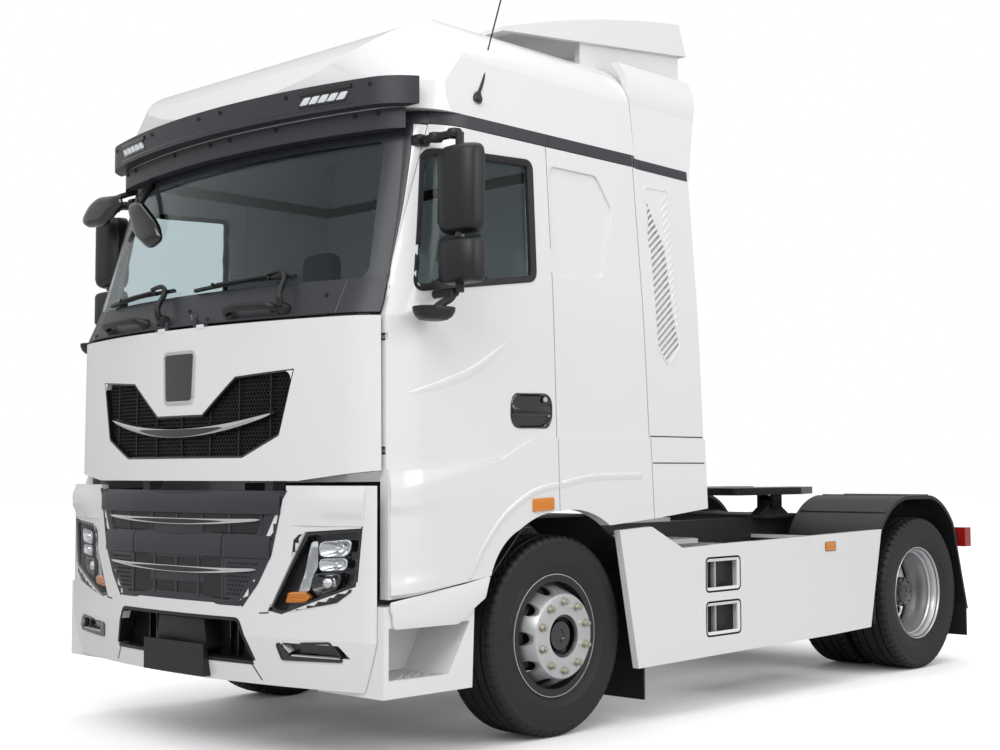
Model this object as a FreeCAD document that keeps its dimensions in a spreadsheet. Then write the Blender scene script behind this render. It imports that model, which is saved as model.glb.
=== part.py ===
"""Semi truck tractor unit: a two-axle cab-over tractor with a high-roof sleeper cab.

Frame: millimetres, +Z up, the front faces -Y, the vehicle's left side is +X.
Every piece is drawn about the front axle line (y = 0 at the front axle, z = 0 on the ground),
and its Placement then moves it by the same station, which puts the origin under the middle.
"""
import FreeCAD, Part
import math
import os

import Sketcher
from FreeCAD import Placement, Rotation, Vector

SIZES = {
    "Overall": {
        "wheelbase": 3530, "front_overhang": 1440, "rear_overhang": 730, "half_width": 1250,
        "overrun": 40, "face_gap": 0.3, "panel_gap": 7,
    },
    "Cab skin": {
        "skin_bow": 4000, "corner_round": 300, "skin_low_z": 690,
        "flap_front_y": -1430, "flap_low_z": 1256, "flap_flat_x": 800, "flap_side_low_z": 1314,
        "flap_top_z": 1982, "cowl_front_y": -1418, "cowl_low_z": 1998, "cowl_shelf": 20,
        "glass_low_y": -1334, "glass_low_z": 2158, "belt_width": 2,
        "eaves_y": -1093, "eaves_z": 2948, "eaves_width": 29,
        "cab_rear_y": 538, "wall": 55, "room_gap": 12, "front_skin": 38, "glass_thick": 9,
    },
    "Doors": {
        "door_front_y": -1170, "hinge_gap": 17, "door_rear_low_y": -87, "door_rear_top_y": -140,
        "door_low_z": 741, "door_trim_rear_y": -575, "door_trim_rear_z": 818,
        "arch_knee_y": -376, "arch_knee_z": 1024, "arch_front_curve": 330, "arch_top_curve": 560,
        "door_arch_z": 1103, "pillar_foot_y": -1149, "pillar_foot_z": 2045, "pillar_mid_y": -1038,
        "pillar_mid_z": 2465, "pillar_top_y": -942, "door_top_z": 2884,
        "window_low_front_y": -1030, "window_low_front_z": 2104, "window_low_rear_y": -249,
        "window_low_rear_z": 2216, "window_top_rear_z": 2792, "window_top_front_y": -918,
        "window_top_front_z": 2756, "window_round": 45, "pillar_wrap": 137,
        "windscreen_top_z": 2812, "window_lip": 22,
        "handle_cup_front_y": -424, "handle_cup_rear_y": -143, "handle_low_z": 1500,
        "handle_top_z": 1666, "handle_depth": 26, "handle_bar_low_z": 1560,
        "handle_bar_top_z": 1606, "handle_bar_thick": 14,
    },
    "Lower panels": {
        "sill_proud": 10, "sill_front_z": 1306, "sill_knee_y": -486, "sill_knee_z": 1357,
        "sill_rise_y": -272, "sill_rise_z": 1455, "sill_rear_z": 1470,
    },
    "Door hinges": {
        "hinge_x": 65, "hinge_y": -1158, "hinge_low_z": 1380, "hinge_high_z": 1880,
        "hinge_pin": 6, "hinge_eye": 9, "hinge_notch": 14, "hinge_arm_tall": 16,
        "hinge_arm_half": 7, "hinge_pin_long": 34, "hinge_elbow": 65, "post_in_x": 195,
        "post_front_y": -1245, "post_rear_y": -1185, "post_gap": 12,
    },
    "Mirrors": {
        "mirror_in_x": -40, "mirror_out_x": -275, "mirror_front_y": -985, "mirror_rear_y": -865,
        "mirror_low_z": 2350, "mirror_top_z": 2745, "mirror_wide_low_z": 2125,
        "mirror_wide_top_z": 2325, "mirror_round": 38, "mirror_stem": 20,
        "mirror_arm_high_z": 2800, "mirror_arm_low_z": 2080, "mirror_arm_y": -925,
        "kerb_mirror_x": -100, "kerb_mirror_y": -1035, "kerb_mirror_z": 1955,
        "kerb_mirror_long": 115, "kerb_mirror_tall": 62, "kerb_mirror_wide": 75,
    },
    "Cab sides": {
        "arch_rear_y": 290, "arch_rear_z": 1024, "cab_side_top_z": 2884, "side_rear_low_y": 652,
        "side_rear_top_y": 538, "panel_recess": 12,
        "recess_front_y": -125, "recess_low_rear_y": 273, "recess_low_rear_z": 2277,
        "recess_low_front_z": 2237, "recess_rear_y": 356, "recess_rear_z": 2640,
        "recess_top_y": 239, "recess_top_z": 2794,
    },
    "Floor and rear wall": {
        "floor_low_z": 1300, "floor_thick": 60, "floor_front_y": -1290,
        "front_wall_thick": 40, "tilt_y": -1322, "tilt_z": 1135,
        "tilt_arm_in": 470, "tilt_arm_wide": 60, "tilt_arm_back_y": -1165, "tilt_arm_deep": 74,
        "tilt_arm_heel_y": -1266, "tilt_arm_heel_z": 1201,
        "tilt_eye": 32, "tilt_pin": 20, "pin_clearance": 0.5, "rear_wall_thick": 50,
    },
    "Roof": {
        "roof_low_z": 2948, "roof_front_y": -1190, "roof_visor_z": 3085, "roof_brow_y": -1075,
        "roof_brow_z": 3240, "roof_crest_y": -640, "roof_crest_z": 3455, "roof_rear_y": 560,
        "roof_rear_z": 3500, "roof_brow_bulge": 900, "roof_side_z": 3230, "roof_side_x": 62,
        "roof_edge_x": 250, "roof_edge_z": 3445, "roof_side_round": 330, "roof_crown": 9000,
        "roof_wall": 30, "roof_round_low": 380, "roof_round_top": 1150, "gutter_gap": 4,
    },
    "Sun visor": {
        "visor_front_y": -1262, "visor_low_z": 2953, "visor_top_z": 3080, "visor_depth": 90,
        "band_front_y": -1196, "band_low_z": 2852, "band_top_z": 2946, "visor_rear_y": -985,
        "visor_web_y": -1160, "visor_half": 0, "band_half": 12, "web_half": 70,
        "band_rear_y": -1000, "visor_round": 300,
    },
    "Deflector and fairings": {
        "wing_front_y": -207, "wing_rear_y": 1331, "wing_half": 250, "wing_front_z": 3500,
        "wing_rear_z": 3673, "wing_top_y": 1262, "wing_top_z": 3846, "wing_crown": 9000,
        "wing_nose": 18, "wing_wall": 36, "wing_leg_rear_y": 1290, "wing_leg_thick": 36,
        "wing_leg_in": 30, "wing_leg_front_y": 420, "wing_leg_low_z": 3400,
        "fairing_rear_low_y": 1130, "fairing_rear_top_y": 1030, "fairing_low_z": 1092,
        "fairing_front_low_z": 1049, "fairing_shoulder_z": 2884, "fairing_top_z": 3473,
        "fairing_top_rear_y": 1190, "fairing_thick": 42, "fairing_top_x": 145,
        "fairing_gap": 8, "louvre_front_top_y": 628, "louvre_top_z": 2755,
        "louvre_rear_y": 794, "louvre_rear_z": 2480, "louvre_mid_y": 846, "louvre_mid_z": 2141,
        "louvre_low_rear_y": 901, "louvre_low_z": 1955,
        "louvre_tip_y": 795, "louvre_tip_z": 1862, "louvre_front_low_y": 716, "louvre_pitch": 38,
        "louvre_slant": 140,
        "fairing_tie": 60, "fairing_tie_low_z": 1300, "fairing_tie_high_z": 2500,
    },
    "Front flap and grille": {
        "grille_top_x": 772, "grille_top_z": 1757, "grille_notch_x": 412, "grille_notch_z": 1735,
        "grille_chin_x": 182, "grille_chin_z": 1565, "grille_foot_x": 467, "grille_foot_z": 1363,
        "grille_cheek_x": 689, "grille_cheek_z": 1460, "grille_deep": 45, "grille_lip": 20,
        "grille_rib": 14, "smile_x": 650, "smile_tip_z": 1560, "smile_low_bow": 2390,
        "smile_top_bow": 3000, "smile_tip": 12,
        "flap_hinge_y": -1412, "flap_hinge_z": 1990, "flap_hinge_pin": 3, "flap_hinge_eye": 6,
        "flap_hinge_x": 160, "flap_hinge_half": 30, "flap_hinge_leaf": 15, "flap_knuckle": 24,
        "flap_knuckle_gap": 2,
    },
    "Bumper": {
        "bumper_front_y": -1440, "bumper_top_z": 1235, "bumper_low_z": 342, "bumper_mid_z": 560,
        "bumper_low_in": 38, "bumper_rear_y": -1236, "bumper_wall": 42, "bumper_round": 130,
        "mouth_top_x": 754, "mouth_wide_x": 724, "mouth_wide_z": 1165, "mouth_foot_x": 467,
        "mouth_foot_z": 697, "mouth_inset": 26, "mouth_bar_tall": 60, "mouth_bar_pitch": 112,
        "mouth_bar_deep": 34, "mouth_frame": 34,
        "intake_top_x": 459, "intake_top_z": 623, "intake_foot_x": 549, "intake_foot_z": 443,
        "plate_half": 243, "plate_low_z": 353, "plate_top_z": 502, "bumper_arm_low_z": 640,
        "bumper_arm_rear_y": -1090,
    },
    "Front lamps": {
        "lamp_top_in_x": 858, "lamp_top_in_z": 1032, "lamp_top_out_x": 1152,
        "lamp_top_out_z": 1052, "lamp_low_out_x": 1124, "lamp_low_out_z": 800,
        "lamp_toe_x": 655, "lamp_toe_z": 676, "lamp_heel_x": 730, "lamp_heel_z": 664,
        "lamp_depth_y": -1180, "lamp_inset": 10, "fog_in_x": 729, "fog_top_z": 541,
        "fog_out_x": 1034, "fog_low_out_x": 1088, "fog_low_out_z": 486,
        "fog_low_in_x": 771, "fog_low_in_z": 488, "fog_rear_y": -1270,
    },
    "Entry steps": {
        "step_front_y": -1232, "step_rear_low_y": -691, "step_rear_top_y": -676,
        "step_low_z": 322, "step_panel_top_z": 716, "step_panel_low_z": 622,
        "step_panel_rear_z": 674, "step_in_x": 430, "step_tread_z": 396, "step_wall": 30,
        "step_tread_rear_y": -842, "step_arm_tall": 70,
        "step_well_x": 290, "step_arm_front_y": -1060,
    },
    "Side skirts": {
        "skirt_front_top_y": 380, "skirt_front_top_z": 994, "skirt_break_y": 648,
        "skirt_break_z": 1006, "skirt_dip_y": 909, "skirt_dip_z": 887, "skirt_rear_top_y": -513,
        "skirt_rear_top_z": 923, "skirt_rear_low_y": -663, "skirt_rear_low_z": 321,
        "skirt_kink_y": -1137, "skirt_kink_z": 309, "skirt_front_low_y": 525,
        "skirt_front_low_z": 288, "skirt_thick": 38, "skirt_flange": 120,
        "skirt_hole_front_y": 1125, "skirt_hole_rear_y": 1438, "skirt_hole_high_z": 645,
        "skirt_hole_low_z": 406, "skirt_hole_tall": 172, "skirt_hole_round": 22,
        "skirt_well_deep": 190, "skirt_well_wall": 12, "skirt_arm": 60, "skirt_arm_front_y": -1970,
        "skirt_arm_rear_y": -810,
    },
    "Chassis": {
        "rail_outer_x": 425, "rail_wide": 80, "rail_wall": 10, "rail_low_z": 715,
        "rail_tall": 270, "rail_front_y": -1150, "rail_rear_y": 600,
        "cross_tall": 150, "cross_thick": 60, "cross_front_y": -1050, "cross_mid_y": 1060,
        "cross_rear_y": -1180, "cross_tail_y": 510, "tilt_bracket_rear_y": -1050,
        "tilt_bracket_low_z": 850, "tilt_bracket_top_z": 1010, "tail_beam_half": 65,
        "tail_beam_low_z": 790,
        "tail_beam_tall": 80, "tail_beam_deep": 46,
        "walkway_front_y": 720, "walkway_rear_y": 1110, "walkway_z": 905, "walkway_thick": 24,
        "deck_rear_y": -1630,
    },
    "Power unit": {
        "engine_half": 300, "engine_front_y": -800, "engine_rear_y": 260, "engine_low_z": 560,
        "engine_top_z": 1240, "gearbox_rear_y": 960, "gearbox_top_z": 985,
        "mount_tall": 70, "mount_wide": 110, "mount_front_y": -560,
        "mount_rear_y": 560,
    },
    "Tanks": {
        "tank_in_x": 610, "tank_out_x": 100, "tank_front_y": -1890, "tank_rear_y": -790,
        "tank_low_z": 330, "tank_top_z": 850, "tank_round": 90, "tank_strap": 60,
        "tank_strap_inset": 210,
    },
    "Wheels": {
        "tyre_radius": 492, "tyre_wide": 300, "tread_wide": 262, "tread_round": 26,
        "bead_radius": 283, "bead_wide": 236, "sidewall_radius": 400,
        "rim_flange": 298.5, "rim_well": 262, "flange_thick": 10,
        "front_wheel_x": 235, "rear_outer_x": 155, "twin_pitch": 345,
        "disc_thick": 14, "hub_radius": 98, "sidewall_curve": 260,
        "front_hub_in_x": 260, "front_cap_x": 150, "rear_hub_in_x": 650, "rear_cap_x": 155,
        "cap_radius": 72,
        "front_disc_x": 138, "front_disc_edge_x": 180, "disc_knee": 205, "front_hub_out_x": 90,
        "rear_hub_out_x": 120, "hand_hole": 34, "hand_hole_ring": 232,
    },
    "Front axle": {
        "king_pin_x": 350, "king_pin": 25, "king_pin_tall": 200, "beam_eye": 48,
        "beam_eye_tall": 110, "beam_deep": 92, "beam_drop_x": 630, "beam_low_z": 375,
        "beam_top_z": 455, "beam_neck_x": 418, "lug_tall": 36, "lug_gap": 3,
        "knuckle_plate_x": 292, "knuckle_plate_thick": 20, "knuckle_half": 62,
        "shield_radius": 185, "spindle": 40, "spindle_end_x": 160, "spring_x": 425,
        "spring_wide": 80, "spring_half_long": 800, "spring_thick": 56,
        "spring_eye_z": 640, "spring_arc": 2380, "spring_arc_top": 2500, "spring_pad": 60,
    },
    "Rear axle": {
        "axle_tube": 66, "axle_tube_half": 665, "spindle_rear": 46, "spindle_rear_end_x": 165,
        "diff_radius": 195, "pinion_radius": 85, "pinion_long": 330, "shaft_radius": 58,
        "shaft_front_z": 690, "bag_x": 470, "bag_radius": 98, "bag_reach": 430,
        "arm_front_y": -790, "arm_tall": 50, "arm_wide": 90, "arm_hanger_long": 110,
    },
    "Fifth wheel": {
        "coupling_y": -450, "coupling_pivot_z": 1078, "coupling_half": 470,
        "coupling_front_y": -970, "coupling_rear_y": 170, "coupling_thick": 48,
        "coupling_rise": 56, "coupling_throat": 58, "coupling_throat_curve": 59, "coupling_mouth": 330,
        "coupling_ramp_half": 250,
        "coupling_foot_half": 520, "coupling_foot_front_y": -730, "coupling_foot_rear_y": -170,
        "coupling_foot_thick": 20, "pedestal_in_x": 340, "pedestal_wide": 72,
        "pedestal_half_low": 210, "pedestal_half_top": 52, "coupling_pin": 18,
        "coupling_round": 60, "coupling_lug_wide": 22,
    },
    "Rear end": {
        "fender_in_x": 575, "fender_thick": 22, "fender_front_low_y": -552,
        "fender_front_low_z": 332, "fender_front_high_z": 880, "fender_front_high_y": -535,
        "fender_top_front_y": -160, "fender_top_z": 1128, "fender_top_rear_y": 160,
        "fender_rear_y": 480, "fender_rear_z": 931, "fender_tail_y": 666,
        "fender_tail_z": 345, "fender_bow": 470, "fender_arm_long": 90,
        "flap_low_z_rear": 165, "flap_top_z_rear": 420, "flap_thick": 12, "flap_in_x": 640,
        "lamp_wide": 290, "lamp_tall": 130, "lamp_low_z": 770,     },
    "Wheel arches": {
        "liner_front_y": -600, "liner_rear_y": 640, "liner_top_z": 1082, "liner_thick": 12,
        "liner_in_x": 550, "liner_out_x": 60, "liner_shoulder": 230, "liner_front_low_z": 720,
        "liner_rear_low_z": 330, "liner_rear_high_z": 800, "guard_low_z": 112, "guard_in_x": 370,
        "liner_arm_tall": 40,
    },
    "Cab inside": {
        "dash_half": 200, "dash_front_y": -1250, "dash_rear_y": -830, "dash_low_z": 1700,
        "dash_top_z": 2105, "dash_nose_z": 1990, "seat_x": 560, "seat_wide": 480,
        "seat_front_y": -520, "seat_rear_y": -60, "seat_low_z": 1700, "seat_thick": 140,
        "seat_back_thick": 130, "seat_back_top_z": 2560, "seat_lean": 70, "seat_base_half": 170,
        "seat_round": 40, "bunk_front_y": 70, "bunk_half": 130, "bunk_low_z": 1640,
        "bunk_thick": 160, "wheel_x": 560, "wheel_y": -735, "wheel_z": 2075,
        "steering_radius": 225, "steering_grip": 16, "steering_lean": 38, "steering_boss": 60,
        "steering_boss_deep": 60, "column_radius": 32, "column_long": 330, "spoke": 16,
    },
    "Antenna and wipers": {
        "antenna_x": 100, "antenna_y": -560, "antenna_z": 3080, "antenna_rod": 4,
        "antenna_tip_z": 3760, "antenna_foot": 16, "antenna_foot_long": 60, "antenna_lean": 240,
        "wiper_pivot_x": 569, "wiper_pivot_z": 2075, "wiper_rod": 9, "wiper_stand": 34,
        "wiper_boss": 22, "wiper_reach": 640, "wiper_rear_y": -1200, "wiper_rise": 130,
        "wiper_lift": 8,
    },
    "Angles and shares": {
        "quarter_turn": 90, "head_wrap_share": 0.6,
        "hand_hole_count": 10, "mouth_slot_count": 4, "louvre_count": 30, "full_turn": 360,
    },
}


class Size:
    """A length that knows its value now and the sheet expression it comes from."""

    def __init__(self, value, text):
        self.value = float(value)
        self.text = text

    @staticmethod
    def of(other):
        return other if isinstance(other, Size) else Size(other, repr(other))

    def join(self, sign, other, value):
        return Size(value, f"({self.text} {sign} {Size.of(other).text})")

    def __add__(self, other):
        return self.join("+", other, self.value + Size.of(other).value)

    def __radd__(self, other):
        return Size.of(other) + self

    def __sub__(self, other):
        return self.join("-", other, self.value - Size.of(other).value)

    def __rsub__(self, other):
        return Size.of(other) - self

    def __mul__(self, other):
        return self.join("*", other, self.value * Size.of(other).value)

    def __rmul__(self, other):
        return Size.of(other) * self

    def __truediv__(self, other):
        return self.join("/", other, self.value / Size.of(other).value)

    def __neg__(self):
        return Size(-self.value, f"(-1 * {self.text})")

    def root(self):
        return Size(math.sqrt(self.value), f"sqrt({self.text})")


class Sheet:
    """Named sizes read as attributes; each one is a cell with an alias."""

    def __init__(self, document, groups):
        self.sheet = document.addObject("Spreadsheet::Sheet", "Sizes")
        self.cells = {}
        row = 0
        for heading, values in groups.items():
            row += 1
            self.sheet.set(f"A{row}", heading)
            for name, value in values.items():
                row += 1
                self.sheet.set(f"A{row}", name)
                self.sheet.set(f"B{row}", str(value))
                self.sheet.setAlias(f"B{row}", name)
                self.cells[name] = Size(value, f"Sizes.{name}")

    def __getattr__(self, name):
        return self.cells[name]


doc = FreeCAD.newDocument("TractorUnit")
S = Sheet(doc, SIZES)
doc.recompute()
station = (S.front_overhang - S.wheelbase - S.rear_overhang) / 2
published = []


def bind(thing, path, size):
    """Tie one property of an object to the sheet."""
    thing.setExpression(path, Size.of(size).text)


def bind_place(thing, x=0, y=0, z=0):
    """Tie an object's base point to the sheet."""
    for axis, size in zip("xyz", (x, y, z)):
        bind(thing, f"Placement.Base.{axis}", size)


def publish(thing, label):
    """Name a finished sub-part and move it from the axle line to the model's frame."""
    thing.Label = label
    bind(thing, "Placement.Base.y", station)
    published.append(thing)
    return thing


def publish_pair(thing, left_label, right_label):
    """Publish a left piece and its mirror image, which takes the left one's place with it."""
    publish(thing, left_label)
    twin = mirror(right_label + "_twin", thing)
    twin.Label = right_label
    published.append(twin)


def box(name, x, y, z):
    """A block between two values on each axis."""
    block = doc.addObject("Part::Box", name)
    for path, span in (("Length", x), ("Width", y), ("Height", z)):
        bind(block, path, span[1] - span[0])
    bind_place(block, x[0], y[0], z[0])
    return block


AXES = {"x": Vector(1, 0, 0), "y": Vector(0, 1, 0), "z": Vector(0, 0, 1)}


def rod(name, axis, radius, span, across):
    """A cylinder along an axis between two values, at a place on the other two axes."""
    pin = doc.addObject("Part::Cylinder", name)
    pin.Placement = Placement(Vector(), Rotation(AXES["z"], AXES[axis]))
    bind(pin, "Radius", radius)
    bind(pin, "Height", span[1] - span[0])
    place = dict(zip([a for a in "xyz" if a != axis], across))
    place[axis] = span[0]
    bind_place(pin, **place)
    return pin


PLANES = {"xy": ("XY_Plane", 1), "xz": ("XZ_Plane", -1), "yz": ("YZ_Plane", 1)}


def outline(sketch, points):
    """Draw a closed outline; a third value in a point is the radius of the arc that ends there.

    The radius is positive where the arc bulges to the right of the way drawn.
    """
    count = len(points)
    ends = []
    for index in range(count):
        here, there = points[index], points[(index + 1) % count]
        start = Vector(Size.of(here[0]).value, Size.of(here[1]).value, 0)
        finish = Vector(Size.of(there[0]).value, Size.of(there[1]).value, 0)
        if len(there) < 3:
            sketch.addGeometry(Part.LineSegment(start, finish), False)
            ends.append((1, 2))
            continue
        radius = Size.of(there[2]).value
        chord = finish - start
        inward = Vector(-chord.y, chord.x, 0)
        inward.normalize()
        depth = math.sqrt(max(radius * radius - chord.Length * chord.Length / 4, 0))
        centre = (start + finish) * 0.5 + inward * math.copysign(depth, radius)
        angles = [math.atan2(p.y - centre.y, p.x - centre.x) for p in (start, finish)]
        circle = Part.Circle(centre, AXES["z"], abs(radius))
        if radius > 0:
            sketch.addGeometry(Part.ArcOfCircle(circle, angles[0], angles[1]), False)
            ends.append((1, 2))
        else:
            sketch.addGeometry(Part.ArcOfCircle(circle, angles[1], angles[0]), False)
            ends.append((2, 1))
    for index in range(count):
        after = (index + 1) % count
        sketch.addConstraint(
            Sketcher.Constraint("Coincident", index, ends[index][1], after, ends[after][0]))
    for index, point in enumerate(points):
        for kind, size in (("DistanceX", point[0]), ("DistanceY", point[1])):
            size = Size.of(size)
            rule = Sketcher.Constraint(kind, -1, 1, index, ends[index][0], size.value)
            number = sketch.addConstraint(rule)
            sketch.setExpression(f"Constraints[{number}]", size.text)
        arc = points[(index + 1) % count]
        if len(arc) > 2:
            radius = Size.of(arc[2])
            radius = radius if radius.value > 0 else -radius
            number = sketch.addConstraint(Sketcher.Constraint("Radius", index, radius.value))
            sketch.setExpression(f"Constraints[{number}]", radius.text)


def plane_of(body, role):
    """The origin plane of a body that has this role."""
    return [item for item in body.Origin.OriginFeatures if item.Role == role][0]


def prism(name, plane, span, points, fillet=None, corners=None):
    """A padded outline on one of the body's origin planes, with rounded corners if asked."""
    role, sign = PLANES[plane]
    body = doc.addObject("PartDesign::Body", name)
    sketch = body.newObject("Sketcher::SketchObject", name + "_outline")
    sketch.AttachmentSupport = [(plane_of(body, role), "")]
    sketch.MapMode = "FlatFace"
    bind(sketch, "AttachmentOffset.Base.z", span[0] if sign > 0 else -Size.of(span[1]))
    outline(sketch, points)
    pad = body.newObject("PartDesign::Pad", name + "_pad")
    pad.Profile = sketch
    bind(pad, "Length", span[1] - span[0])
    sketch.Visibility = False
    if fillet is not None:
        doc.recompute()
        wanted = [points[i] for i in (corners if corners is not None else range(len(points)))]
        edges = [edge_at(pad.Shape, plane, point) for point in wanted]
        rounding = body.newObject("PartDesign::Fillet", name + "_rounding")
        rounding.Base = (pad, edges)
        bind(rounding, "Radius", fillet)
    return body


def edge_at(shape, plane, point):
    """The name of the straight edge that stands on an outline's corner."""
    want = [Size.of(value).value for value in point[:2]]
    flat = ["xyz".index(axis) for axis in plane]
    nearest, best = None, None
    for number, edge in enumerate(shape.Edges, 1):
        first, last = edge.Vertexes[0].Point, edge.Vertexes[-1].Point
        spread = sum(abs(first[axis] - last[axis]) for axis in flat)
        distance = spread + sum(abs(first[axis] - want[i]) for i, axis in enumerate(flat))
        if best is None or distance < best:
            nearest, best = number, distance
    return f"Edge{nearest}"


def group(kind, name, things, **values):
    """A boolean or compound of several objects."""
    result = doc.addObject(kind, name)
    if kind == "Part::Cut":
        result.Base, result.Tool = things
    elif kind == "Part::Compound":
        result.Links = things
    else:
        result.Shapes = things
    for key, value in values.items():
        setattr(result, key, value)
    return result


def fuse(name, *things):
    return group("Part::MultiFuse", name, list(things))


def common(name, *things):
    return group("Part::MultiCommon", name, list(things))


def cut(name, base, *tools):
    tool = tools[0] if len(tools) == 1 else fuse(name + "_tools", *tools)
    return group("Part::Cut", name, [base, tool])


def mirror(name, thing, axis="x"):
    """The same piece on the other side of the middle plane."""
    twin = doc.addObject("Part::Mirroring", name)
    twin.Source = thing
    twin.Normal = AXES[axis]
    return twin


def both_sides(name, thing):
    """One node that holds a piece and its mirror image."""
    return group("Part::Compound", name, [thing, mirror(name + "_right", thing)])


def sheet_of(points):
    """Both halves of an outline that is symmetric about the middle, given the left half."""
    return points + [(-x, *rest) for x, *rest in reversed(points)]


def bowed_points(width, front, bow, corner, rear):
    """The plan of a bowed front with rounded corners, as an outline's points."""
    centre_x = width - corner
    reach = ((bow - corner) * (bow - corner) - centre_x * centre_x).root()
    side_y = front + bow - reach
    touch_x = bow * centre_x / (bow - corner)
    touch_y = front + bow - bow * reach / (bow - corner)
    return [(-width, rear), (-width, side_y), (-touch_x, touch_y, corner), (touch_x, touch_y, bow),
            (width, side_y, corner), (width, rear)]


def bowed_section(name, z, width, front, bow, corner, rear):
    """A free sketch of a bowed plan at a height, for a loft."""
    sketch = doc.addObject("Sketcher::SketchObject", name)
    bind(sketch, "Placement.Base.z", z)
    outline(sketch, bowed_points(width, front, bow, corner, rear))
    return sketch


def bowed_solid(name, levels, corner, inset, rear):
    """A ruled loft through bowed plans; inset shrinks every plan by a wall's thickness."""
    sections = []
    for number, (z, width, front) in enumerate(levels):
        sections.append(bowed_section(f"{name}_section{number}", z, width - inset, front + inset,
                                      S.skin_bow - inset, corner - inset, rear))
    solid = doc.addObject("Part::Loft", name)
    solid.Sections = sections
    solid.Solid = True
    solid.Ruled = True
    return solid


def cab_levels():
    """Height, half width and front of the cab's skin, from the foot to the eaves."""
    return [(S.skin_low_z, S.half_width, S.flap_front_y), (S.flap_top_z, S.half_width, S.cowl_front_y),
            (S.glass_low_z, inboard(S.belt_width), S.glass_low_y),
            (S.eaves_z, inboard(S.eaves_width), S.eaves_y)]


def cab_form(name, inset=0):
    return bowed_solid(name, cab_levels(), S.corner_round, inset, S.side_rear_low_y + S.overrun)


far = S.half_width + S.overrun


def aft(size):
    """A place measured back from the rear axle."""
    return S.wheelbase + size


def inboard(size):
    """A place measured inwards from the vehicle's side."""
    return S.half_width - size




def sill_region(name):
    """Everything below the step that runs along the door, the rear panel and the fairing."""
    return prism(name, "yz", side_span(), [
        (S.door_front_y - S.overrun, 0), (S.fairing_rear_low_y + S.overrun, 0),
        (S.fairing_rear_low_y + S.overrun, S.sill_rear_z), (S.sill_rise_y, S.sill_rise_z),
        (S.sill_knee_y, S.sill_knee_z), (S.door_front_y - S.overrun, S.sill_front_z)])


def sill(name, region):
    """The part of a side panel's region that stands proud below the step."""
    return common(name, sill_band, region, sill_part)


skin = cab_form("cab_skin")
room = cab_form("cab_room", S.wall + S.room_gap)
skin_inside = cab_form("cab_skin_inside", S.wall)
shell = cut("cab_shell", skin, skin_inside)


def wheel_body(name, profile, axis_z):
    """A body turned about the wheel's axle from an outline of (x, radius) points."""
    body = doc.addObject("PartDesign::Body", name)
    sketch = body.newObject("Sketcher::SketchObject", name + "_profile")
    sketch.AttachmentSupport = [(plane_of(body, "XZ_Plane"), "")]
    sketch.MapMode = "FlatFace"
    outline(sketch, profile)
    turn = body.newObject("PartDesign::Revolution", name + "_turn")
    turn.Profile = sketch
    turn.ReferenceAxis = (sketch, ["H_Axis"])
    turn.Angle = S.full_turn.value
    sketch.Visibility = False
    bind(body, "Placement.Base.z", axis_z)
    return body


def side_span():
    """From inside the thickest leaning wall to outside the cab, along X."""
    return (inboard(S.eaves_width) - S.wall - S.panel_gap, far)


def skin_long(name, inset):
    """The cab's skin carried on to the rear of the side fairings."""
    return bowed_solid(name, cab_levels(), S.corner_round, inset,
                       S.fairing_rear_low_y + S.overrun)


skin_far = skin_long("skin_far", 0)
sill_band = cut("sill_band", skin_long("sill_outer", -S.sill_proud), skin_far)
sill_part = sill_region("sill_region")


def doors():
    """The left door with its window cut and a recessed handle, then the right one."""
    edge = S.panel_gap
    side = prism("door_region", "yz", side_span(), [
        (S.door_front_y, S.door_low_z), (S.door_trim_rear_y, S.door_trim_rear_z),
        (S.arch_knee_y, S.arch_knee_z, -S.arch_front_curve),
        (S.door_rear_low_y - edge, S.door_arch_z, -S.arch_top_curve),
        (S.door_rear_top_y - edge, S.door_top_z), (S.pillar_top_y, S.door_top_z),
        (S.pillar_mid_y, S.pillar_mid_z), (S.pillar_foot_y, S.pillar_foot_z),
        (S.door_front_y, S.pillar_foot_z - S.wall)])
    window = prism("window_region", "yz", side_span(), window_points(0), S.window_round)
    cup = prism("handle_cup", "yz", (S.half_width - S.handle_depth, far), [
        (S.handle_cup_front_y, S.handle_low_z), (S.handle_cup_rear_y, S.handle_low_z),
        (S.handle_cup_rear_y, S.handle_top_z), (S.handle_cup_front_y, S.handle_top_z)],
        S.window_round)
    bar = box("handle_bar",
              (S.half_width - S.handle_bar_thick - S.face_gap, S.half_width - S.face_gap),
              (S.handle_cup_front_y - edge, S.handle_cup_rear_y + edge),
              (S.handle_bar_low_z, S.handle_bar_top_z))
    blank = fuse("door_blank", common("door_sheet", shell, side), sill("door_sill", side))
    axis = (inboard(S.hinge_x), S.hinge_y)
    seats = []
    for name, z in hinge_heights():
        span = (z - S.hinge_eye, z + S.hinge_arm_tall + S.hinge_eye)
        seats.append(box(f"hinge_notch_{name}", (inboard(S.post_in_x), inboard(S.hinge_x)),
                         centred(S.hinge_y, S.hinge_notch), span))
        seats.append(rod(f"hinge_round_{name}", "z", S.hinge_notch, span, axis))
        seats.append(rod(f"hinge_bore_{name}", "z", S.hinge_pin + S.pin_clearance,
                         (z, z + S.hinge_arm_tall + S.hinge_pin_long), axis))
    left = fuse("door_left_solid", cut("door_panel", blank, window, cup, *seats), bar)
    publish_pair(left, "door_left", "door_right")
    band = cut("door_glass_band", cab_form("glass_outer", S.window_lip),
               cab_form("glass_inner", S.window_lip + S.glass_thick))
    lens = prism("glass_region", "yz", side_span(), window_points(S.face_gap),
                 S.window_round - S.face_gap)
    publish_pair(common("door_glass_left_solid", band, lens), "door_glass_left",
                 "door_glass_right")


def hinge_heights():
    """The two door hinges, each by its name and the foot of its arm."""
    return (("low", S.hinge_low_z), ("high", S.hinge_high_z))


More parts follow.
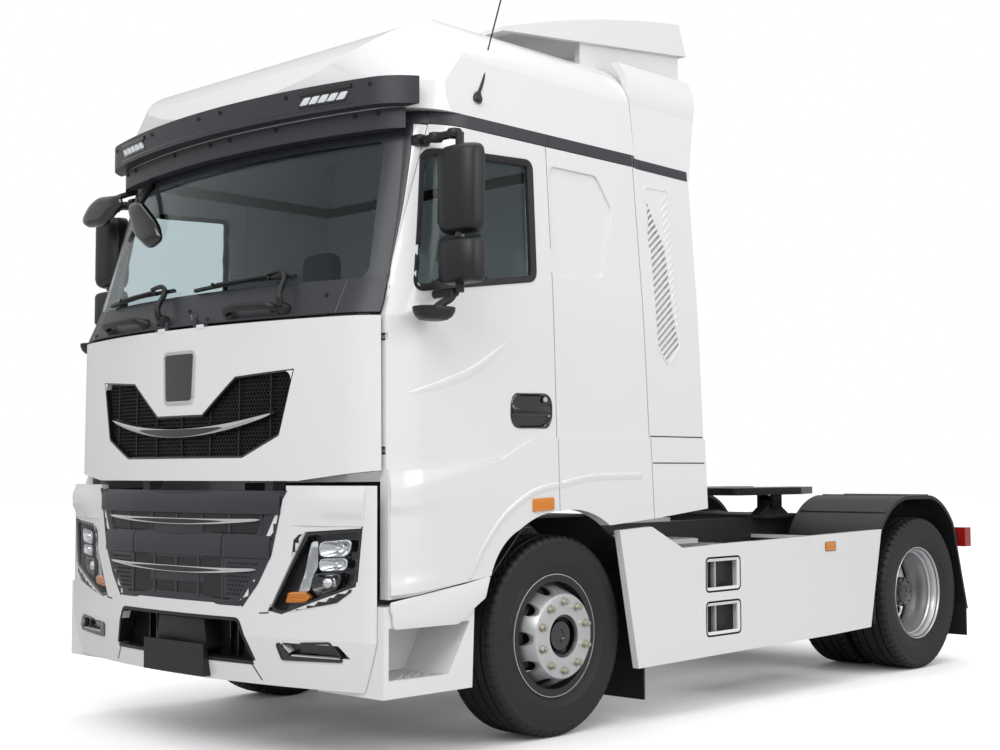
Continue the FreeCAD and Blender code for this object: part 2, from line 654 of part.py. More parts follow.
def door_post():
    """The post ahead of the left door, with the two arms that hold the door's pins."""
    post = common("door_post", box("post_block", (inboard(S.post_in_x), far),
                                   (S.post_front_y, S.post_rear_y),
                                   (S.floor_low_z, S.cowl_low_z - S.face_gap)),
                  cab_form("post_room", S.front_skin + S.post_gap))
    arms = []
    for name, z in hinge_heights():
        span = (z, z + S.hinge_arm_tall)
        arms.append(box(f"hinge_arm_{name}", (inboard(S.post_in_x), inboard(S.hinge_x)),
                        centred(S.hinge_y, S.hinge_arm_half), span))
        arms.append(box(f"hinge_elbow_{name}", (inboard(S.post_in_x), inboard(S.hinge_x) - S.hinge_elbow),
                        (S.post_rear_y - S.hinge_eye, S.hinge_y), span))
        arms.append(rod(f"hinge_eye_{name}", "z", S.hinge_eye, span, (inboard(S.hinge_x), S.hinge_y)))
        arms.append(rod(f"hinge_pin_{name}", "z", S.hinge_pin, (z, span[1] + S.hinge_pin_long / 2),
                        (inboard(S.hinge_x), S.hinge_y)))
    return fuse("door_post_solid", post, *arms)


def window_points(inset):
    """The side window's outline, drawn in by a gap."""
    return [(S.window_low_front_y + inset, S.window_low_front_z + inset),
            (S.window_low_rear_y - inset, S.window_low_rear_z + inset),
            (S.window_low_rear_y - inset, S.window_top_rear_z - inset),
            (S.window_top_front_y + inset, S.window_top_front_z - inset)]


def centred(middle, half):
    """A span on both sides of a middle."""
    return (middle - half, middle + half)


def ball(name, x, y, z, radius, long, tall):
    """A bowl-shaped housing: a sphere's section scaled in its own box by three sizes."""
    bowl = doc.addObject("Part::Ellipsoid", name)
    bind(bowl, "Radius1", tall)
    bind(bowl, "Radius2", radius)
    bind(bowl, "Radius3", long)
    bind_place(bowl, x, y, z)
    return bowl


def mirrors():
    """Two housings on a post between two arms, with a kerb mirror below; one on each door."""
    post_x = (inboard(S.mirror_in_x) + inboard(S.mirror_out_x)) / 2
    plan = [(inboard(S.mirror_in_x), S.mirror_front_y), (inboard(S.mirror_out_x), S.mirror_front_y),
            (inboard(S.mirror_out_x), S.mirror_rear_y), (inboard(S.mirror_in_x), S.mirror_rear_y)]
    high = prism("mirror_high", "xy", (S.mirror_low_z, S.mirror_top_z), plan, S.mirror_round)
    low = prism("mirror_low", "xy", (S.mirror_wide_low_z, S.mirror_wide_top_z), plan,
                S.mirror_round)
    post = rod("mirror_post", "z", S.mirror_stem, (S.mirror_arm_low_z, S.mirror_arm_high_z),
               (post_x, S.mirror_arm_y))
    arm_y = centred(S.mirror_arm_y, S.mirror_stem)
    root_x = inboard(S.eaves_width) - S.wall * 2
    top_arm = box("mirror_arm_top", (root_x, post_x), arm_y,
                  centred(S.mirror_arm_high_z, S.mirror_stem))
    low_arm = box("mirror_arm_low", (root_x, post_x), arm_y,
                  centred(S.mirror_arm_low_z, S.mirror_stem))
    bowl = ball("kerb_mirror", inboard(S.kerb_mirror_x), S.kerb_mirror_y, S.kerb_mirror_z,
                S.kerb_mirror_wide, S.kerb_mirror_long, S.kerb_mirror_tall)
    neck = box("kerb_mirror_neck", centred(inboard(S.kerb_mirror_x), S.mirror_stem),
               (S.kerb_mirror_y, S.mirror_arm_y + S.mirror_stem),
               (S.kerb_mirror_z, S.mirror_arm_low_z))
    left = cut("mirror_left_solid", fuse("mirror_left_parts", high, low, post, top_arm, low_arm,
                                         bowl, neck), skin)
    publish_pair(left, "mirror_left", "mirror_right")


def cab_side():
    """The fixed panel behind each door, with its pressed recess and its half of the arch."""
    edge = S.panel_gap
    side = prism("cab_side_region", "yz", side_span(), [
        (S.door_rear_low_y, S.door_arch_z), (S.arch_rear_y, S.arch_rear_z, -S.arch_top_curve),
        (S.side_rear_low_y, S.fairing_front_low_z), (S.side_rear_top_y, S.cab_side_top_z),
        (S.door_rear_top_y, S.door_top_z)])
    recess = prism("cab_side_recess", "yz", (S.half_width - S.panel_recess * 3, far), [
        (S.recess_front_y, S.recess_low_front_z), (S.recess_low_rear_y, S.recess_low_rear_z),
        (S.recess_rear_y, S.recess_rear_z), (S.recess_top_y, S.recess_top_z),
        (S.recess_front_y, S.recess_top_z)], S.window_round)
    pressed = cab_form("cab_side_press", S.panel_recess)
    panel = cut("cab_side_panel", fuse("cab_side_blank", common("cab_side_sheet", shell, side),
                                       sill("cab_side_sill", side)),
                cut("cab_side_pressing", recess, pressed))
    publish(both_sides("cab_sides_pair", panel), "cab_sides")


def cab_floor():
    """Floor, the wall behind the front flap and the two arms that carry the tilt hinge."""
    floor_top = S.floor_low_z + S.floor_thick
    plate = box("floor_plate", (-far, far),
                (S.floor_front_y, S.cab_rear_y - S.rear_wall_thick), (S.floor_low_z, floor_top))
    wall = box("front_wall", (-far, far), (S.floor_front_y, S.floor_front_y + S.front_wall_thick),
               (S.floor_low_z, S.cowl_low_z - S.face_gap))
    floor = common("floor_in_room", fuse("floor_and_wall", plate, wall), room)
    sill_x = S.half_width - S.wall - S.face_gap
    sill = box("floor_sill", (-sill_x, sill_x),
               (S.door_rear_low_y + S.panel_gap, S.cab_rear_y - S.rear_wall_thick),
               (S.floor_low_z, floor_top))
    arm = prism("tilt_arm", "yz", (S.tilt_arm_in, S.tilt_arm_in + S.tilt_arm_wide), [
        (S.tilt_y, S.tilt_z - S.tilt_eye), (S.tilt_y + S.tilt_arm_deep, S.tilt_z - S.tilt_eye),
        (S.tilt_arm_back_y, S.floor_low_z), (S.tilt_arm_back_y, floor_top),
        (S.tilt_arm_heel_y, floor_top), (S.tilt_arm_heel_y, S.tilt_arm_heel_z),
        (S.tilt_y, S.tilt_z + S.tilt_eye)])
    eye = rod("tilt_eye", "x", S.tilt_eye, (S.tilt_arm_in, S.tilt_arm_in + S.tilt_arm_wide),
              (S.tilt_y, S.tilt_z))
    bore = rod("tilt_bore", "x", S.tilt_pin + S.pin_clearance,
               (S.tilt_arm_in - S.overrun, S.tilt_arm_in + S.tilt_arm_wide + S.overrun),
               (S.tilt_y, S.tilt_z))
    left = cut("tilt_arm_bored", fuse("tilt_arm_eye", arm, eye), bore)
    post = door_post()
    solid = fuse("cab_floor_solid", floor, sill, left, mirror("tilt_arm_right", left), post,
                 mirror("door_post_right", post))
    publish(solid, "cab_floor")


def rear_wall():
    """The rear wall between the two side panels, and the rail all round that carries the roof."""
    plate = box("rear_wall_plate", (-far, far), (S.cab_rear_y - S.rear_wall_thick, S.cab_rear_y),
                (S.floor_low_z, S.cab_side_top_z + S.gutter_gap - S.face_gap))
    publish(common("rear_wall_solid", plate, cab_form("rear_wall_room", S.wall + S.face_gap)),
            "cab_rear_wall")
    ring_z = (S.cab_side_top_z + S.gutter_gap, S.roof_low_z)
    ring = common("cant_ring", shell, box("cant_region", (-far, far), (S.bumper_front_y,
                                                                       S.cab_rear_y), ring_z))
    beam = common("cant_rear", skin, box("cant_rear_region", (-far, far), (
        S.cab_rear_y - S.rear_wall_thick, S.cab_rear_y), ring_z))
    publish(fuse("cant_rail_solid", ring, beam), "cant_rail")


def roof():
    """The hollow high roof: side, front and plan outlines met in one body, then hollowed."""
    def form(name, inset):
        rear = S.roof_rear_y - inset
        side = prism(name + "_side", "yz", (-far, far), [
            (S.roof_front_y + inset, S.roof_low_z), (rear, S.roof_low_z),
            (rear, S.roof_rear_z - inset), (S.roof_crest_y + inset, S.roof_crest_z - inset),
            (S.roof_brow_y + inset, S.roof_brow_z - inset, S.roof_brow_bulge),
            (S.roof_front_y + inset, S.roof_visor_z)])
        across = prism(name + "_across", "xz", (S.roof_front_y - S.overrun, far), sheet_of([
            (-(inboard(S.eaves_width) - inset), S.roof_low_z),
            (-(inboard(S.roof_side_x) - inset), S.roof_side_z),
            (-(inboard(S.roof_edge_x) - inset), S.roof_edge_z - inset, -S.roof_side_round)])
            [:3] + [(inboard(S.roof_edge_x) - inset, S.roof_edge_z - inset, -S.roof_crown),
                    (inboard(S.roof_side_x) - inset, S.roof_side_z, -S.roof_side_round),
                    (inboard(S.eaves_width) - inset, S.roof_low_z)])
        plan = doc.addObject("Part::Loft", name + "_plan")
        levels = ((S.roof_low_z, S.visor_round), (S.roof_visor_z, S.roof_round_low),
                  (S.roof_rear_z + S.overrun, S.roof_round_top))
        plan.Sections = [bowed_section(f"{name}_plan{number}", z, inboard(S.eaves_width) - inset,
                                       S.roof_front_y + inset, S.skin_bow - inset, corner, rear)
                         for number, (z, corner) in enumerate(levels)]
        plan.Solid = True
        plan.Ruled = True
        return common(name, side, across, plan)
    solid = cut("roof_shell", form("roof_form", 0), form("roof_core", S.roof_wall))
    publish(solid, "roof")


def visor():
    """The dark visor over the windscreen: a deep upper band and a lower band on one web."""
    def band(name, half, front, depth, rear, z):
        outer = bowed_points(half, front, S.skin_bow, S.visor_round, 0)
        inner = bowed_points(half - depth, front + depth, S.skin_bow - depth,
                             S.visor_round - depth, S.overrun)
        ahead = box(name + "_ahead", (-far, far), (front - S.overrun, rear), z)
        ring = cut(name + "_ring", prism(name + "_outer", "xy", z, outer),
                   prism(name + "_inner", "xy", (z[0] - S.overrun, z[1] + S.overrun), inner))
        return common(name, ring, ahead)
    upper = cut("visor_high", band("visor_upper", inboard(S.visor_half), S.visor_front_y, S.visor_depth,
                                   S.visor_rear_y, (S.visor_low_z, S.visor_top_z)),
                doc.getObject("roof_form"))
    lower = band("visor_lower", inboard(S.band_half), S.band_front_y, S.visor_depth / 2, S.band_rear_y,
                 (S.band_low_z, S.band_top_z))
    web = band("visor_web", inboard(S.web_half), S.visor_web_y, S.visor_depth / 3, S.band_rear_y,
               (S.band_low_z, S.roof_low_z))
    keep = group("Part::Compound", "visor_bands", [
        upper, cut("visor_low", fuse("visor_low_parts", lower, web), skin)])
    publish(keep, "sun_visor")


def windscreen_outline(name, inset):
    """The windscreen's outline seen from the front, as a prism along Y."""
    foot = inboard(S.belt_width) - S.corner_round + S.pillar_wrap - inset
    head = inboard(S.eaves_width) - S.corner_round + S.pillar_wrap * S.head_wrap_share - inset
    return prism(name, "xz", (S.bumper_front_y, S.pillar_top_y), [
        (-foot, S.glass_low_z + inset), (foot, S.glass_low_z + inset),
        (head, S.windscreen_top_z - inset), (-head, S.windscreen_top_z - inset)], S.window_round)


def windscreen():
    """The bowed glass, and the dark frame of pillars and header round it."""
    glass_band = cut("windscreen_band", skin, cab_form("windscreen_core", S.glass_thick))
    glass = common("windscreen_solid", glass_band, windscreen_outline("windscreen_lens",
                                                                     S.face_gap))
    publish(glass, "windscreen")
    head_z = S.door_top_z + S.gutter_gap - S.face_gap
    pillar_slope = (S.pillar_mid_y - S.pillar_foot_y) / (S.pillar_mid_z - S.pillar_foot_z)
    foot_y = S.pillar_foot_y + pillar_slope * (S.glass_low_z - S.pillar_foot_z)
    sides = prism("pillar_region", "yz", (-far, far), [
        (S.bumper_front_y, S.glass_low_z), (foot_y - S.panel_gap, S.glass_low_z),
        (S.pillar_mid_y - S.panel_gap, S.pillar_mid_z),
        (S.pillar_top_y - S.panel_gap, head_z), (S.bumper_front_y, head_z)])
    frame = cut("windscreen_surround", common("pillar_blank", shell, sides),
                windscreen_outline("windscreen_hole", 0))
    publish(frame, "windscreen_frame")
    cowl = common("cowl_skin", shell, prism("cowl_region", "yz", (-far, far), [
        (S.bumper_front_y, S.cowl_low_z), (S.door_front_y - S.hinge_gap, S.cowl_low_z),
        (S.pillar_foot_y - S.hinge_gap, S.pillar_foot_z),
        (foot_y - S.panel_gap, S.glass_low_z - S.face_gap),
        (S.bumper_front_y, S.glass_low_z - S.face_gap)]))
    shelf = common("cowl_shelf_solid", skin, box("cowl_shelf_block", (-far, far), (
        S.bumper_front_y, S.floor_front_y + S.front_wall_thick - S.face_gap),
        (S.cowl_low_z, S.cowl_low_z + S.cowl_shelf)))
    knuckles = []
    eye_x = (S.flap_hinge_x - S.flap_hinge_half, S.flap_hinge_x + S.flap_hinge_half)
    for name, x in (("in", (eye_x[0] - S.flap_knuckle, eye_x[0] - S.flap_knuckle_gap)),
                    ("out", (eye_x[1] + S.flap_knuckle_gap, eye_x[1] + S.flap_knuckle))):
        knuckles += flap_knuckle(f"cowl_{name}", x, (S.flap_hinge_z, S.cowl_low_z + S.wall / 2))
    knuckles.append(rod("flap_pin", "x", S.flap_hinge_pin,
                        (eye_x[0] - S.flap_knuckle, eye_x[1] + S.flap_knuckle),
                        (S.flap_hinge_y, S.flap_hinge_z)))
    hinge = fuse("cowl_hinge", *knuckles)
    publish(fuse("cowl_solid", cowl, shelf, hinge, mirror("cowl_hinge_right", hinge)),
            "cowl_panel")


def flap_knuckle(name, x, z):
    """A hinge knuckle for the front flap: a round eye and the leaf that joins it to its panel."""
    leaf = centred(S.flap_hinge_y, S.flap_hinge_eye)
    return [rod(f"knuckle_round_{name}", "x", S.flap_hinge_eye, x,
                (S.flap_hinge_y, S.flap_hinge_z)), box(f"knuckle_leaf_{name}", x, leaf, z)]


def upper_grille_points(grow):
    """The upper grille's opening, wider by a lip where asked."""
    half = [(-(S.grille_cheek_x + grow), S.grille_cheek_z - grow),
            (-(S.grille_top_x + grow), S.grille_top_z + grow),
            (-(S.grille_notch_x - grow), S.grille_notch_z + grow),
            (-(S.grille_chin_x - grow), S.grille_chin_z + grow)]
    foot = [(S.grille_foot_x, S.grille_foot_z - grow), (-S.grille_foot_x, S.grille_foot_z - grow)]
    return half + [(-x, z) for x, z in reversed(half)] + foot


def front_flap():
    """The white front flap with the upper grille behind its opening."""
    thin_shell = cut("flap_skin", skin, cab_form("flap_core", S.front_skin))
    ends = (S.bumper_front_y - S.overrun, S.door_front_y - S.hinge_gap)
    blank = common("flap_blank", thin_shell, prism("flap_region", "xz", ends, [
        (-far, S.flap_side_low_z), (-S.flap_flat_x, S.flap_low_z), (S.flap_flat_x, S.flap_low_z),
        (far, S.flap_side_low_z), (far, S.flap_top_z), (-far, S.flap_top_z)]))
    opening = prism("grille_opening", "xz", (S.bumper_front_y - S.overrun, S.door_front_y),
                    upper_grille_points(0), S.grille_deep,
                    [0, 1, 2, 3, 4, 5, 6, 7, 8, 9])
    knuckle = cut("flap_knuckle", fuse("flap_knuckle_parts", *flap_knuckle(
        "flap", centred(S.flap_hinge_x, S.flap_hinge_half),
        (S.flap_hinge_z - S.flap_hinge_leaf, S.flap_hinge_z))),
        rod("flap_bore", "x", S.flap_hinge_pin + S.pin_clearance,
            centred(S.flap_hinge_x, S.flap_hinge_half + S.overrun),
            (S.flap_hinge_y, S.flap_hinge_z)))
    publish(fuse("front_flap_solid", cut("flap_open", blank, opening), knuckle,
                 mirror("flap_knuckle_right", knuckle)), "front_flap")
    inner = S.front_skin + S.face_gap
    plate = cut("grille_band", cab_form("grille_outer", inner),
                cab_form("grille_inner", inner + S.grille_rib))
    region = prism("grille_region", "xz", ends, upper_grille_points(S.grille_lip))
    backing = common("grille_plate", plate, region)
    bar_band = cut("smile_band", cab_form("smile_outer", S.grille_rib),
                   cab_form("smile_inner", inner + S.grille_rib / 2))
    smile = prism("smile_region", "xz", ends, [
        (-S.smile_x, S.smile_tip_z), (S.smile_x, S.smile_tip_z, S.smile_low_bow),
        (S.smile_x - S.smile_tip, S.smile_tip_z + S.smile_tip),
        (S.smile_tip - S.smile_x, S.smile_tip_z + S.smile_tip, -S.smile_top_bow)])
    publish(fuse("upper_grille_solid", backing, common("smile_bar", bar_band, smile)),
            "upper_grille")


def bumper_form(name, inset=0):
    """The bumper's body in plan, drawn in at its foot."""
    levels = [(S.bumper_low_z, S.half_width - S.bumper_low_in, S.bumper_front_y + S.bumper_low_in),
              (S.bumper_mid_z, S.half_width, S.bumper_front_y),
              (S.bumper_top_z, S.half_width, S.bumper_front_y)]
    body = bowed_solid(name + "_loft", levels, S.bumper_round, inset, 0)
    return common(name, body, box(name + "_ahead", (-far, far),
                                  (S.bumper_front_y - S.overrun, S.bumper_rear_y),
                                  (0, S.flap_top_z)))


def mouth_points(inset, top):
    """The lower grille's opening in the bumper, wide at its top."""
    side = S.mouth_top_x - inset
    half = [(-(S.mouth_foot_x - inset), S.mouth_foot_z + inset),
            (-(S.mouth_wide_x - inset), S.mouth_wide_z),
            (-side, S.bumper_top_z - S.mouth_inset - inset), (-side, top)]
    return half + [(-x, z) for x, z in reversed(half)]


def lamp_points(inset):
    """A headlamp's slanted outline on the left side."""
    return [(S.lamp_toe_x + inset, S.lamp_toe_z + inset), (S.lamp_heel_x, S.lamp_heel_z + inset),
            (S.lamp_low_out_x - inset, S.lamp_low_out_z + inset),
            (S.lamp_top_out_x - inset, S.lamp_top_out_z - inset),
            (S.lamp_top_in_x + inset, S.lamp_top_in_z - inset)]


def fog_points(inset):
    """A fog lamp's outline on the left side."""
    return [(S.fog_low_in_x + inset, S.fog_low_in_z + inset),
            (S.fog_low_out_x - inset, S.fog_low_out_z + inset),
            (S.fog_out_x - inset, S.fog_top_z - inset), (S.fog_in_x + inset, S.fog_top_z - inset)]


def bumper():
    """The bumper's shell with its openings, the lower grille, the lamps and the blank plate."""
    ahead = S.bumper_front_y - S.overrun
    solid = bumper_form("bumper_body")
    hollow = bumper_form("bumper_hollow", S.bumper_wall)
    low = box("bumper_below", (-far, far), (ahead, far), (0, S.bumper_low_z + S.bumper_wall))
    core = cut("bumper_core", hollow, low)
    mouth = prism("mouth_hole", "xz", (ahead, S.bumper_rear_y),
                  mouth_points(0, S.bumper_top_z + S.overrun))
    lamp = prism("lamp_hole", "xz", (ahead, S.bumper_rear_y), lamp_points(0))
    fog = prism("fog_hole", "xz", (ahead, S.bumper_rear_y), fog_points(0))
    intake = prism("intake_hole", "xz", (ahead, S.bumper_rear_y), [
        (-S.intake_foot_x, S.intake_foot_z), (S.intake_foot_x, S.intake_foot_z),
        (S.intake_top_x, S.intake_top_z), (-S.intake_top_x, S.intake_top_z)])
    bracket = box("bumper_arm", (S.rail_outer_x - S.rail_wide, S.rail_outer_x),
                  (S.bumper_front_y + S.bumper_wall, S.bumper_arm_rear_y),
                  (S.bumper_arm_low_z, S.rail_low_z))
    shell_cut = cut("bumper_shell", solid, core, mouth, lamp, mirror("lamp_hole_right", lamp),
                    fog, mirror("fog_hole_right", fog), intake)
    publish(fuse("bumper_solid", shell_cut, bracket, mirror("bumper_arm_right", bracket)),
            "front_bumper")
    lamp_body = cut("lamp_blank", bumper_form("lamp_outer", S.lamp_inset),
                    box("lamp_behind", (-far, far), (S.lamp_depth_y, far), (0, S.flap_top_z)))
    lens = prism("lamp_region", "xz", (ahead, S.bumper_rear_y), lamp_points(S.face_gap))
    publish(both_sides("headlamp_pair", common("headlamp", lamp_body, lens)), "headlamps")
    fog_lens = prism("fog_region", "xz", (ahead, S.fog_rear_y), fog_points(S.face_gap))
    publish(both_sides("fog_pair", common("fog_lamp", lamp_body, fog_lens)), "fog_lamps")
    grille_band = cut("mouth_band", bumper_form("mouth_outer", S.lamp_inset),
                      bumper_form("mouth_inner", S.lamp_inset + S.mouth_bar_deep))
    face = common("mouth_face", grille_band,
                  prism("mouth_region", "xz", (ahead, S.bumper_rear_y),
                        mouth_points(S.face_gap, S.bumper_top_z - S.mouth_inset)))
    slots = []
    for number in range(int(S.mouth_slot_count.value)):
        z = S.mouth_foot_z + S.mouth_frame + S.mouth_bar_pitch * number
        slots.append(box(f"mouth_slot{number}", (-S.mouth_foot_x, S.mouth_foot_x),
                         (ahead, S.bumper_rear_y), (z, z + S.mouth_bar_pitch - S.mouth_bar_tall)))
    publish(cut("lower_grille_solid", face, bracket, doc.getObject("bumper_arm_right"), *slots),
            "lower_grille")
    plate = box("plate_body", (-S.plate_half, S.plate_half),
                (S.bumper_front_y, S.bumper_front_y + S.bumper_wall),
                (S.plate_low_z, S.plate_top_z))
    publish(cut("number_plate_solid", plate, solid), "number_plate")


def entry_steps():
    """The step box at each side between the bumper and the front wheel."""
    outer = prism("step_body", "yz", (inboard(S.step_in_x), S.half_width), [
        (S.step_front_y, S.step_low_z), (S.step_rear_low_y, S.step_low_z),
        (S.step_rear_top_y, S.step_panel_rear_z), (S.step_rear_top_y, S.step_panel_top_z),
        (S.step_front_y, S.step_panel_top_z)])
    well = prism("step_well", "yz", (inboard(S.step_well_x), far), [
        (S.step_front_y + S.step_wall, S.step_tread_z),
        (S.step_tread_rear_y, S.step_tread_z), (S.step_rear_top_y - S.step_wall,
                                                S.step_panel_low_z),
        (S.step_front_y + S.step_wall, S.step_panel_low_z)])
    arm = box("step_arm", (S.rail_outer_x, inboard(S.step_in_x) + S.step_wall),
              (S.step_arm_front_y, S.step_arm_front_y + S.step_arm_tall),
              (S.rail_low_z, S.step_panel_top_z))
    side = fuse("entry_step", cut("step_box", outer, well), arm)
    publish(both_sides("entry_step_pair", side), "entry_steps")


def skirts():
    """The long side skirt with two step holes, wells behind them and arms to the frame."""
    inner = S.half_width - S.skirt_thick
    plate = prism("skirt_plate", "yz", (inner, S.half_width), [
        (S.skirt_front_low_y, S.skirt_front_low_z), (aft(S.skirt_kink_y), S.skirt_kink_z),
        (aft(S.skirt_rear_low_y), S.skirt_rear_low_z), (aft(S.skirt_rear_top_y), S.skirt_rear_top_z),
        (S.skirt_dip_y, S.skirt_dip_z), (S.skirt_break_y, S.skirt_break_z),
        (S.skirt_front_top_y, S.skirt_front_top_z)])
    holes, wells = [], []
    for name, z in (("high", S.skirt_hole_high_z), ("low", S.skirt_hole_low_z)):
        y = (S.skirt_hole_front_y, S.skirt_hole_rear_y)
        points = [(y[0], z), (y[1], z), (y[1], z + S.skirt_hole_tall),
                  (y[0], z + S.skirt_hole_tall)]
        wall = S.skirt_well_wall
        holes.append(prism(f"skirt_hole_{name}", "yz",
                           (inner - S.skirt_well_deep + wall, far), points, S.skirt_hole_round))
        wells.append(box(f"skirt_well_{name}", (inner - S.skirt_well_deep, inner),
                         (y[0] - wall, y[1] + wall), (z - wall, z + S.skirt_hole_tall + wall)))
    arms = []
    for name, y in (("front", aft(S.skirt_arm_front_y)), ("rear", aft(S.skirt_arm_rear_y) + S.skirt_arm)):
        arms.append(box(f"skirt_arm_{name}", (S.rail_outer_x, inner), (y, y + S.skirt_arm),
                        (S.tank_top_z + S.panel_gap, S.tank_top_z + S.skirt_arm / 2)))
    flange = box("skirt_flange", (inner - S.skirt_flange, inner),
                 (aft(S.skirt_arm_front_y), aft(S.skirt_arm_rear_y)),
                 (S.tank_top_z + S.panel_gap, S.tank_top_z + S.skirt_arm / 2))
    side = cut("side_skirt", fuse("skirt_parts", plate, flange, *wells, *arms), *holes)
    publish(both_sides("side_skirt_pair", side), "side_skirts")


def chassis():
    """Two channel rails with cross members, the tilt brackets and the tail beam."""
    low, tall, wall = S.rail_low_z, S.rail_tall, S.rail_wall
    inner = S.rail_outer_x - S.rail_wide
    channel = prism("rail", "xz", (S.rail_front_y, aft(S.rail_rear_y)), [
        (inner, low), (S.rail_outer_x, low), (S.rail_outer_x, low + tall), (inner, low + tall),
        (inner, low + tall - wall), (S.rail_outer_x - wall, low + tall - wall),
        (S.rail_outer_x - wall, low + wall), (inner, low + wall)])
    members = [channel, mirror("rail_right", channel)]
    web = S.rail_outer_x - wall
    middle = low + tall / 2
    for name, y in (("front", S.cross_front_y), ("mid", S.cross_mid_y), ("rear", aft(S.cross_rear_y)),
                    ("tail", aft(S.cross_tail_y))):
        members.append(box(f"cross_{name}", (-web, web), centred(y, S.cross_thick / 2),
                           centred(middle, S.cross_tall / 2)))
    bracket = prism("tilt_bracket", "yz", (web, S.tilt_arm_in - S.panel_gap), [
        (S.rail_front_y, S.tilt_bracket_low_z), (S.tilt_bracket_rear_y, S.tilt_bracket_low_z),
        (S.tilt_bracket_rear_y, S.tilt_bracket_top_z),
        (S.tilt_y + S.tilt_eye, S.tilt_z + S.tilt_eye), (S.tilt_y - S.tilt_pin, S.tilt_z + S.tilt_eye),
        (S.tilt_y - S.tilt_eye, S.tilt_z), (S.tilt_y - S.tilt_pin, S.tilt_z - S.tilt_eye)])
    pin = rod("tilt_pin", "x", S.tilt_pin,
              (S.rail_outer_x, S.tilt_arm_in + S.tilt_arm_wide + S.panel_gap),
              (S.tilt_y, S.tilt_z))
    members += [bracket, mirror("tilt_bracket_right", bracket), pin, mirror("tilt_pin_right", pin)]
    members.append(box("tail_beam", (-inboard(S.tail_beam_half), inboard(S.tail_beam_half)),
                       (aft(S.rail_rear_y), aft(S.rail_rear_y) + S.tail_beam_deep),
                       (S.tail_beam_low_z, S.tail_beam_low_z + S.tail_beam_tall)))
    publish(fuse("chassis_solid", *members), "chassis_frame")


def walkway():
    """The deck behind the cab and the treads that reach the skirts."""
    top = S.rail_low_z + S.rail_tall
    deck = box("deck_plate", (-S.rail_outer_x, S.rail_outer_x),
               (S.walkway_front_y, aft(S.deck_rear_y)), (top, top + S.walkway_thick))
    tread = box("tread_plate", (S.rail_outer_x, S.half_width - S.skirt_thick - S.panel_gap),
                (S.walkway_front_y, S.walkway_rear_y), (S.walkway_z, S.walkway_z + S.walkway_thick))
    publish(group("Part::Compound", "walkway_parts", [deck, tread, mirror("tread_right", tread)]),
            "walkway")


def power_unit():
    """Engine and gearbox as one plain block on four mounts."""
    block = prism("engine_body", "yz", (-S.engine_half, S.engine_half), [
        (S.engine_front_y, S.engine_low_z), (S.gearbox_rear_y, S.engine_low_z),
        (S.gearbox_rear_y, S.gearbox_top_z), (S.engine_rear_y, S.gearbox_top_z),
        (S.engine_rear_y, S.engine_top_z), (S.engine_front_y, S.engine_top_z)])
    web = S.rail_outer_x - S.rail_wall
    floor = S.rail_low_z + S.rail_wall
    mounts = [box(f"mount_{name}", (-web, web), centred(y, S.mount_wide / 2),
                  (floor, floor + S.mount_tall))
              for name, y in (("front", S.mount_front_y), ("rear", S.mount_rear_y))]
    publish(fuse("power_unit_solid", block, *mounts), "engine")


def tanks():
    """A rounded tank behind each skirt, strapped to the rail."""
    body = prism("tank_body", "xz", (aft(S.tank_front_y), aft(S.tank_rear_y)), [
        (S.tank_in_x, S.tank_low_z), (inboard(S.tank_out_x), S.tank_low_z),
        (inboard(S.tank_out_x), S.tank_top_z),
        (S.tank_in_x, S.tank_top_z)], S.tank_round)
    straps = []
    for name, y in (("front", aft(S.tank_front_y) + S.tank_strap_inset),
                    ("rear", aft(S.tank_rear_y) - S.tank_strap_inset)):
        straps.append(box(f"tank_strap_{name}", (S.rail_outer_x, S.tank_in_x + S.tank_round),
                          centred(y, S.tank_strap / 2),
                          (S.tank_low_z + S.tank_round * 2, S.tank_top_z - S.tank_round)))
    publish(both_sides("tank_pair", fuse("tank", body, *straps)), "fuel_tanks")


def tyre_profile(centre):
    """A tyre's section from bead to tread about its middle plane."""
    bead, side, tread = S.bead_wide / 2 - S.face_gap, S.tyre_wide / 2, S.tread_wide / 2
    shoulder = S.tyre_radius - S.tread_round
    edge = S.rim_flange + S.face_gap
    return [(centre - bead, S.bead_radius), (centre + bead, S.bead_radius), (centre + bead, edge),
            (centre + side, S.sidewall_radius, S.sidewall_curve), (centre + side, shoulder),
            (centre + tread, S.tyre_radius, S.tread_round * 2),
            (centre - tread, S.tyre_radius), (centre - side, shoulder, S.tread_round * 2),
            (centre - side, S.sidewall_radius), (centre - bead, edge, S.sidewall_curve)]


def barrel_profile(centre):
    """A rim's barrel: two flanges and a well."""
    bead, lip = S.bead_wide / 2, S.flange_thick
    outer = S.bead_radius - S.face_gap
    return [(centre - bead - lip, S.rim_well), (centre + bead + lip, S.rim_well),
            (centre + bead + lip, S.rim_flange), (centre + bead, S.rim_flange),
            (centre + bead, outer), (centre - bead, outer), (centre - bead, S.rim_flange),
            (centre - bead - lip, S.rim_flange)]


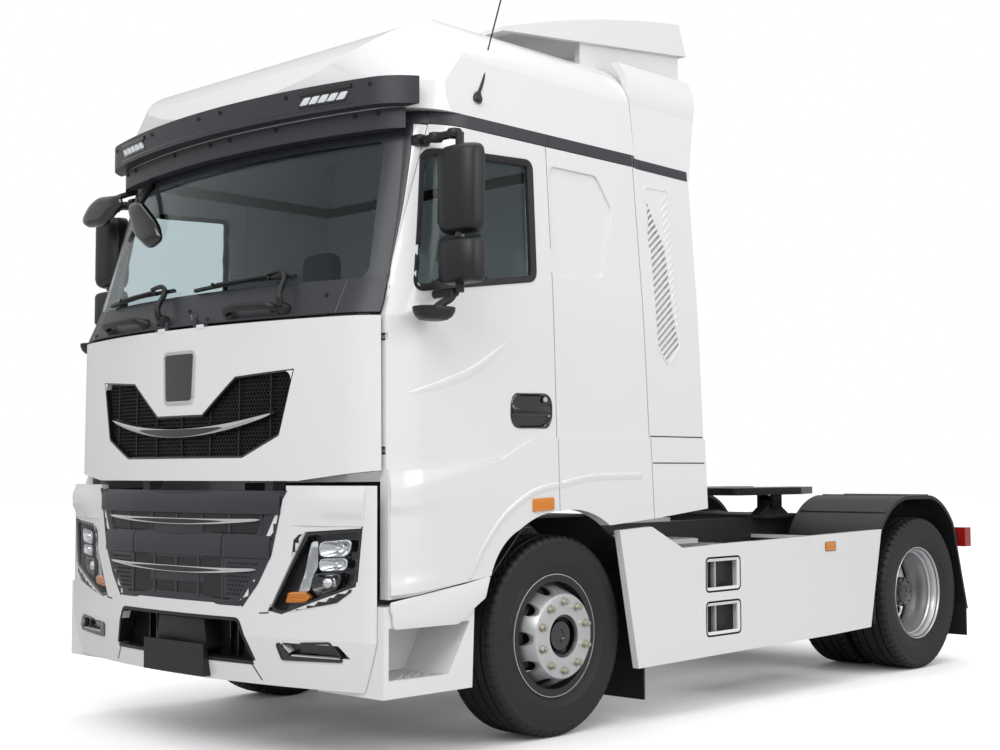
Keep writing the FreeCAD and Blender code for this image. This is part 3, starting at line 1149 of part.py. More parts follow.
def hand_holes(name, disc_x):
    """A ring of round hand holes through a wheel's disc."""
    count = int(S.hand_hole_count.value)
    body = doc.addObject("PartDesign::Body", name)
    sketch = body.newObject("Sketcher::SketchObject", name + "_outline")
    sketch.AttachmentSupport = [(plane_of(body, "YZ_Plane"), "")]
    sketch.MapMode = "FlatFace"
    bind(sketch, "AttachmentOffset.Base.z", disc_x[0])
    circle = Part.Circle(Vector(0, S.hand_hole_ring.value, 0), AXES["z"], S.hand_hole.value)
    sketch.addGeometry(circle, False)
    for kind, spot, size in (("Radius", (0,), S.hand_hole), ("DistanceX", (-1, 1, 0, 3), Size(0, "0")),
                             ("DistanceY", (-1, 1, 0, 3), S.hand_hole_ring)):
        number = sketch.addConstraint(Sketcher.Constraint(kind, *spot, size.value))
        sketch.setExpression(f"Constraints[{number}]", size.text)
    pad = body.newObject("PartDesign::Pad", name + "_pad")
    pad.Profile = sketch
    bind(pad, "Length", disc_x[1] - disc_x[0])
    ring = body.newObject("PartDesign::PolarPattern", name + "_ring")
    ring.Originals = [pad]
    ring.Axis = (sketch, ["N_Axis"])
    ring.Angle = S.full_turn.value
    ring.Occurrences = count
    body.Tip = ring
    sketch.Visibility = False
    return body


def front_wheels():
    """Front rims with their hubs, and front tyres."""
    centre = inboard(S.front_wheel_x)
    bore = S.spindle + S.pin_clearance
    barrel = wheel_body("front_barrel", barrel_profile(centre), 0)
    disc = wheel_body("front_disc", [
        (inboard(S.front_disc_x), bore), (inboard(S.front_disc_x), S.disc_knee),
        (inboard(S.front_disc_edge_x), S.rim_well + S.face_gap),
        (inboard(S.front_disc_edge_x) - S.disc_thick, S.rim_well + S.face_gap),
        (inboard(S.front_disc_x) - S.disc_thick, S.disc_knee),
        (inboard(S.front_disc_x) - S.disc_thick, bore)],
        0)
    holes = hand_holes("front_hand_holes", (inboard(S.front_disc_edge_x) - S.overrun * 2,
                                            inboard(S.front_disc_x) + S.overrun))
    hub = wheel_body("front_hub", [
        (inboard(S.front_hub_in_x), bore), (inboard(S.front_cap_x), bore),
        (inboard(S.front_cap_x), 0), (inboard(S.front_hub_out_x), 0),
        (inboard(S.front_hub_out_x), S.cap_radius),
        (inboard(S.front_disc_x), S.hub_radius), (inboard(S.front_hub_in_x), S.hub_radius)], 0)
    rim = fuse("front_rim_solid", barrel, cut("front_disc_holed", disc, holes), hub)
    bind(rim, "Placement.Base.z", S.tyre_radius)
    publish_pair(rim, "front_rim_left", "front_rim_right")
    tyre = wheel_body("front_tyre_solid", tyre_profile(centre), S.tyre_radius)
    publish_pair(tyre, "front_tyre_left", "front_tyre_right")


def rear_wheels():
    """Twin rear rims on one hub, with their discs back to back, and twin tyres."""
    outer, inner = inboard(S.rear_outer_x), inboard(S.rear_outer_x) - S.twin_pitch
    middle = (outer + inner) / 2
    pieces = [wheel_body("rear_barrel_outer", barrel_profile(outer), 0),
              wheel_body("rear_barrel_inner", barrel_profile(inner), 0)]
    bore = S.spindle_rear + S.pin_clearance
    disc = wheel_body("rear_disc", [
        (middle + S.disc_thick, bore), (middle + S.disc_thick, S.disc_knee),
        (outer - S.bead_wide / 2, S.rim_well + S.face_gap),
        (outer - S.bead_wide / 2 - S.flange_thick, S.rim_well + S.face_gap),
        (middle, S.disc_knee + S.disc_thick), (inner + S.bead_wide / 2 + S.flange_thick,
                                               S.rim_well + S.face_gap),
        (inner + S.bead_wide / 2, S.rim_well + S.face_gap),
        (middle - S.disc_thick, S.disc_knee), (middle - S.disc_thick, bore)], 0)
    holes = hand_holes("rear_hand_holes", (inner, outer))
    hub = wheel_body("rear_hub", [
        (inboard(S.rear_hub_in_x), bore), (inboard(S.rear_cap_x), bore), (inboard(S.rear_cap_x), 0),
        (inboard(S.rear_hub_out_x), 0), (inboard(S.rear_hub_out_x), S.cap_radius),
        (inboard(S.rear_cap_x), S.hub_radius),
        (inboard(S.rear_hub_in_x), S.hub_radius)], 0)
    rims = fuse("rear_rim_solid", *pieces, cut("rear_disc_holed", disc, holes), hub)
    bind(rims, "Placement.Base.z", S.tyre_radius)
    tyres = group("Part::Compound", "rear_tyre_pair", [
        wheel_body("rear_tyre_outer", tyre_profile(outer), S.tyre_radius),
        wheel_body("rear_tyre_inner", tyre_profile(inner), S.tyre_radius)])
    for thing, left, right in ((rims, "rear_rims_left", "rear_rims_right"),
                               (tyres, "rear_tyres_left", "rear_tyres_right")):
        publish_pair(thing, left, right)
        bind(thing, "Placement.Base.y", station + S.wheelbase)


def front_axle():
    """The dropped beam with an eye at each end, and the knuckles that turn in the eyes."""
    z = S.tyre_radius
    eye_low, eye_top = z - S.beam_eye_tall / 2, z + S.beam_eye_tall / 2
    beam = prism("beam_body", "xz", centred(0, S.beam_deep / 2), [
        (-inboard(S.beam_neck_x), eye_top), (-inboard(S.beam_neck_x), eye_low),
        (-inboard(S.beam_drop_x), S.beam_low_z), (inboard(S.beam_drop_x), S.beam_low_z),
        (inboard(S.beam_neck_x), eye_low), (inboard(S.beam_neck_x), eye_top),
        (inboard(S.beam_drop_x), S.beam_top_z),
        (-inboard(S.beam_drop_x), S.beam_top_z)])
    eye = cut("beam_eye", fuse("beam_eye_boss",
                               rod("beam_eye_round", "z", S.beam_eye, (eye_low, eye_top),
                                   (inboard(S.king_pin_x), 0)),
                               box("beam_eye_neck",
                                   (inboard(S.beam_neck_x) - S.overrun, inboard(S.king_pin_x)),
                                   centred(0, S.beam_eye), (eye_low, eye_top))),
              rod("beam_bore", "z", S.king_pin + S.pin_clearance * 2,
                  (eye_low - S.overrun, eye_top + S.overrun), (inboard(S.king_pin_x), 0)))
    publish(fuse("front_axle_solid", beam, eye, mirror("beam_eye_right", eye)), "front_axle")
    pin = rod("king_pin", "z", S.king_pin, centred(z, S.king_pin_tall / 2), (inboard(S.king_pin_x), 0))
    lugs = []
    for name, low in (("high", eye_top + S.lug_gap), ("low", eye_low - S.lug_gap - S.lug_tall)):
        lugs.append(box(f"knuckle_lug_{name}", (inboard(S.king_pin_x), inboard(S.knuckle_plate_x)),
                        centred(0, S.knuckle_half), (low, low + S.lug_tall)))
        lugs.append(rod(f"knuckle_lug_end_{name}", "z", S.knuckle_half, (low, low + S.lug_tall),
                        (inboard(S.king_pin_x), 0)))
    plate_x = (inboard(S.knuckle_plate_x), inboard(S.knuckle_plate_x) + S.knuckle_plate_thick)
    plate = box("knuckle_plate", plate_x, centred(0, S.knuckle_half),
                centred(z, S.king_pin_tall / 2))
    shield = rod("brake_shield", "x", S.shield_radius, plate_x, (0, z))
    spindle = rod("knuckle_spindle", "x", S.spindle,
                  (inboard(S.knuckle_plate_x), inboard(S.spindle_end_x)), (0, z))
    publish_pair(fuse("knuckle_solid", pin, plate, shield, spindle, *lugs), "knuckle_left",
                 "knuckle_right")


def suspension():
    """Front leaf springs in hangers, rear air bags on trailing arms."""
    top = S.beam_top_z
    half = S.spring_half_long
    leaf = prism("leaf_pack", "yz", centred(S.spring_x, S.spring_wide / 2), [
        (-half, S.spring_eye_z), (half, S.spring_eye_z, S.spring_arc),
        (half, S.spring_eye_z + S.spring_thick / 2),
        (-half, S.spring_eye_z + S.spring_thick / 2, -S.spring_arc_top)])
    pad = box("leaf_pad", centred(S.spring_x, S.spring_wide / 2), centred(0, S.beam_deep / 2),
              (top, top + S.spring_pad))
    hangers = []
    for name, y in (("front", -half), ("rear", half)):
        hangers.append(box(f"hanger_{name}", (S.rail_outer_x - S.rail_wide, S.rail_outer_x),
                           centred(y, S.spring_wide / 2), (S.spring_eye_z, S.rail_low_z)))
    front = fuse("leaf_spring", leaf, pad, *hangers)
    arm_z = S.tyre_radius + S.axle_tube
    arm_top = arm_z + S.arm_tall
    rear_y = S.wheelbase
    arm_x = centred(S.bag_x, S.arm_wide / 2)
    arm = box("trailing_arm", arm_x, (aft(S.arm_front_y), rear_y + S.bag_reach + S.bag_radius),
              (arm_z, arm_top))
    hanger = box("arm_hanger", (S.rail_outer_x - S.rail_wide, S.bag_x + S.arm_wide / 2),
                 (aft(S.arm_front_y), aft(S.arm_front_y) + S.arm_hanger_long), (arm_z, S.rail_low_z))
    bags = [rod(f"air_bag_{name}", "z", S.bag_radius, (arm_top, S.rail_low_z), (S.bag_x, y))
            for name, y in (("front", rear_y - S.bag_reach), ("rear", rear_y + S.bag_reach))]
    rear = fuse("rear_arm", arm, hanger, *bags)
    publish(group("Part::Compound", "suspension_parts", [
        front, mirror("leaf_spring_right", front), rear, mirror("rear_arm_right", rear)]),
        "suspension")


def rear_axle():
    """The axle tube with its final drive, the hubs' spindles and the propeller shaft."""
    z, y = S.tyre_radius, S.wheelbase
    tube = rod("axle_tube", "x", S.axle_tube,
               (-inboard(S.axle_tube_half), inboard(S.axle_tube_half)), (y, z))
    spindle = rod("rear_spindle", "x", S.spindle_rear,
                  (-inboard(S.spindle_rear_end_x), inboard(S.spindle_rear_end_x)), (y, z))
    drive = doc.addObject("Part::Sphere", "final_drive")
    bind(drive, "Radius", S.diff_radius)
    bind_place(drive, 0, y, z)
    nose = rod("pinion_nose", "y", S.pinion_radius, (y - S.pinion_long, y), (0, z))
    ends = []
    for name, at, height in (("front", S.gearbox_rear_y, S.shaft_front_z),
                             ("rear", y - S.pinion_long, z)):
        sketch = doc.addObject("Sketcher::SketchObject", f"shaft_{name}")
        sketch.Placement = Placement(Vector(), Rotation(AXES["x"], S.quarter_turn.value))
        bind(sketch, "Placement.Base.y", at)
        bind(sketch, "Placement.Base.z", height)
        sketch.addGeometry(Part.Circle(Vector(), AXES["z"], S.shaft_radius.value), False)
        number = sketch.addConstraint(Sketcher.Constraint("Radius", 0, S.shaft_radius.value))
        sketch.setExpression(f"Constraints[{number}]", S.shaft_radius.text)
        sketch.addConstraint(Sketcher.Constraint("Coincident", 0, 3, -1, 1))
        ends.append(sketch)
    shaft = doc.addObject("Part::Loft", "propeller_shaft")
    shaft.Sections = ends
    shaft.Solid = True
    publish(fuse("rear_axle_solid", tube, spindle, drive, nose, shaft), "rear_axle")


def fifth_wheel():
    """The coupling plate on its tilt pins, and the pedestals on their foot plate."""
    top = S.rail_low_z + S.rail_tall
    y, z = aft(S.coupling_y), S.coupling_pivot_z
    foot = box("coupling_foot", (-S.coupling_foot_half, S.coupling_foot_half),
               (aft(S.coupling_foot_front_y), aft(S.coupling_foot_rear_y)),
               (top, top + S.coupling_foot_thick))
    x = (S.pedestal_in_x, S.pedestal_in_x + S.pedestal_wide)
    stand = prism("pedestal", "yz", x, [
        (y - S.pedestal_half_low, top), (y + S.pedestal_half_low, top),
        (y + S.pedestal_half_top, z), (y - S.pedestal_half_top, z)])
    head = rod("pedestal_head", "x", S.pedestal_half_top, x, (y, z))
    bore = rod("pedestal_bore", "x", S.coupling_pin + S.pin_clearance,
               (x[0] - S.overrun, x[1] + S.overrun), (y, z))
    left = cut("pedestal_left", fuse("pedestal_parts", stand, head), bore)
    publish(fuse("coupling_base_solid", foot, left, mirror("pedestal_right", left)),
            "fifth_wheel_base")
    low = z + S.coupling_rise
    plan = [(-S.coupling_half, aft(S.coupling_front_y)), (S.coupling_half, aft(S.coupling_front_y)),
            (S.coupling_half, y + S.coupling_ramp_half), (S.coupling_mouth, aft(S.coupling_rear_y)),
            (S.coupling_mouth / 2, aft(S.coupling_rear_y)), (S.coupling_throat, y + S.coupling_throat),
            (-S.coupling_throat, y + S.coupling_throat, -S.coupling_throat_curve),
            (-S.coupling_mouth / 2, aft(S.coupling_rear_y)), (-S.coupling_mouth, aft(S.coupling_rear_y)),
            (-S.coupling_half, y + S.coupling_ramp_half)]
    plate = prism("coupling_plate", "xy", (low, low + S.coupling_thick), plan,
                  S.coupling_round, [0, 1])
    lugs = []
    for name, lug_x in (("in", (x[0] - S.coupling_lug_wide - S.panel_gap, x[0] - S.panel_gap)),
                        ("out", (x[1] + S.panel_gap, x[1] + S.panel_gap + S.coupling_lug_wide))):
        lugs.append(box(f"coupling_lug_{name}", lug_x, centred(y, S.pedestal_half_top),
                        (z - S.coupling_pin * 2, low)))
    pin = rod("coupling_pin", "x", S.coupling_pin,
              (x[0] - S.coupling_lug_wide - S.panel_gap,
               x[1] + S.panel_gap + S.coupling_lug_wide), (y, z))
    side = fuse("coupling_lugs", pin, *lugs)
    publish(fuse("coupling_solid", plate, side, mirror("coupling_lugs_right", side)),
            "fifth_wheel")


def rear_end():
    """Fenders over the twin tyres on their brackets, mud flaps and the tail lamps."""
    out = S.half_width - S.panel_gap
    t = S.fender_thick
    band = prism("fender_band", "yz", (S.fender_in_x, out), [
        (aft(S.fender_front_low_y), S.fender_front_low_z),
        (aft(S.fender_front_low_y) + t, S.fender_front_low_z),
        (aft(S.fender_front_high_y) + t, S.fender_front_high_z),
        (aft(S.fender_top_front_y), S.fender_top_z - t, -S.fender_bow),
        (aft(S.fender_top_rear_y), S.fender_top_z - t),
        (aft(S.fender_rear_y) - t / 2, S.fender_rear_z - t, -S.fender_bow),
        (aft(S.fender_tail_y) - t, S.fender_tail_z), (aft(S.fender_tail_y), S.fender_tail_z),
        (aft(S.fender_rear_y), S.fender_rear_z), (aft(S.fender_top_rear_y), S.fender_top_z, S.fender_bow),
        (aft(S.fender_top_front_y), S.fender_top_z),
        (aft(S.fender_front_high_y), S.fender_front_high_z, S.fender_bow)])
    rail_top = S.rail_low_z + S.rail_tall
    arm_y = centred(S.wheelbase, S.fender_arm_long / 2)
    bracket = fuse("fender_bracket",
                   box("fender_bracket_foot", (S.rail_outer_x - S.rail_wide, S.fender_in_x),
                       arm_y, (rail_top, rail_top + t)),
                   box("fender_bracket_post", (S.fender_in_x - t, S.fender_in_x), arm_y,
                       (rail_top, S.fender_top_z)))
    beside_skirt = box("fender_notch", (S.half_width - S.skirt_thick - S.panel_gap, far),
                       (aft(S.skirt_rear_low_y), aft(S.skirt_rear_top_y) + S.panel_gap),
                       (0, S.skirt_rear_top_z + S.panel_gap))
    publish(both_sides("fender_pair", cut("fender", fuse("fender_parts", band, bracket),
                                          beside_skirt)), "rear_fenders")
    flap = box("rear_mud_flap", (S.flap_in_x, out),
               (aft(S.fender_tail_y) - t - S.flap_thick, aft(S.fender_tail_y) - t),
               (S.flap_low_z_rear, S.flap_top_z_rear))
    publish(both_sides("mud_flap_pair", cut("mud_flap", flap, band)), "mud_flaps")
    tail = aft(S.rail_rear_y) + S.tail_beam_deep
    lamp = box("tail_lamp", (out - S.lamp_wide, out), (tail, S.wheelbase + S.rear_overhang),
               (S.lamp_low_z, S.lamp_low_z + S.lamp_tall))
    publish(both_sides("tail_lamp_pair", lamp), "tail_lamps")


def front_arches():
    """A dark liner over each front tyre, hung from the frame, with the guard behind the tyre."""
    t = S.liner_thick
    liner = prism("arch_liner", "yz", (inboard(S.liner_in_x), inboard(S.liner_out_x)), [
        (S.liner_rear_y, S.liner_rear_low_z), (S.liner_rear_y, S.liner_rear_high_z),
        (S.liner_shoulder, S.liner_top_z), (-S.liner_shoulder, S.liner_top_z),
        (S.liner_front_y, S.liner_front_low_z), (S.liner_front_y + t, S.liner_front_low_z),
        (-S.liner_shoulder, S.liner_top_z - t), (S.liner_shoulder, S.liner_top_z - t),
        (S.liner_rear_y - t, S.liner_rear_high_z - t), (S.liner_rear_y - t, S.liner_rear_low_z)])
    guard = box("arch_guard", (inboard(S.guard_in_x), inboard(S.liner_out_x)),
                (S.liner_rear_y, S.liner_rear_y + t),
                (S.guard_low_z, S.liner_rear_low_z + S.overrun))
    arm = box("arch_arm", (S.rail_outer_x, inboard(S.liner_in_x) + t),
              (S.liner_rear_y, S.liner_rear_y + S.liner_arm_tall),
              (S.rail_low_z + t, S.rail_low_z + t + S.liner_arm_tall))
    side = fuse("front_arch", liner, guard, arm)
    publish(both_sides("front_arch_pair", side), "front_arch_liners")


def fairings():
    """The side fairings behind the cab with their louvres, and the roof wing on its legs."""
    edge = S.fairing_gap
    inner = S.half_width - S.fairing_thick
    region = prism("fairing_region", "yz", (inboard(S.fairing_top_x), far), [
        (S.side_rear_low_y + edge, S.fairing_front_low_z), (S.fairing_rear_low_y, S.fairing_low_z),
        (S.fairing_rear_top_y, S.fairing_shoulder_z),
        (S.side_rear_top_y + edge, S.fairing_shoulder_z)])
    sheet = common("fairing_sheet", cut("fairing_skin", skin_far,
                                        skin_long("fairing_in", S.fairing_thick)), region)
    lower = fuse("fairing_low", sheet, sill("fairing_sill", region))
    slot_area = prism("louvre_area", "yz", (inboard(S.fairing_top_x), far), [
        (S.louvre_tip_y, S.louvre_tip_z), (S.louvre_low_rear_y, S.louvre_low_z),
        (S.louvre_mid_y, S.louvre_mid_z), (S.louvre_rear_y, S.louvre_rear_z),
        (S.louvre_front_top_y, S.louvre_top_z),
        (S.louvre_front_low_y, S.louvre_low_z)])
    slots = []
    for number in range(int(S.louvre_count.value)):
        z = S.louvre_tip_z + S.louvre_pitch * (number - 1)
        slots.append(prism(f"louvre_slot{number}", "yz", (inboard(S.fairing_top_x), far), [
            (S.louvre_front_top_y - S.overrun, z - S.louvre_slant),
            (S.louvre_low_rear_y + S.overrun, z + S.louvre_slant),
            (S.louvre_low_rear_y + S.overrun, z + S.louvre_slant + S.louvre_pitch / 2),
            (S.louvre_front_top_y - S.overrun, z - S.louvre_slant + S.louvre_pitch / 2)]))
    openings = common("louvres", slot_area, group("Part::Compound", "louvre_slots", slots))
    top_x = inboard(S.fairing_top_x)
    upper = cut("fairing_high",
                prism("fairing_high_body", "xz", (S.roof_rear_y + edge, S.fairing_top_rear_y), [
                    (inboard(S.eaves_width) - S.fairing_thick, S.fairing_shoulder_z),
                    (inboard(S.eaves_width), S.fairing_shoulder_z),
                    (inboard(S.roof_side_x), S.roof_side_z),
                    (top_x, S.fairing_top_z, S.roof_side_round),
                    (top_x - S.fairing_thick, S.fairing_top_z),
                    (inboard(S.roof_side_x) - S.fairing_thick, S.roof_side_z, -S.roof_side_round)]),
                prism("fairing_high_trim", "yz", (0, far), [
                    (S.fairing_rear_top_y, S.fairing_shoulder_z - S.overrun),
                    (S.fairing_top_rear_y + S.overrun, S.fairing_shoulder_z - S.overrun),
                    (S.fairing_top_rear_y + S.overrun, S.fairing_top_z),
                    (S.fairing_top_rear_y, S.fairing_top_z)]))
    ties = [box(f"fairing_tie_{name}", (inboard(S.eaves_width) - S.wall * 3, inner),
                (S.cab_rear_y, S.side_rear_low_y + S.fairing_tie), (z, z + S.fairing_tie))
            for name, z in (("low", S.fairing_tie_low_z), ("high", S.fairing_tie_high_z))]
    side = fuse("side_fairing", cut("fairing_louvred", lower, openings), upper,
                cut("fairing_ties", fuse("fairing_tie_pair", *ties),
                    doc.getObject("cab_side_region")))
    publish(both_sides("side_fairing_pair", side), "side_fairings")

    def blade(name, half, drop):
        """The wing's outline from the side, lowered by its skin's thickness for the hollow."""
        return prism(name, "yz", (-half, half), [
            (S.wing_front_y, S.wing_front_z - drop), (S.wing_rear_y, S.wing_rear_z - drop),
            (S.wing_top_y, S.wing_top_z - drop),
            (S.wing_front_y, S.wing_front_z + S.wing_nose - drop, S.wing_crown)])

    hollow = blade("wing_hollow", inboard(S.wing_half) - S.wing_wall, S.wing_wall)
    leg = prism("wing_leg", "yz", (inboard(S.wing_half) - S.wing_leg_in - S.wing_leg_thick,
                                   inboard(S.wing_half) - S.wing_leg_in), [
        (S.wing_leg_front_y, S.wing_leg_low_z), (S.wing_leg_rear_y, S.wing_leg_low_z),
        (S.wing_leg_rear_y, S.wing_rear_z + S.wing_wall),
        (S.wing_leg_front_y, S.wing_front_z + S.wing_wall * 3)])
    wing = cut("wing_skin", blade("wing_blade", inboard(S.wing_half), 0), hollow)
    wing_solid = cut("wing_solid", fuse("wing_parts", wing, leg, mirror("wing_leg_right", leg)),
                     doc.getObject("roof_form"))
    publish(wing_solid, "roof_wing")


def interior():
    """Dashboard, steering wheel, two seats and the bunk, as they show through the glass."""
    dash = prism("dash_body", "yz", (-inboard(S.dash_half), inboard(S.dash_half)), [
        (S.dash_front_y, S.dash_low_z), (S.dash_rear_y + S.seat_lean, S.dash_low_z),
        (S.dash_rear_y, S.dash_nose_z), (S.dash_rear_y - S.seat_lean, S.dash_top_z),
        (S.dash_front_y, S.dash_top_z)])
    publish(common("dash_solid", dash, room), "dashboard")
    lean = S.steering_lean.value
    ring = doc.addObject("Part::Torus", "steering_ring")
    bind(ring, "Radius1", S.steering_radius)
    bind(ring, "Radius2", S.steering_grip)
    boss = rod("steering_boss", "z", S.steering_boss, centred(0, S.steering_boss_deep / 2), (0, 0))
    spokes = [box("steering_spokes", (-S.steering_radius, S.steering_radius),
                  centred(0, S.spoke), centred(0, S.spoke / 2))]
    column = rod("steering_column", "z", S.column_radius, (-S.column_long, 0), (0, 0))
    steering = fuse("steering_parts", ring, boss, column, *spokes)
    steering.Placement = Placement(Vector(), Rotation(AXES["x"], lean))
    bind_place(steering, S.wheel_x, S.wheel_y, S.wheel_z)
    publish(cut("steering_solid", steering, dash), "steering_wheel")
    floor = S.floor_low_z + S.floor_thick
    x = centred(S.seat_x, S.seat_wide / 2)
    cushion = prism("seat_cushion", "yz", x, [
        (S.seat_front_y, S.seat_low_z), (S.seat_rear_y, S.seat_low_z),
        (S.seat_rear_y + S.seat_lean, S.seat_back_top_z),
        (S.seat_rear_y + S.seat_lean - S.seat_back_thick, S.seat_back_top_z),
        (S.seat_rear_y - S.seat_back_thick, S.seat_low_z + S.seat_thick),
        (S.seat_front_y, S.seat_low_z + S.seat_thick)], S.seat_round, [0, 2, 3, 5])
    base = box("seat_base", centred(S.seat_x, S.seat_base_half),
               centred((S.seat_front_y + S.seat_rear_y) / 2, S.seat_base_half),
               (floor, S.seat_low_z))
    publish(both_sides("seat_pair", fuse("seat", cushion, base)), "seats")
    bunk = prism("bunk_body", "yz", (-inboard(S.bunk_half), inboard(S.bunk_half)), [
        (S.bunk_front_y, floor), (S.cab_rear_y - S.rear_wall_thick, floor),
        (S.cab_rear_y - S.rear_wall_thick, S.bunk_low_z + S.bunk_thick),
        (S.bunk_front_y, S.bunk_low_z + S.bunk_thick)])
    publish(bunk, "bunk")


def small_parts():
    """The wipers on their pivots and the leaning aerial."""
    band = cut("wiper_band", cab_form("wiper_outer", -S.wiper_lift - S.wiper_rod * 2),
               cab_form("wiper_inner", -S.wiper_lift))
    stand = cut("wiper_stand_band", cab_form("wiper_stand_outer", -S.wiper_stand), skin)
    ahead = (S.bumper_front_y - S.overrun, S.wiper_rear_y)
    wipers = []
    for name, sign in (("left", 1), ("right", -1)):
        x = S.wiper_pivot_x * sign
        boss = common(f"wiper_boss_{name}", stand, rod(f"wiper_pivot_{name}", "y", S.wiper_boss,
                                                       ahead, (x, S.wiper_pivot_z)))
        arm = common(f"wiper_arm_{name}", band, prism(f"wiper_strip_{name}", "xz", ahead, [
            (x, S.wiper_pivot_z - S.wiper_rod), (x, S.wiper_pivot_z + S.wiper_rod),
            (x - S.wiper_reach, S.wiper_pivot_z + S.wiper_rise + S.wiper_rod),
            (x - S.wiper_reach, S.wiper_pivot_z + S.wiper_rise - S.wiper_rod)]))
        wipers.append(fuse(f"wiper_{name}", boss, arm))
    publish(group("Part::Compound", "wiper_pair", wipers), "wipers")
    rod_top = S.antenna_tip_z
    foot = rod("antenna_foot", "z", S.antenna_foot, (S.antenna_z - S.antenna_foot_long, S.antenna_z),
               (inboard(S.antenna_x), S.antenna_y))
    points = []
    for name, z, shift in (("low", S.antenna_z - S.antenna_foot, 0), ("top", rod_top, S.antenna_lean)):
        sketch = doc.addObject("Sketcher::SketchObject", f"antenna_{name}")
        bind_place(sketch, inboard(S.antenna_x), S.antenna_y + shift, z)
        sketch.addGeometry(Part.Circle(Vector(), AXES["z"], S.antenna_rod.value), False)
        number = sketch.addConstraint(Sketcher.Constraint("Radius", 0, S.antenna_rod.value))
        sketch.setExpression(f"Constraints[{number}]", S.antenna_rod.text)
        sketch.addConstraint(Sketcher.Constraint("Coincident", 0, 3, -1, 1))
        points.append(sketch)
    whip = doc.addObject("Part::Loft", "antenna_whip")
    whip.Sections = points
    whip.Solid = True
    publish(cut("antenna_solid", fuse("antenna_parts", foot, whip), doc.getObject("roof_form")),
            "antenna")


for make in (doors, mirrors, cab_side, cab_floor, rear_wall, roof, visor, windscreen, front_flap,
             bumper, entry_steps, skirts, chassis, walkway, power_unit, tanks, front_wheels,
             rear_wheels, front_axle, suspension, rear_axle, fifth_wheel, rear_end, front_arches,
             fairings, interior, small_parts):
    make()
doc.recompute()

failed = [f"{item.Name}: {item.State}" for item in doc.Objects
          if {"Invalid", "Error"} & set(item.State)]
for item in published:
    shape = item.Shape
    if shape.isNull() or not shape.isValid() or not shape.Solids:
        failed.append(f"{item.Label}: no valid solid")
if failed:
    raise RuntimeError("; ".join(failed))

os.makedirs("parts", exist_ok=True)
for item in published:
    item.Shape.exportStep(f"parts/{item.Label}.step")
print(f"{len(published)} sub-parts written")
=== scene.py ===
import math

import bmesh
import bpy
from mathutils import Matrix, Vector
from mathutils.bvhtree import BVHTree


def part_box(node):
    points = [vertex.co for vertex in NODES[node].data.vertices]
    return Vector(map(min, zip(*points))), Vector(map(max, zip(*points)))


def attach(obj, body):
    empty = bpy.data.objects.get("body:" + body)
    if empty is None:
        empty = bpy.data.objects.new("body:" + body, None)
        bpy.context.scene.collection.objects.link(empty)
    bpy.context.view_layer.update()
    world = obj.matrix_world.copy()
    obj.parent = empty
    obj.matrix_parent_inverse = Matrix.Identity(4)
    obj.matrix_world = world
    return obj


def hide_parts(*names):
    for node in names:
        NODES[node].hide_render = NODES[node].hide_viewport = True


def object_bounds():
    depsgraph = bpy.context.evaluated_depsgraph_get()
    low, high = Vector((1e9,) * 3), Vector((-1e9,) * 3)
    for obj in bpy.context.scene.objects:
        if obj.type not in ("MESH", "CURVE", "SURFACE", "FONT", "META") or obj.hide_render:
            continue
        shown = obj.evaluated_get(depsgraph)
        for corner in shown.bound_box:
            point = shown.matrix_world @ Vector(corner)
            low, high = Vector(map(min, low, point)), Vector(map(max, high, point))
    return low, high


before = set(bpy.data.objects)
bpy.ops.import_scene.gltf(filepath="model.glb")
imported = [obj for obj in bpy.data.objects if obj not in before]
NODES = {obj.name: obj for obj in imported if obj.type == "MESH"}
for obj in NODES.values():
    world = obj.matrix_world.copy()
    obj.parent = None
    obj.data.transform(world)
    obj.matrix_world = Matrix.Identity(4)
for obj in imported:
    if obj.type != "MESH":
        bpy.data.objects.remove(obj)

CAD_LOW, CAD_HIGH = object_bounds()
STATION = -1.410          # the front axle's place along Y; places along Y below count from it
SHARP = math.radians(36)  # a steeper edge than this stays crisp
scene = bpy.context.scene


# Camera and light

CAMERA_PLACE = Vector((6.059, -7.009, 1.295))
CAMERA_TURN = 43.334
CAMERA_PITCH = 3.677
CAMERA_ROLL = -0.174
CAMERA_LENS = 54.09
SENSOR_WIDTH = 36.0
CLIP = (0.1, 200)
WORLD_LEVEL = 0.58
FLOOR_SIZE = 60
FLOOR_COLOR = (0.60, 0.60, 0.61)
FLOOR_ROUGHNESS, FLOOR_SHINE = 0.6, 0.1
FLOOR_GLOW = 0.80
SHADE_REACH = 1.6
LIGHTS = {                # place, target, size, power
    "key": ((4.5, -9.0, 8.0), (0, -0.5, 1.2), (7, 5), 430),
    "side": ((9.5, 1.0, 5.5), (0, 0, 1.5), (6, 5), 240),
    "top": ((0, 0, 9.5), (0, 0, 0), (8, 9), 300),
}


def make_camera():
    data = bpy.data.cameras.new("camera")
    data.lens = CAMERA_LENS
    data.sensor_width = SENSOR_WIDTH
    camera = bpy.data.objects.new("camera", data)
    scene.collection.objects.link(camera)
    turn, pitch, roll = (math.radians(v) for v in (CAMERA_TURN, CAMERA_PITCH, CAMERA_ROLL))
    forward = Vector((-math.sin(turn) * math.cos(pitch), math.cos(turn) * math.cos(pitch),
                      math.sin(pitch)))
    level = Vector((math.cos(turn), math.sin(turn), 0))
    upright = level.cross(forward)
    right = level * math.cos(roll) + upright * math.sin(roll)
    up = upright * math.cos(roll) - level * math.sin(roll)
    turned = Matrix((right, up, -forward)).transposed()
    camera.matrix_world = Matrix.Translation(CAMERA_PLACE) @ turned.to_4x4()
    data.clip_start, data.clip_end = CLIP
    scene.camera = camera


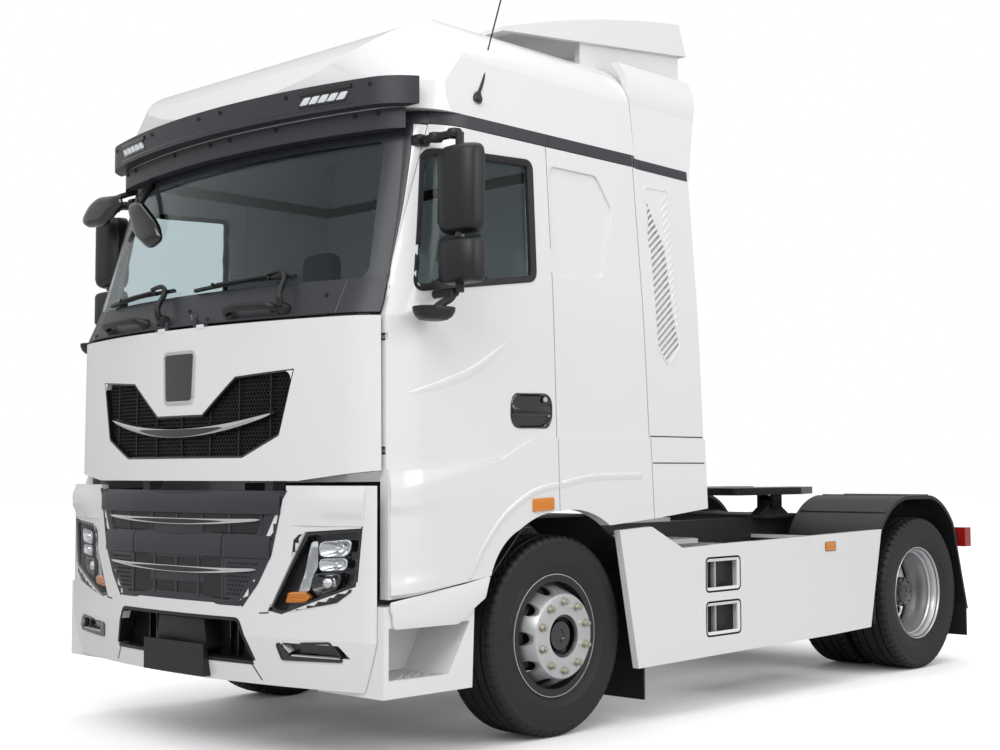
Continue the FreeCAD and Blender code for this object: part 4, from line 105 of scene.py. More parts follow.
def area_light(name, place, target, size, power):
    data = bpy.data.lights.new(name, "AREA")
    data.shape = "RECTANGLE"
    data.size, data.size_y = size
    data.energy = power
    light = bpy.data.objects.new(name, data)
    light.location = place
    light.rotation_euler = (Vector(target) - Vector(place)).to_track_quat("-Z", "Y").to_euler()
    scene.collection.objects.link(light)


def make_light():
    """Soft lamps, and a world that is white to look at but lights the object gently."""
    world = bpy.data.worlds.new("studio")
    scene.world = world
    world.use_nodes = True
    nodes, links = world.node_tree.nodes, world.node_tree.links
    background = nodes["Background"]
    background.inputs["Color"].default_value = (1, 1, 1, 1)
    path = nodes.new("ShaderNodeLightPath")
    seen = nodes.new("ShaderNodeMath")
    seen.operation = "MAXIMUM"
    links.new(path.outputs["Is Camera Ray"], seen.inputs[0])
    links.new(path.outputs["Is Transmission Ray"], seen.inputs[1])
    level = nodes.new("ShaderNodeMapRange")
    level.inputs["To Min"].default_value = WORLD_LEVEL
    level.inputs["To Max"].default_value = 1.0
    links.new(seen.outputs[0], level.inputs["Value"])
    links.new(level.outputs["Result"], background.inputs["Strength"])
    for name, setting in LIGHTS.items():
        area_light(name, *setting)


def make_floor():
    mesh = bpy.data.meshes.new("floor")
    size = FLOOR_SIZE
    mesh.from_pydata([(-size, -size, 0), (size, -size, 0), (size, size, 0), (-size, size, 0)], [],
                     [(0, 1, 2, 3)])
    floor = bpy.data.objects.new("floor", mesh)
    scene.collection.objects.link(floor)
    finish = bpy.data.materials.new("floor_white")
    finish.use_nodes = True
    nodes, links = finish.node_tree.nodes, finish.node_tree.links
    shader = nodes["Principled BSDF"]
    shader.inputs["Base Color"].default_value = (*FLOOR_COLOR, 1)
    shader.inputs["Roughness"].default_value = FLOOR_ROUGHNESS
    shader.inputs["Specular IOR Level"].default_value = FLOOR_SHINE
    glow = nodes.new("ShaderNodeEmission")
    path = nodes.new("ShaderNodeLightPath")
    share = nodes.new("ShaderNodeMath")
    share.operation = "MULTIPLY"
    share.inputs[1].default_value = FLOOR_GLOW
    # The floor's camera-only glow fades by ambient occlusion under and near the truck: a painted
    # shadow.
    painted_shadow = nodes.new("ShaderNodeAmbientOcclusion")
    painted_shadow.inputs["Distance"].default_value = SHADE_REACH
    seen = nodes.new("ShaderNodeMath")
    seen.operation = "MULTIPLY"
    links.new(path.outputs["Is Camera Ray"], seen.inputs[0])
    links.new(painted_shadow.outputs["AO"], seen.inputs[1])
    links.new(seen.outputs[0], share.inputs[0])
    links.new(share.outputs[0], glow.inputs["Strength"])
    both = nodes.new("ShaderNodeAddShader")
    links.new(shader.outputs[0], both.inputs[0])
    links.new(glow.outputs[0], both.inputs[1])
    links.new(both.outputs[0], nodes["Material Output"].inputs["Surface"])
    mesh.materials.append(finish)


# Materials

COAT_ROUGHNESS = 0.04
FINE_DETAIL, BROAD_DETAIL, BROAD_SCALE = 4, 5, 1.7
BUMP_DEPTH = 0.002
LEAST_ROUGHNESS = 0.02


def material(name, color, rough=0.5, metallic=0.0, coat=0.0, bump=0.0, scale=40.0, shade=0.0,
             stretch=(1, 1, 1), rough_spread=0.0, **more):
    """A shader with its colour, roughness and bump varied by noise in object space."""
    made = bpy.data.materials.new(name)
    made.use_nodes = True
    nodes, links = made.node_tree.nodes, made.node_tree.links
    shader = nodes["Principled BSDF"]
    shader.inputs["Base Color"].default_value = (*color, 1)
    shader.inputs["Roughness"].default_value = rough
    shader.inputs["Metallic"].default_value = metallic
    shader.inputs["Coat Weight"].default_value = coat
    shader.inputs["Coat Roughness"].default_value = COAT_ROUGHNESS
    for key, value in more.items():
        shader.inputs[key.replace("_", " ")].default_value = value
    where = nodes.new("ShaderNodeTexCoord")
    fit = nodes.new("ShaderNodeMapping")
    fit.inputs["Scale"].default_value = stretch
    links.new(where.outputs["Object"], fit.inputs["Vector"])
    fine = nodes.new("ShaderNodeTexNoise")
    fine.inputs["Scale"].default_value = scale
    fine.inputs["Detail"].default_value = FINE_DETAIL
    links.new(fit.outputs["Vector"], fine.inputs["Vector"])
    if bump:
        relief = nodes.new("ShaderNodeBump")
        relief.inputs["Strength"].default_value = bump
        relief.inputs["Distance"].default_value = BUMP_DEPTH
        links.new(fine.outputs["Fac"], relief.inputs["Height"])
        links.new(relief.outputs["Normal"], shader.inputs["Normal"])
    broad = nodes.new("ShaderNodeTexNoise")
    broad.inputs["Scale"].default_value = BROAD_SCALE
    broad.inputs["Detail"].default_value = BROAD_DETAIL
    links.new(where.outputs["Object"], broad.inputs["Vector"])
    tint = nodes.new("ShaderNodeMix")
    tint.data_type = "RGBA"
    tint.inputs["A"].default_value = (*color, 1)
    tint.inputs["B"].default_value = (*[value * (1 - shade) for value in color], 1)
    links.new(broad.outputs["Fac"], tint.inputs["Factor"])
    links.new(tint.outputs["Result"], shader.inputs["Base Color"])
    spread = nodes.new("ShaderNodeMapRange")
    spread.inputs["To Min"].default_value = max(rough - rough_spread, LEAST_ROUGHNESS)
    spread.inputs["To Max"].default_value = rough + rough_spread
    links.new(fine.outputs["Fac"], spread.inputs["Value"])
    links.new(spread.outputs["Result"], shader.inputs["Roughness"])
    return made


M = {
    "paint": material("white_paint", (0.84, 0.845, 0.85), 0.30, coat=0.9, bump=0.004, scale=30,
                      shade=0.02, rough_spread=0.015),
    "visor": material("visor_grey", (0.036, 0.039, 0.046), 0.38, bump=0.15, scale=420, shade=0.2,
                      rough_spread=0.08),
    "black": material("black_plastic", (0.012, 0.0125, 0.0135), 0.42, bump=0.25, scale=500,
                      shade=0.25, rough_spread=0.1),
    "gloss": material("black_gloss", (0.006, 0.006, 0.007), 0.12, coat=0.8, bump=0.02, scale=90,
                      shade=0.2, rough_spread=0.04),
    "frame": material("chassis_black", (0.020, 0.020, 0.022), 0.42, bump=0.2, scale=120,
                      shade=0.3, rough_spread=0.12),
    "steel": material("wheel_steel", (0.66, 0.67, 0.68), 0.36, metallic=0.75, bump=0.04, scale=160,
                      shade=0.06, rough_spread=0.06),
    "zinc": material("zinc", (0.62, 0.60, 0.50), 0.30, metallic=0.9, bump=0.1, scale=300,
                     shade=0.3, rough_spread=0.1),
    "chrome": material("chrome", (0.78, 0.78, 0.79), 0.07, metallic=1.0, bump=0.01, scale=60,
                       shade=0.04, rough_spread=0.03),
    "mirror": material("mirror_glass", (0.82, 0.84, 0.85), 0.03, metallic=1.0, shade=0.05),
    "reflector": material("reflector", (0.75, 0.76, 0.78), 0.12, metallic=1.0, bump=0.6, scale=45,
                          stretch=(1, 1, 0.2), shade=0.2, rough_spread=0.06),
    "tyre": material("tyre", (0.014, 0.014, 0.015), 0.55, bump=0.2, scale=260, shade=0.3,
                     rough_spread=0.12),
    "plate": material("tread_plate", (0.66, 0.67, 0.68), 0.36, metallic=0.7, bump=0.3, scale=90,
                      shade=0.15, rough_spread=0.1),
    "tank": material("tank_grey", (0.52, 0.53, 0.54), 0.40, metallic=0.2, bump=0.15, scale=90,
                     shade=0.2, rough_spread=0.1),
    "coupling": material("coupling_steel", (0.018, 0.017, 0.016), 0.3, metallic=0.4, bump=0.5,
                         scale=40, shade=0.5, rough_spread=0.15),
    "rubber": material("rubber", (0.016, 0.016, 0.017), 0.62, bump=0.2, scale=200, shade=0.3,
                       rough_spread=0.1),
    "fabric": material("seat_fabric", (0.07, 0.075, 0.085), 0.85, bump=0.6, scale=700, shade=0.3,
                       rough_spread=0.1),
    "trim": material("cab_trim", (0.36, 0.37, 0.38), 0.6, bump=0.3, scale=400, shade=0.15,
                     rough_spread=0.1),
    "glass": material("glass", (0.66, 0.74, 0.76), 0.02, Transmission_Weight=1.0, IOR=1.25),
    "lamp": material("lamp_glass", (0.95, 0.96, 0.97), 0.03, Transmission_Weight=1.0, IOR=1.15),
    "led": material("led_white", (0.85, 0.88, 0.92), 0.2, coat=0.5, bump=0.4, scale=180,
                    shade=0.25, rough_spread=0.1),
    "red": material("lamp_red", (0.42, 0.012, 0.01), 0.12, coat=0.8, bump=0.3, scale=150,
                    shade=0.2),
    "amber": material("lamp_amber", (0.80, 0.25, 0.01), 0.15, coat=0.8, bump=0.3, scale=150,
                      shade=0.2),
}

FINISHES = {
    "paint": ("front_bumper", "entry_steps", "side_skirts", "cab_rear_wall", "cab_sides", "roof",
              "roof_wing", "side_fairings", "door_left", "door_right", "front_flap"),
    "visor": ("sun_visor", "windscreen_frame", "cowl_panel", "lower_grille", "cant_rail"),
    "black": ("number_plate", "rear_fenders", "front_arch_liners", "antenna", "wipers",
              "mirror_left", "mirror_right", "upper_grille", "steering_wheel"),
    "frame": ("chassis_frame", "engine", "fifth_wheel_base", "front_axle", "rear_axle",
              "suspension", "knuckle_left", "knuckle_right", "front_rim_left",
              "front_rim_right"),
    "steel": ("rear_rims_left", "rear_rims_right"),
    "tyre": ("front_tyre_left", "front_tyre_right", "rear_tyres_left", "rear_tyres_right"),
    "plate": ("walkway",),
    "tank": ("fuel_tanks",),
    "coupling": ("fifth_wheel",),
    "rubber": ("mud_flaps",),
    "fabric": ("seats", "bunk"),
    "trim": ("dashboard", "cab_floor"),
    "glass": ("windscreen", "door_glass_left", "door_glass_right"),
    "lamp": ("headlamps", "fog_lamps"),
    "red": ("tail_lamps",),
}


def finish_nodes():
    """Give every CAD node its material."""
    for key, names in FINISHES.items():
        for name in names:
            thing = NODES[name]
            thing.data.materials.clear()
            thing.data.materials.append(M[key])


# Shapes

PLACES = {"x": (1, 2, 0), "y": (0, 2, 1), "z": (0, 1, 2)}    # two flat places and the depth's
SKIN_SIDES = {"x": -1, "y": 1, "z": -1}              # the way in: from the left, front or above
FAR, NEAR = 6, 1.25
TIP = 0.05                # how thin a tapered strip ends
FOOT_LIFT = 0.004


def at(y):
    """A place along Y counted from the front axle."""
    return STATION + y


def shifted(points):
    """Side outlines count Y from the front axle; this moves them into the frame."""
    return [(at(a), b) for a, b in points]


def rectangle(a, b):
    """A flat outline between two bounds along each of its directions."""
    return [(a[0], b[0]), (a[1], b[0]), (a[1], b[1]), (a[0], b[1])]


def scaled(outline, share, middle=None):
    """A flat outline drawn in or out round its middle."""
    if middle is None:
        middle = [sum(values) / len(outline) for values in zip(*outline)]
    return [tuple(m + (value - m) * share for m, value in zip(middle, point)) for point in outline]


def trapezoid(foot, sunk, crest, proud):
    """A strip's section: half width and depth of its foot, half width and height of its crest."""
    return [(-foot, -sunk), (foot, -sunk), (crest, proud), (-crest, proud)]


def spot_on(axis, a, b, depth):
    """The point at a and b across an axis, and depth along it."""
    spot = [0.0, 0.0, 0.0]
    for place, value in zip(PLACES[axis], (a, b, depth)):
        spot[place] = value
    return Vector(spot)


def stitch(shape, rows, ring=True, loop=False):
    """Join neighbouring rows of corners by faces."""
    rounds = len(rows) if loop else len(rows) - 1
    for number in range(rounds):
        one, two = rows[number], rows[(number + 1) % len(rows)]
        last = len(one) if ring else len(one) - 1
        for corner in range(last):
            nxt = (corner + 1) % len(one)
            shape.faces.new((one[corner], one[nxt], two[nxt], two[corner]))


def settle(shape):
    """Weld what meets and turn every face outwards."""
    bmesh.ops.remove_doubles(shape, verts=shape.verts, dist=1e-6)
    bmesh.ops.recalc_face_normals(shape, faces=shape.faces)
    return shape


def loft(sections, caps=True):
    """A solid through closed sections with the same number of corners."""
    shape = bmesh.new()
    rows = [[shape.verts.new(spot) for spot in section] for section in sections]
    stitch(shape, rows)
    if caps:
        shape.faces.new(rows[0])
        shape.faces.new(rows[-1])
    return settle(shape)


def prism(points, axis, span):
    """A solid with one outline across an axis, stretched along it."""
    return loft([[spot_on(axis, a, b, depth) for a, b in points] for depth in span])


def block(low, high):
    corners = rectangle((low[0], high[0]), (low[1], high[1]))
    return prism(corners, "z", (low[2], high[2]))


def turned(profile, steps=32, closed=True):
    """A solid of revolution round Z from a profile of radius and height."""
    shape = bmesh.new()
    rows = []
    for number in range(steps):
        turn = math.tau * number / steps
        rows.append([shape.verts.new((radius * math.cos(turn), radius * math.sin(turn), height))
                     for radius, height in profile])
    stitch(shape, rows, ring=closed, loop=True)
    return settle(shape)


def facing(place, direction):
    """A turn and shift that takes Z to a direction and the origin to a place."""
    turn = Vector(direction).to_track_quat("Z", "Y").to_matrix().to_4x4()
    return Matrix.Translation(Vector(place)) @ turn


def on_axle(x, y, z, side=1):
    """A turn and shift that takes Z to an axle's outward direction."""
    return facing((x, y, z), (side, 0, 0))


def smooth_path(points, steps=8, closed=False):
    """Points along a smooth curve that passes through the given ones."""
    spots = [Vector(point) for point in points]
    count = len(spots)
    rounds = count if closed else count - 1
    path = []
    for number in range(rounds):
        if closed:
            four = [spots[(number + shift) % count] for shift in (-1, 0, 1, 2)]
        else:
            four = [spots[min(max(number + shift, 0), count - 1)] for shift in (-1, 0, 1, 2)]
        for step in range(steps):
            share = step / steps
            one, two, three, last = four
            path.append(0.5 * (2 * two + (three - one) * share
                               + (2 * one - 5 * two + 4 * three - last) * share ** 2
                               + (3 * two - one - 3 * three + last) * share ** 3))
    if not closed:
        path.append(spots[-1])
    return path


def rounded(points, radius, steps=5):
    """A flat outline with each corner drawn as an arc-like curve."""
    flat = [Vector(point) for point in points]
    made = []
    for number, corner in enumerate(flat):
        before, after = flat[number - 1], flat[(number + 1) % len(flat)]
        reach = min(radius, (before - corner).length / 2, (after - corner).length / 2)
        start = corner + (before - corner).normalized() * reach
        end = corner + (after - corner).normalized() * reach
        for step in range(steps + 1):
            share = step / steps
            made.append(start * (1 - share) ** 2 + corner * 2 * share * (1 - share)
                        + end * share ** 2)
    return [(spot[0], spot[1]) for spot in made]


def spaced(points, pitch, closed=False):
    """The same flat or solid path with corners no farther apart than a pitch."""
    spots = [Vector(point) for point in points]
    pairs = list(zip(spots, spots[1:] + spots[:1])) if closed else list(zip(spots, spots[1:]))
    made = []
    for start, end in pairs:
        count = max(1, math.ceil((end - start).length / pitch))
        made += [start.lerp(end, step / count) for step in range(count)]
    if not closed:
        made.append(spots[-1])
    return made


def oval(half_wide, half_tall, steps=10):
    return [(half_wide * math.cos(math.tau * n / steps), half_tall * math.sin(math.tau * n / steps))
            for n in range(steps)]


def sweep(path, out, section, closed=False, taper=False):
    """A small section drawn along a path; out is the way that the section stands up."""
    shape = bmesh.new()
    rows = []
    count = len(path)
    for number, spot in enumerate(path):
        before = path[(number - 1) % count] if closed or number else spot
        after = path[(number + 1) % count] if closed or number + 1 < count else spot
        along = (after - before).normalized()
        up = Vector(out[number]) if isinstance(out, list) else Vector(out)
        across = up.cross(along).normalized()
        share = math.sin(math.pi * number / (count - 1)) ** 0.5 if taper else 1
        share = max(share, TIP)
        rows.append([shape.verts.new(spot + across * a * share + up * b * share)
                     for a, b in section])
    stitch(shape, rows, loop=closed)
    if not closed:
        shape.faces.new(rows[0])
        shape.faces.new(rows[-1])
    return settle(shape)


def tube(path, radius, sides=10, closed=False):
    """A round bar along a path, with no twist."""
    spots = [Vector(point) for point in path]
    count = len(spots)
    shape = bmesh.new()
    rows = []
    normal = None
    for number, spot in enumerate(spots):
        before = spots[(number - 1) % count] if closed or number else spot
        after = spots[(number + 1) % count] if closed or number + 1 < count else spot
        along = (after - before).normalized()
        if normal is None:
            normal = along.orthogonal().normalized()
        normal = (normal - along * normal.dot(along)).normalized()
        side = along.cross(normal)
        size = radius[number] if isinstance(radius, list) else radius
        rows.append([shape.verts.new(spot + (normal * math.cos(math.tau * n / sides)
                                             + side * math.sin(math.tau * n / sides)) * size)
                     for n in range(sides)])
    stitch(shape, rows, loop=closed)
    if not closed:
        shape.faces.new(rows[0])
        shape.faces.new(rows[-1])
    return settle(shape)


class Skin:
    """The outer faces of some CAD nodes, met by straight lines."""

    def __init__(self, *names):
        corners, faces = [], []
        for name in names:
            thing, start = NODES[name], len(corners)
            corners += [thing.matrix_world @ corner.co for corner in thing.data.vertices]
            faces += [[start + index for index in face.vertices] for face in thing.data.polygons]
        self.tree = BVHTree.FromPolygons(corners, faces)

    def under(self, axis, a, b):
        """Where the skin lies under a flat point, from the front, the left side or above."""
        way = SKIN_SIDES[axis]
        start = spot_on(axis, a, b, -way * FAR)
        direction = spot_on(axis, 0, 0, way)
        place, normal, _, _ = self.tree.ray_cast(start, direction)
        if place is None:
            near = self.tree.find_nearest(spot_on(axis, a, b, -way * NEAR))[0]
            place = spot_on(axis, a, b, near[PLACES[axis][2]])
            normal = -direction
        if normal.dot(direction) > 0:
            normal = -normal
        return place, normal

    def drape(self, points, axis, lift=0.0, pitch=0.03, closed=False):
        """A flat path laid on the skin, with the ways it faces."""
        path, ways = [], []
        for a, b in spaced(points, pitch, closed):
            place, normal = self.under(axis, a, b)
            path.append(place + normal * lift)
            ways.append(normal)
        return path, ways


def patch(outline, axis, skin, lift, thick, pitch=0.04):
    """A thin sheet that follows the skin inside a flat outline; its lift may vary over it."""
    rise = lift if callable(lift) else lambda a, b: lift
    flat = bmesh.new()
    flat.faces.new([flat.verts.new(spot_on(axis, a, b, 0)) for a, b in outline])
    for place in PLACES[axis][:2]:
        values = [corner.co[place] for corner in flat.verts]
        low, high = min(values), max(values)
        count = int((high - low) / pitch)
        way = Vector([1.0 if index == place else 0.0 for index in range(3)])
        for number in range(1, count + 1):
            level = low + (high - low) * number / (count + 1)
            bmesh.ops.bisect_plane(flat, geom=flat.verts[:] + flat.edges[:] + flat.faces[:],
                                   plane_co=way * level, plane_no=way)
    shape = bmesh.new()
    top, foot = {}, {}
    for corner in flat.verts:
        a, b = (corner.co[place] for place in PLACES[axis][:2])
        place, normal = skin.under(axis, a, b)
        height = rise(a, b)
        top[corner] = shape.verts.new(place + normal * height)
        foot[corner] = shape.verts.new(place + normal * (min(height, FOOT_LIFT) - thick))
    for face in flat.faces:
        shape.faces.new([top[corner] for corner in face.verts])
        shape.faces.new([foot[corner] for corner in reversed(face.verts)])
    for edge in flat.edges:
        if edge.is_boundary:
            one, two = edge.verts
            shape.faces.new((top[one], foot[one], foot[two], top[two]))
    flat.free()
    bmesh.ops.recalc_face_normals(shape, faces=shape.faces)
    return shape


class Face:
    """A smooth front face that is the same at every height."""

    def __init__(self, depth):
        self.depth = depth

    def under(self, axis, a, b):
        return Vector((a, self.depth(a), b)), Vector((0, -1, 0))


def ramp(value, start, end):
    """A smooth rise from 0 at the start to 1 at the end."""
    share = min(max((value - start) / (end - start), 0), 1)
    return share * share * (3 - 2 * share)


class Piece:
    """One visible piece, gathered from shapes that each have a material."""

    def __init__(self):
        self.mesh = bmesh.new()
        self.keys = []

    def add(self, shape, key, ease=0.0, place=None, steps=2):
        """Take in a shape, with its sharp edges eased."""
        if ease:
            edges = [edge for edge in shape.edges
                     if edge.is_manifold and edge.calc_face_angle(0) > SHARP]
            bmesh.ops.bevel(shape, geom=edges, offset=ease, segments=steps, profile=0.5,
                            affect="EDGES", clamp_overlap=True)
        if place is not None:
            shape.transform(place)
        if key not in self.keys:
            self.keys.append(key)
        for face in shape.faces:
            face.material_index = self.keys.index(key)
            face.smooth = True
        carrier = bpy.data.meshes.new("shape")
        shape.to_mesh(carrier)
        shape.free()
        self.mesh.from_mesh(carrier)
        bpy.data.meshes.remove(carrier)
        return self

    def both_sides(self):
        """Add the mirror image across the middle plane."""
        carrier = bpy.data.meshes.new("half")
        self.mesh.to_mesh(carrier)
        other = bmesh.new()
        other.from_mesh(carrier)
        other.transform(Matrix.Scale(-1, 4, (1, 0, 0)))
        bmesh.ops.reverse_faces(other, faces=other.faces)
        other.to_mesh(carrier)
        other.free()
        self.mesh.from_mesh(carrier)
        bpy.data.meshes.remove(carrier)
        return self

    def out(self, name, body, stands_for=(), flip=False, slot=None):
        """Make the object, give it its materials and let it ride on its body."""
        data = bpy.data.meshes.new(name)
        self.mesh.to_mesh(data)
        if flip:
            data.transform(Matrix.Scale(-1, 4, (1, 0, 0)))
            data.flip_normals()
        for key in self.keys:
            data.materials.append(M[key])
        data.set_sharp_from_angle(angle=SHARP)
        thing = bpy.data.objects.new(name, data)
        scene.collection.objects.link(thing)
        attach(thing, body)
        if stands_for:
            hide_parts(*stands_for)
        return thing

    def pair(self, name, body, stands_for=()):
        """The left piece and its mirror image, each on its own side's body."""
        made = []
        for side, flip in (("left", False), ("right", True)):
            nodes = [f"{node}_{side}" for node in stands_for]
            made.append(self.out(f"{name}_{side}", body.format(side), nodes, flip))
        return made


def button(place, normal, radius, height, sides=16):
    """A low screw head with a dished face, standing on a surface."""
    profile = [(0, height * 0.45), (radius * 0.5, height * 0.45), (radius * 0.62, height),
               (radius * 0.85, height), (radius, height * 0.6), (radius, -height), (0, -height)]
    shape = turned(profile, sides)
    shape.transform(facing(place, normal))
    return shape


def screws(piece, skin, axis, spots, radius=0.011, height=0.006, key="black"):
    for a, b in spots:
        place, normal = skin.under(axis, a, b)
        piece.add(button(place, normal, radius, height), key)


# Wheels

TYRE_RADIUS = 0.4918
WHEEL_Z = 0.492
AXLE_Y = {"front": at(0), "rear": at(3.530)}
PITCHES = 60
GROOVES = (0.036, 0.092)
NUTS = 10
NUT_RING = 0.1675
HOLES = 10
HOLE_RING = 0.2325
TYRE_MIDDLES = {"front": (1.015,), "rear": (1.095, 0.750)}
WHEEL_BODIES = {"front": "front_wheel_{}", "rear": "rear_wheels_{}"}
TYRE_NODES = {"front": "front_tyre", "rear": "rear_tyres"}
LUGS = {"front": (0.0045, 0.70), "rear": (0.007, 0.60)}       # depth, share of a pitch
DISC_X = {"front": (1.2005, 1.070, 1.178), "rear": (0.9365, 0.984, 1.126)}    # nuts, rim, cap
INNER_DISC_X = (0.922, 0.861)
DISC_STEPS, HUB_STEPS = 120, 64


def tyre_half(lug_deep):
    """Half of the tyre's section from its middle to the bead: place, radius, notch depth."""
    top = TYRE_RADIUS
    half = [(0, top, 0)]
    for groove in GROOVES:
        half += [(groove - 0.0065, top, 0), (groove - 0.004, top - 0.012, 0),
                 (groove + 0.004, top - 0.012, 0), (groove + 0.0065, top, 0)]
    half += [(0.104, top - 0.0005, lug_deep), (0.128, top - 0.003, lug_deep),
             (0.139, top - 0.009, lug_deep), (0.146, top - 0.020, lug_deep),
             (0.1484, 0.4600, 0), (0.1498, 0.4545, 0), (0.1482, 0.4500, 0), (0.1490, 0.4360, 0),
             (0.1497, 0.4080, 0), (0.1480, 0.3800, 0), (0.1445, 0.3600, 0), (0.1452, 0.3560, 0),
             (0.1420, 0.3500, 0), (0.1350, 0.3280, 0), (0.1285, 0.3120, 0), (0.1290, 0.3090, 0),
             (0.1250, 0.3030, 0), (0.1185, 0.2995, 0), (0.1180, 0.2840, 0)]
    return half


def tyre(lug_deep, lug_share):
    """A tyre round Z: grooves run round the tread and notches cross its shoulders."""
    half = tyre_half(lug_deep)
    profile = [(-x, radius, notch) for x, radius, notch in reversed(half[1:])] + half
    shape = bmesh.new()
    rows = []
    for number in range(PITCHES):
        for share, cut in ((0.0, 0), (lug_share, 0), (lug_share + 0.05, 1), (0.95, 1)):
            turn = math.tau * (number + share) / PITCHES
            row = []
            for x, radius, notch in profile:
                depth = radius - notch * cut
                skew = turn + (x * 0.25 if notch else 0)
                row.append(shape.verts.new((depth * math.cos(skew), depth * math.sin(skew), x)))
            rows.append(row)
    stitch(shape, rows, loop=True)
    return settle(shape)


def tyres():
    for axle, middles in TYRE_MIDDLES.items():
        piece = Piece()
        for middle in middles:
            piece.add(tyre(*LUGS[axle]), "tyre", place=on_axle(middle, AXLE_Y[axle], WHEEL_Z))
        piece.pair(f"{axle}_tread", WHEEL_BODIES[axle], [TYRE_NODES[axle]])


def carved(shape, cutters):
    """A shape with others cut out of it."""
    things = []
    for bm, name in ((shape, "carved"), (cutters, "cutters")):
        data = bpy.data.meshes.new(name)
        bm.to_mesh(data)
        bm.free()
        thing = bpy.data.objects.new(name, data)
        scene.collection.objects.link(thing)
        things.append(thing)
    cutting = things[0].modifiers.new("cut", "BOOLEAN")
    cutting.operation = "DIFFERENCE"
    cutting.solver = "EXACT"
    cutting.object = things[1]
    graph = bpy.context.evaluated_depsgraph_get()
    made = bmesh.new()
    made.from_mesh(things[0].evaluated_get(graph).to_mesh())
    for thing in things:
        data = thing.data
        bpy.data.objects.remove(thing)
        bpy.data.meshes.remove(data)
    return made


def merged(shapes):
    """Several shapes as one."""
    whole = bmesh.new()
    for shape in shapes:
        carrier = bpy.data.meshes.new("part")
        shape.to_mesh(carrier)
        shape.free()
        whole.from_mesh(carrier)
        bpy.data.meshes.remove(carrier)
    return whole


def hand_holes(depth):
    """Cutters for the ring of oval holes."""
    cutters = []
    for number in range(HOLES):
        shape = loft([[Vector((HOLE_RING + a, b, along)) for a, b in oval(0.0215, 0.034, 28)]
                      for along in (depth - 0.15, depth + 0.15)])
        shape.transform(Matrix.Rotation(math.tau * number / HOLES, 4, "Z"))
        cutters.append(shape)
    return merged(cutters)


def wheel_disc(face_x, rim_x, thick=0.012):
    """The dished wheel disc with its oval hand holes; places are along the axle."""
    profile = [(0.105, face_x), (0.196, face_x), (0.206, face_x - 0.003),
               (0.214, face_x + (rim_x - face_x) * 0.25), (0.250, face_x + (rim_x - face_x) * 0.85),
               (0.2625, rim_x), (0.2625, rim_x - thick),
               (0.248, face_x + (rim_x - face_x) * 0.85 - thick),
               (0.210, face_x + (rim_x - face_x) * 0.25 - thick), (0.194, face_x - thick),
               (0.105, face_x - thick)]
    return carved(turned(profile, DISC_STEPS), hand_holes(face_x))


def rim_barrel(middle):
    """The rim's band with rolled flanges and the steps of its well."""
    half = [(0.2560, 0.0), (0.2560, 0.030), (0.2600, 0.040), (0.2610, 0.066), (0.2690, 0.074),
            (0.2720, 0.098), (0.2770, 0.106), (0.2880, 0.1160), (0.2925, 0.1265),
            (0.2960, 0.1285), (0.2992, 0.1262), (0.2990, 0.1215), (0.2900, 0.1180),
            (0.2827, 0.1140), (0.2827, 0.060), (0.2700, 0.045), (0.2700, 0.0)]
    profile = half + [(radius, -x) for radius, x in reversed(half)][1:-1]
    return turned([(radius, middle + x) for radius, x in profile], DISC_STEPS)


def nut(face_x, turn):
    """A wheel nut on its washer, with the stud's end."""
    spot = Vector((NUT_RING * math.cos(turn), NUT_RING * math.sin(turn), face_x))
    lift = Matrix.Translation(spot)
    hexagon = [(0.0185 * math.cos(math.tau * n / 6), 0.0185 * math.sin(math.tau * n / 6))
               for n in range(6)]
    body = loft([[Vector((a, b, 0.003)) for a, b in hexagon],
                 [Vector((a, b, 0.020)) for a, b in hexagon],
                 [Vector((a * 0.8, b * 0.8, 0.023)) for a, b in hexagon]])
    washer = turned([(0, 0), (0.022, 0), (0.0225, 0.003), (0, 0.004)], 20)
    stud = turned([(0, 0.02), (0.0105, 0.02), (0.0105, 0.031), (0.0085, 0.033), (0, 0.033)], 14)
    return [shape for shape in (body, washer, stud) if not shape.transform(lift)]


def hub(face_x, cap_x):
    """The hub in the disc's bore: a flange with bolts, a drum and its cap."""
    drum = turned([(0, face_x - 0.02), (0.138, face_x - 0.02), (0.138, face_x + 0.001),
                   (0.118, face_x + 0.004), (0.110, face_x + 0.012), (0.0965, face_x + 0.016),
                   (0.0965, cap_x - 0.018), (0.0900, cap_x - 0.010), (0.0740, cap_x - 0.008),
                   (0.0720, cap_x - 0.002), (0.0660, cap_x), (0.030, cap_x), (0.026, cap_x - 0.004),
                   (0, cap_x - 0.004)], HUB_STEPS)
    bolts = []
    for number in range(8):
        turn = math.tau * number / 8
        bolts.append(button((0.084 * math.cos(turn), 0.084 * math.sin(turn), cap_x - 0.009),
                            (0, 0, 1), 0.0075, 0.007, 6))
    return merged([drum] + bolts)


def front_disc():
    """The front disc bulges out past the tyre, from the rim's flange to the nuts."""
    profile = [(0.105, 1.2005), (0.196, 1.2005), (0.205, 1.1975), (0.213, 1.184), (0.236, 1.130),
               (0.2475, 1.099), (0.2560, 1.082), (0.2625, 1.0745), (0.2670, 1.083), (0.2705, 1.100),
               (0.2800, 1.1095), (0.2885, 1.121), (0.2930, 1.138), (0.2965, 1.1455),
               (0.2998, 1.1450), (0.3010, 1.140), (0.2990, 1.130), (0.2860, 1.106), (0.2750, 1.094),
               (0.2700, 1.070), (0.2620, 1.062), (0.2500, 1.072), (0.2420, 1.090), (0.228, 1.126),
               (0.206, 1.176), (0.194, 1.187), (0.105, 1.187)]
    return carved(turned(profile, DISC_STEPS), hand_holes(1.130))


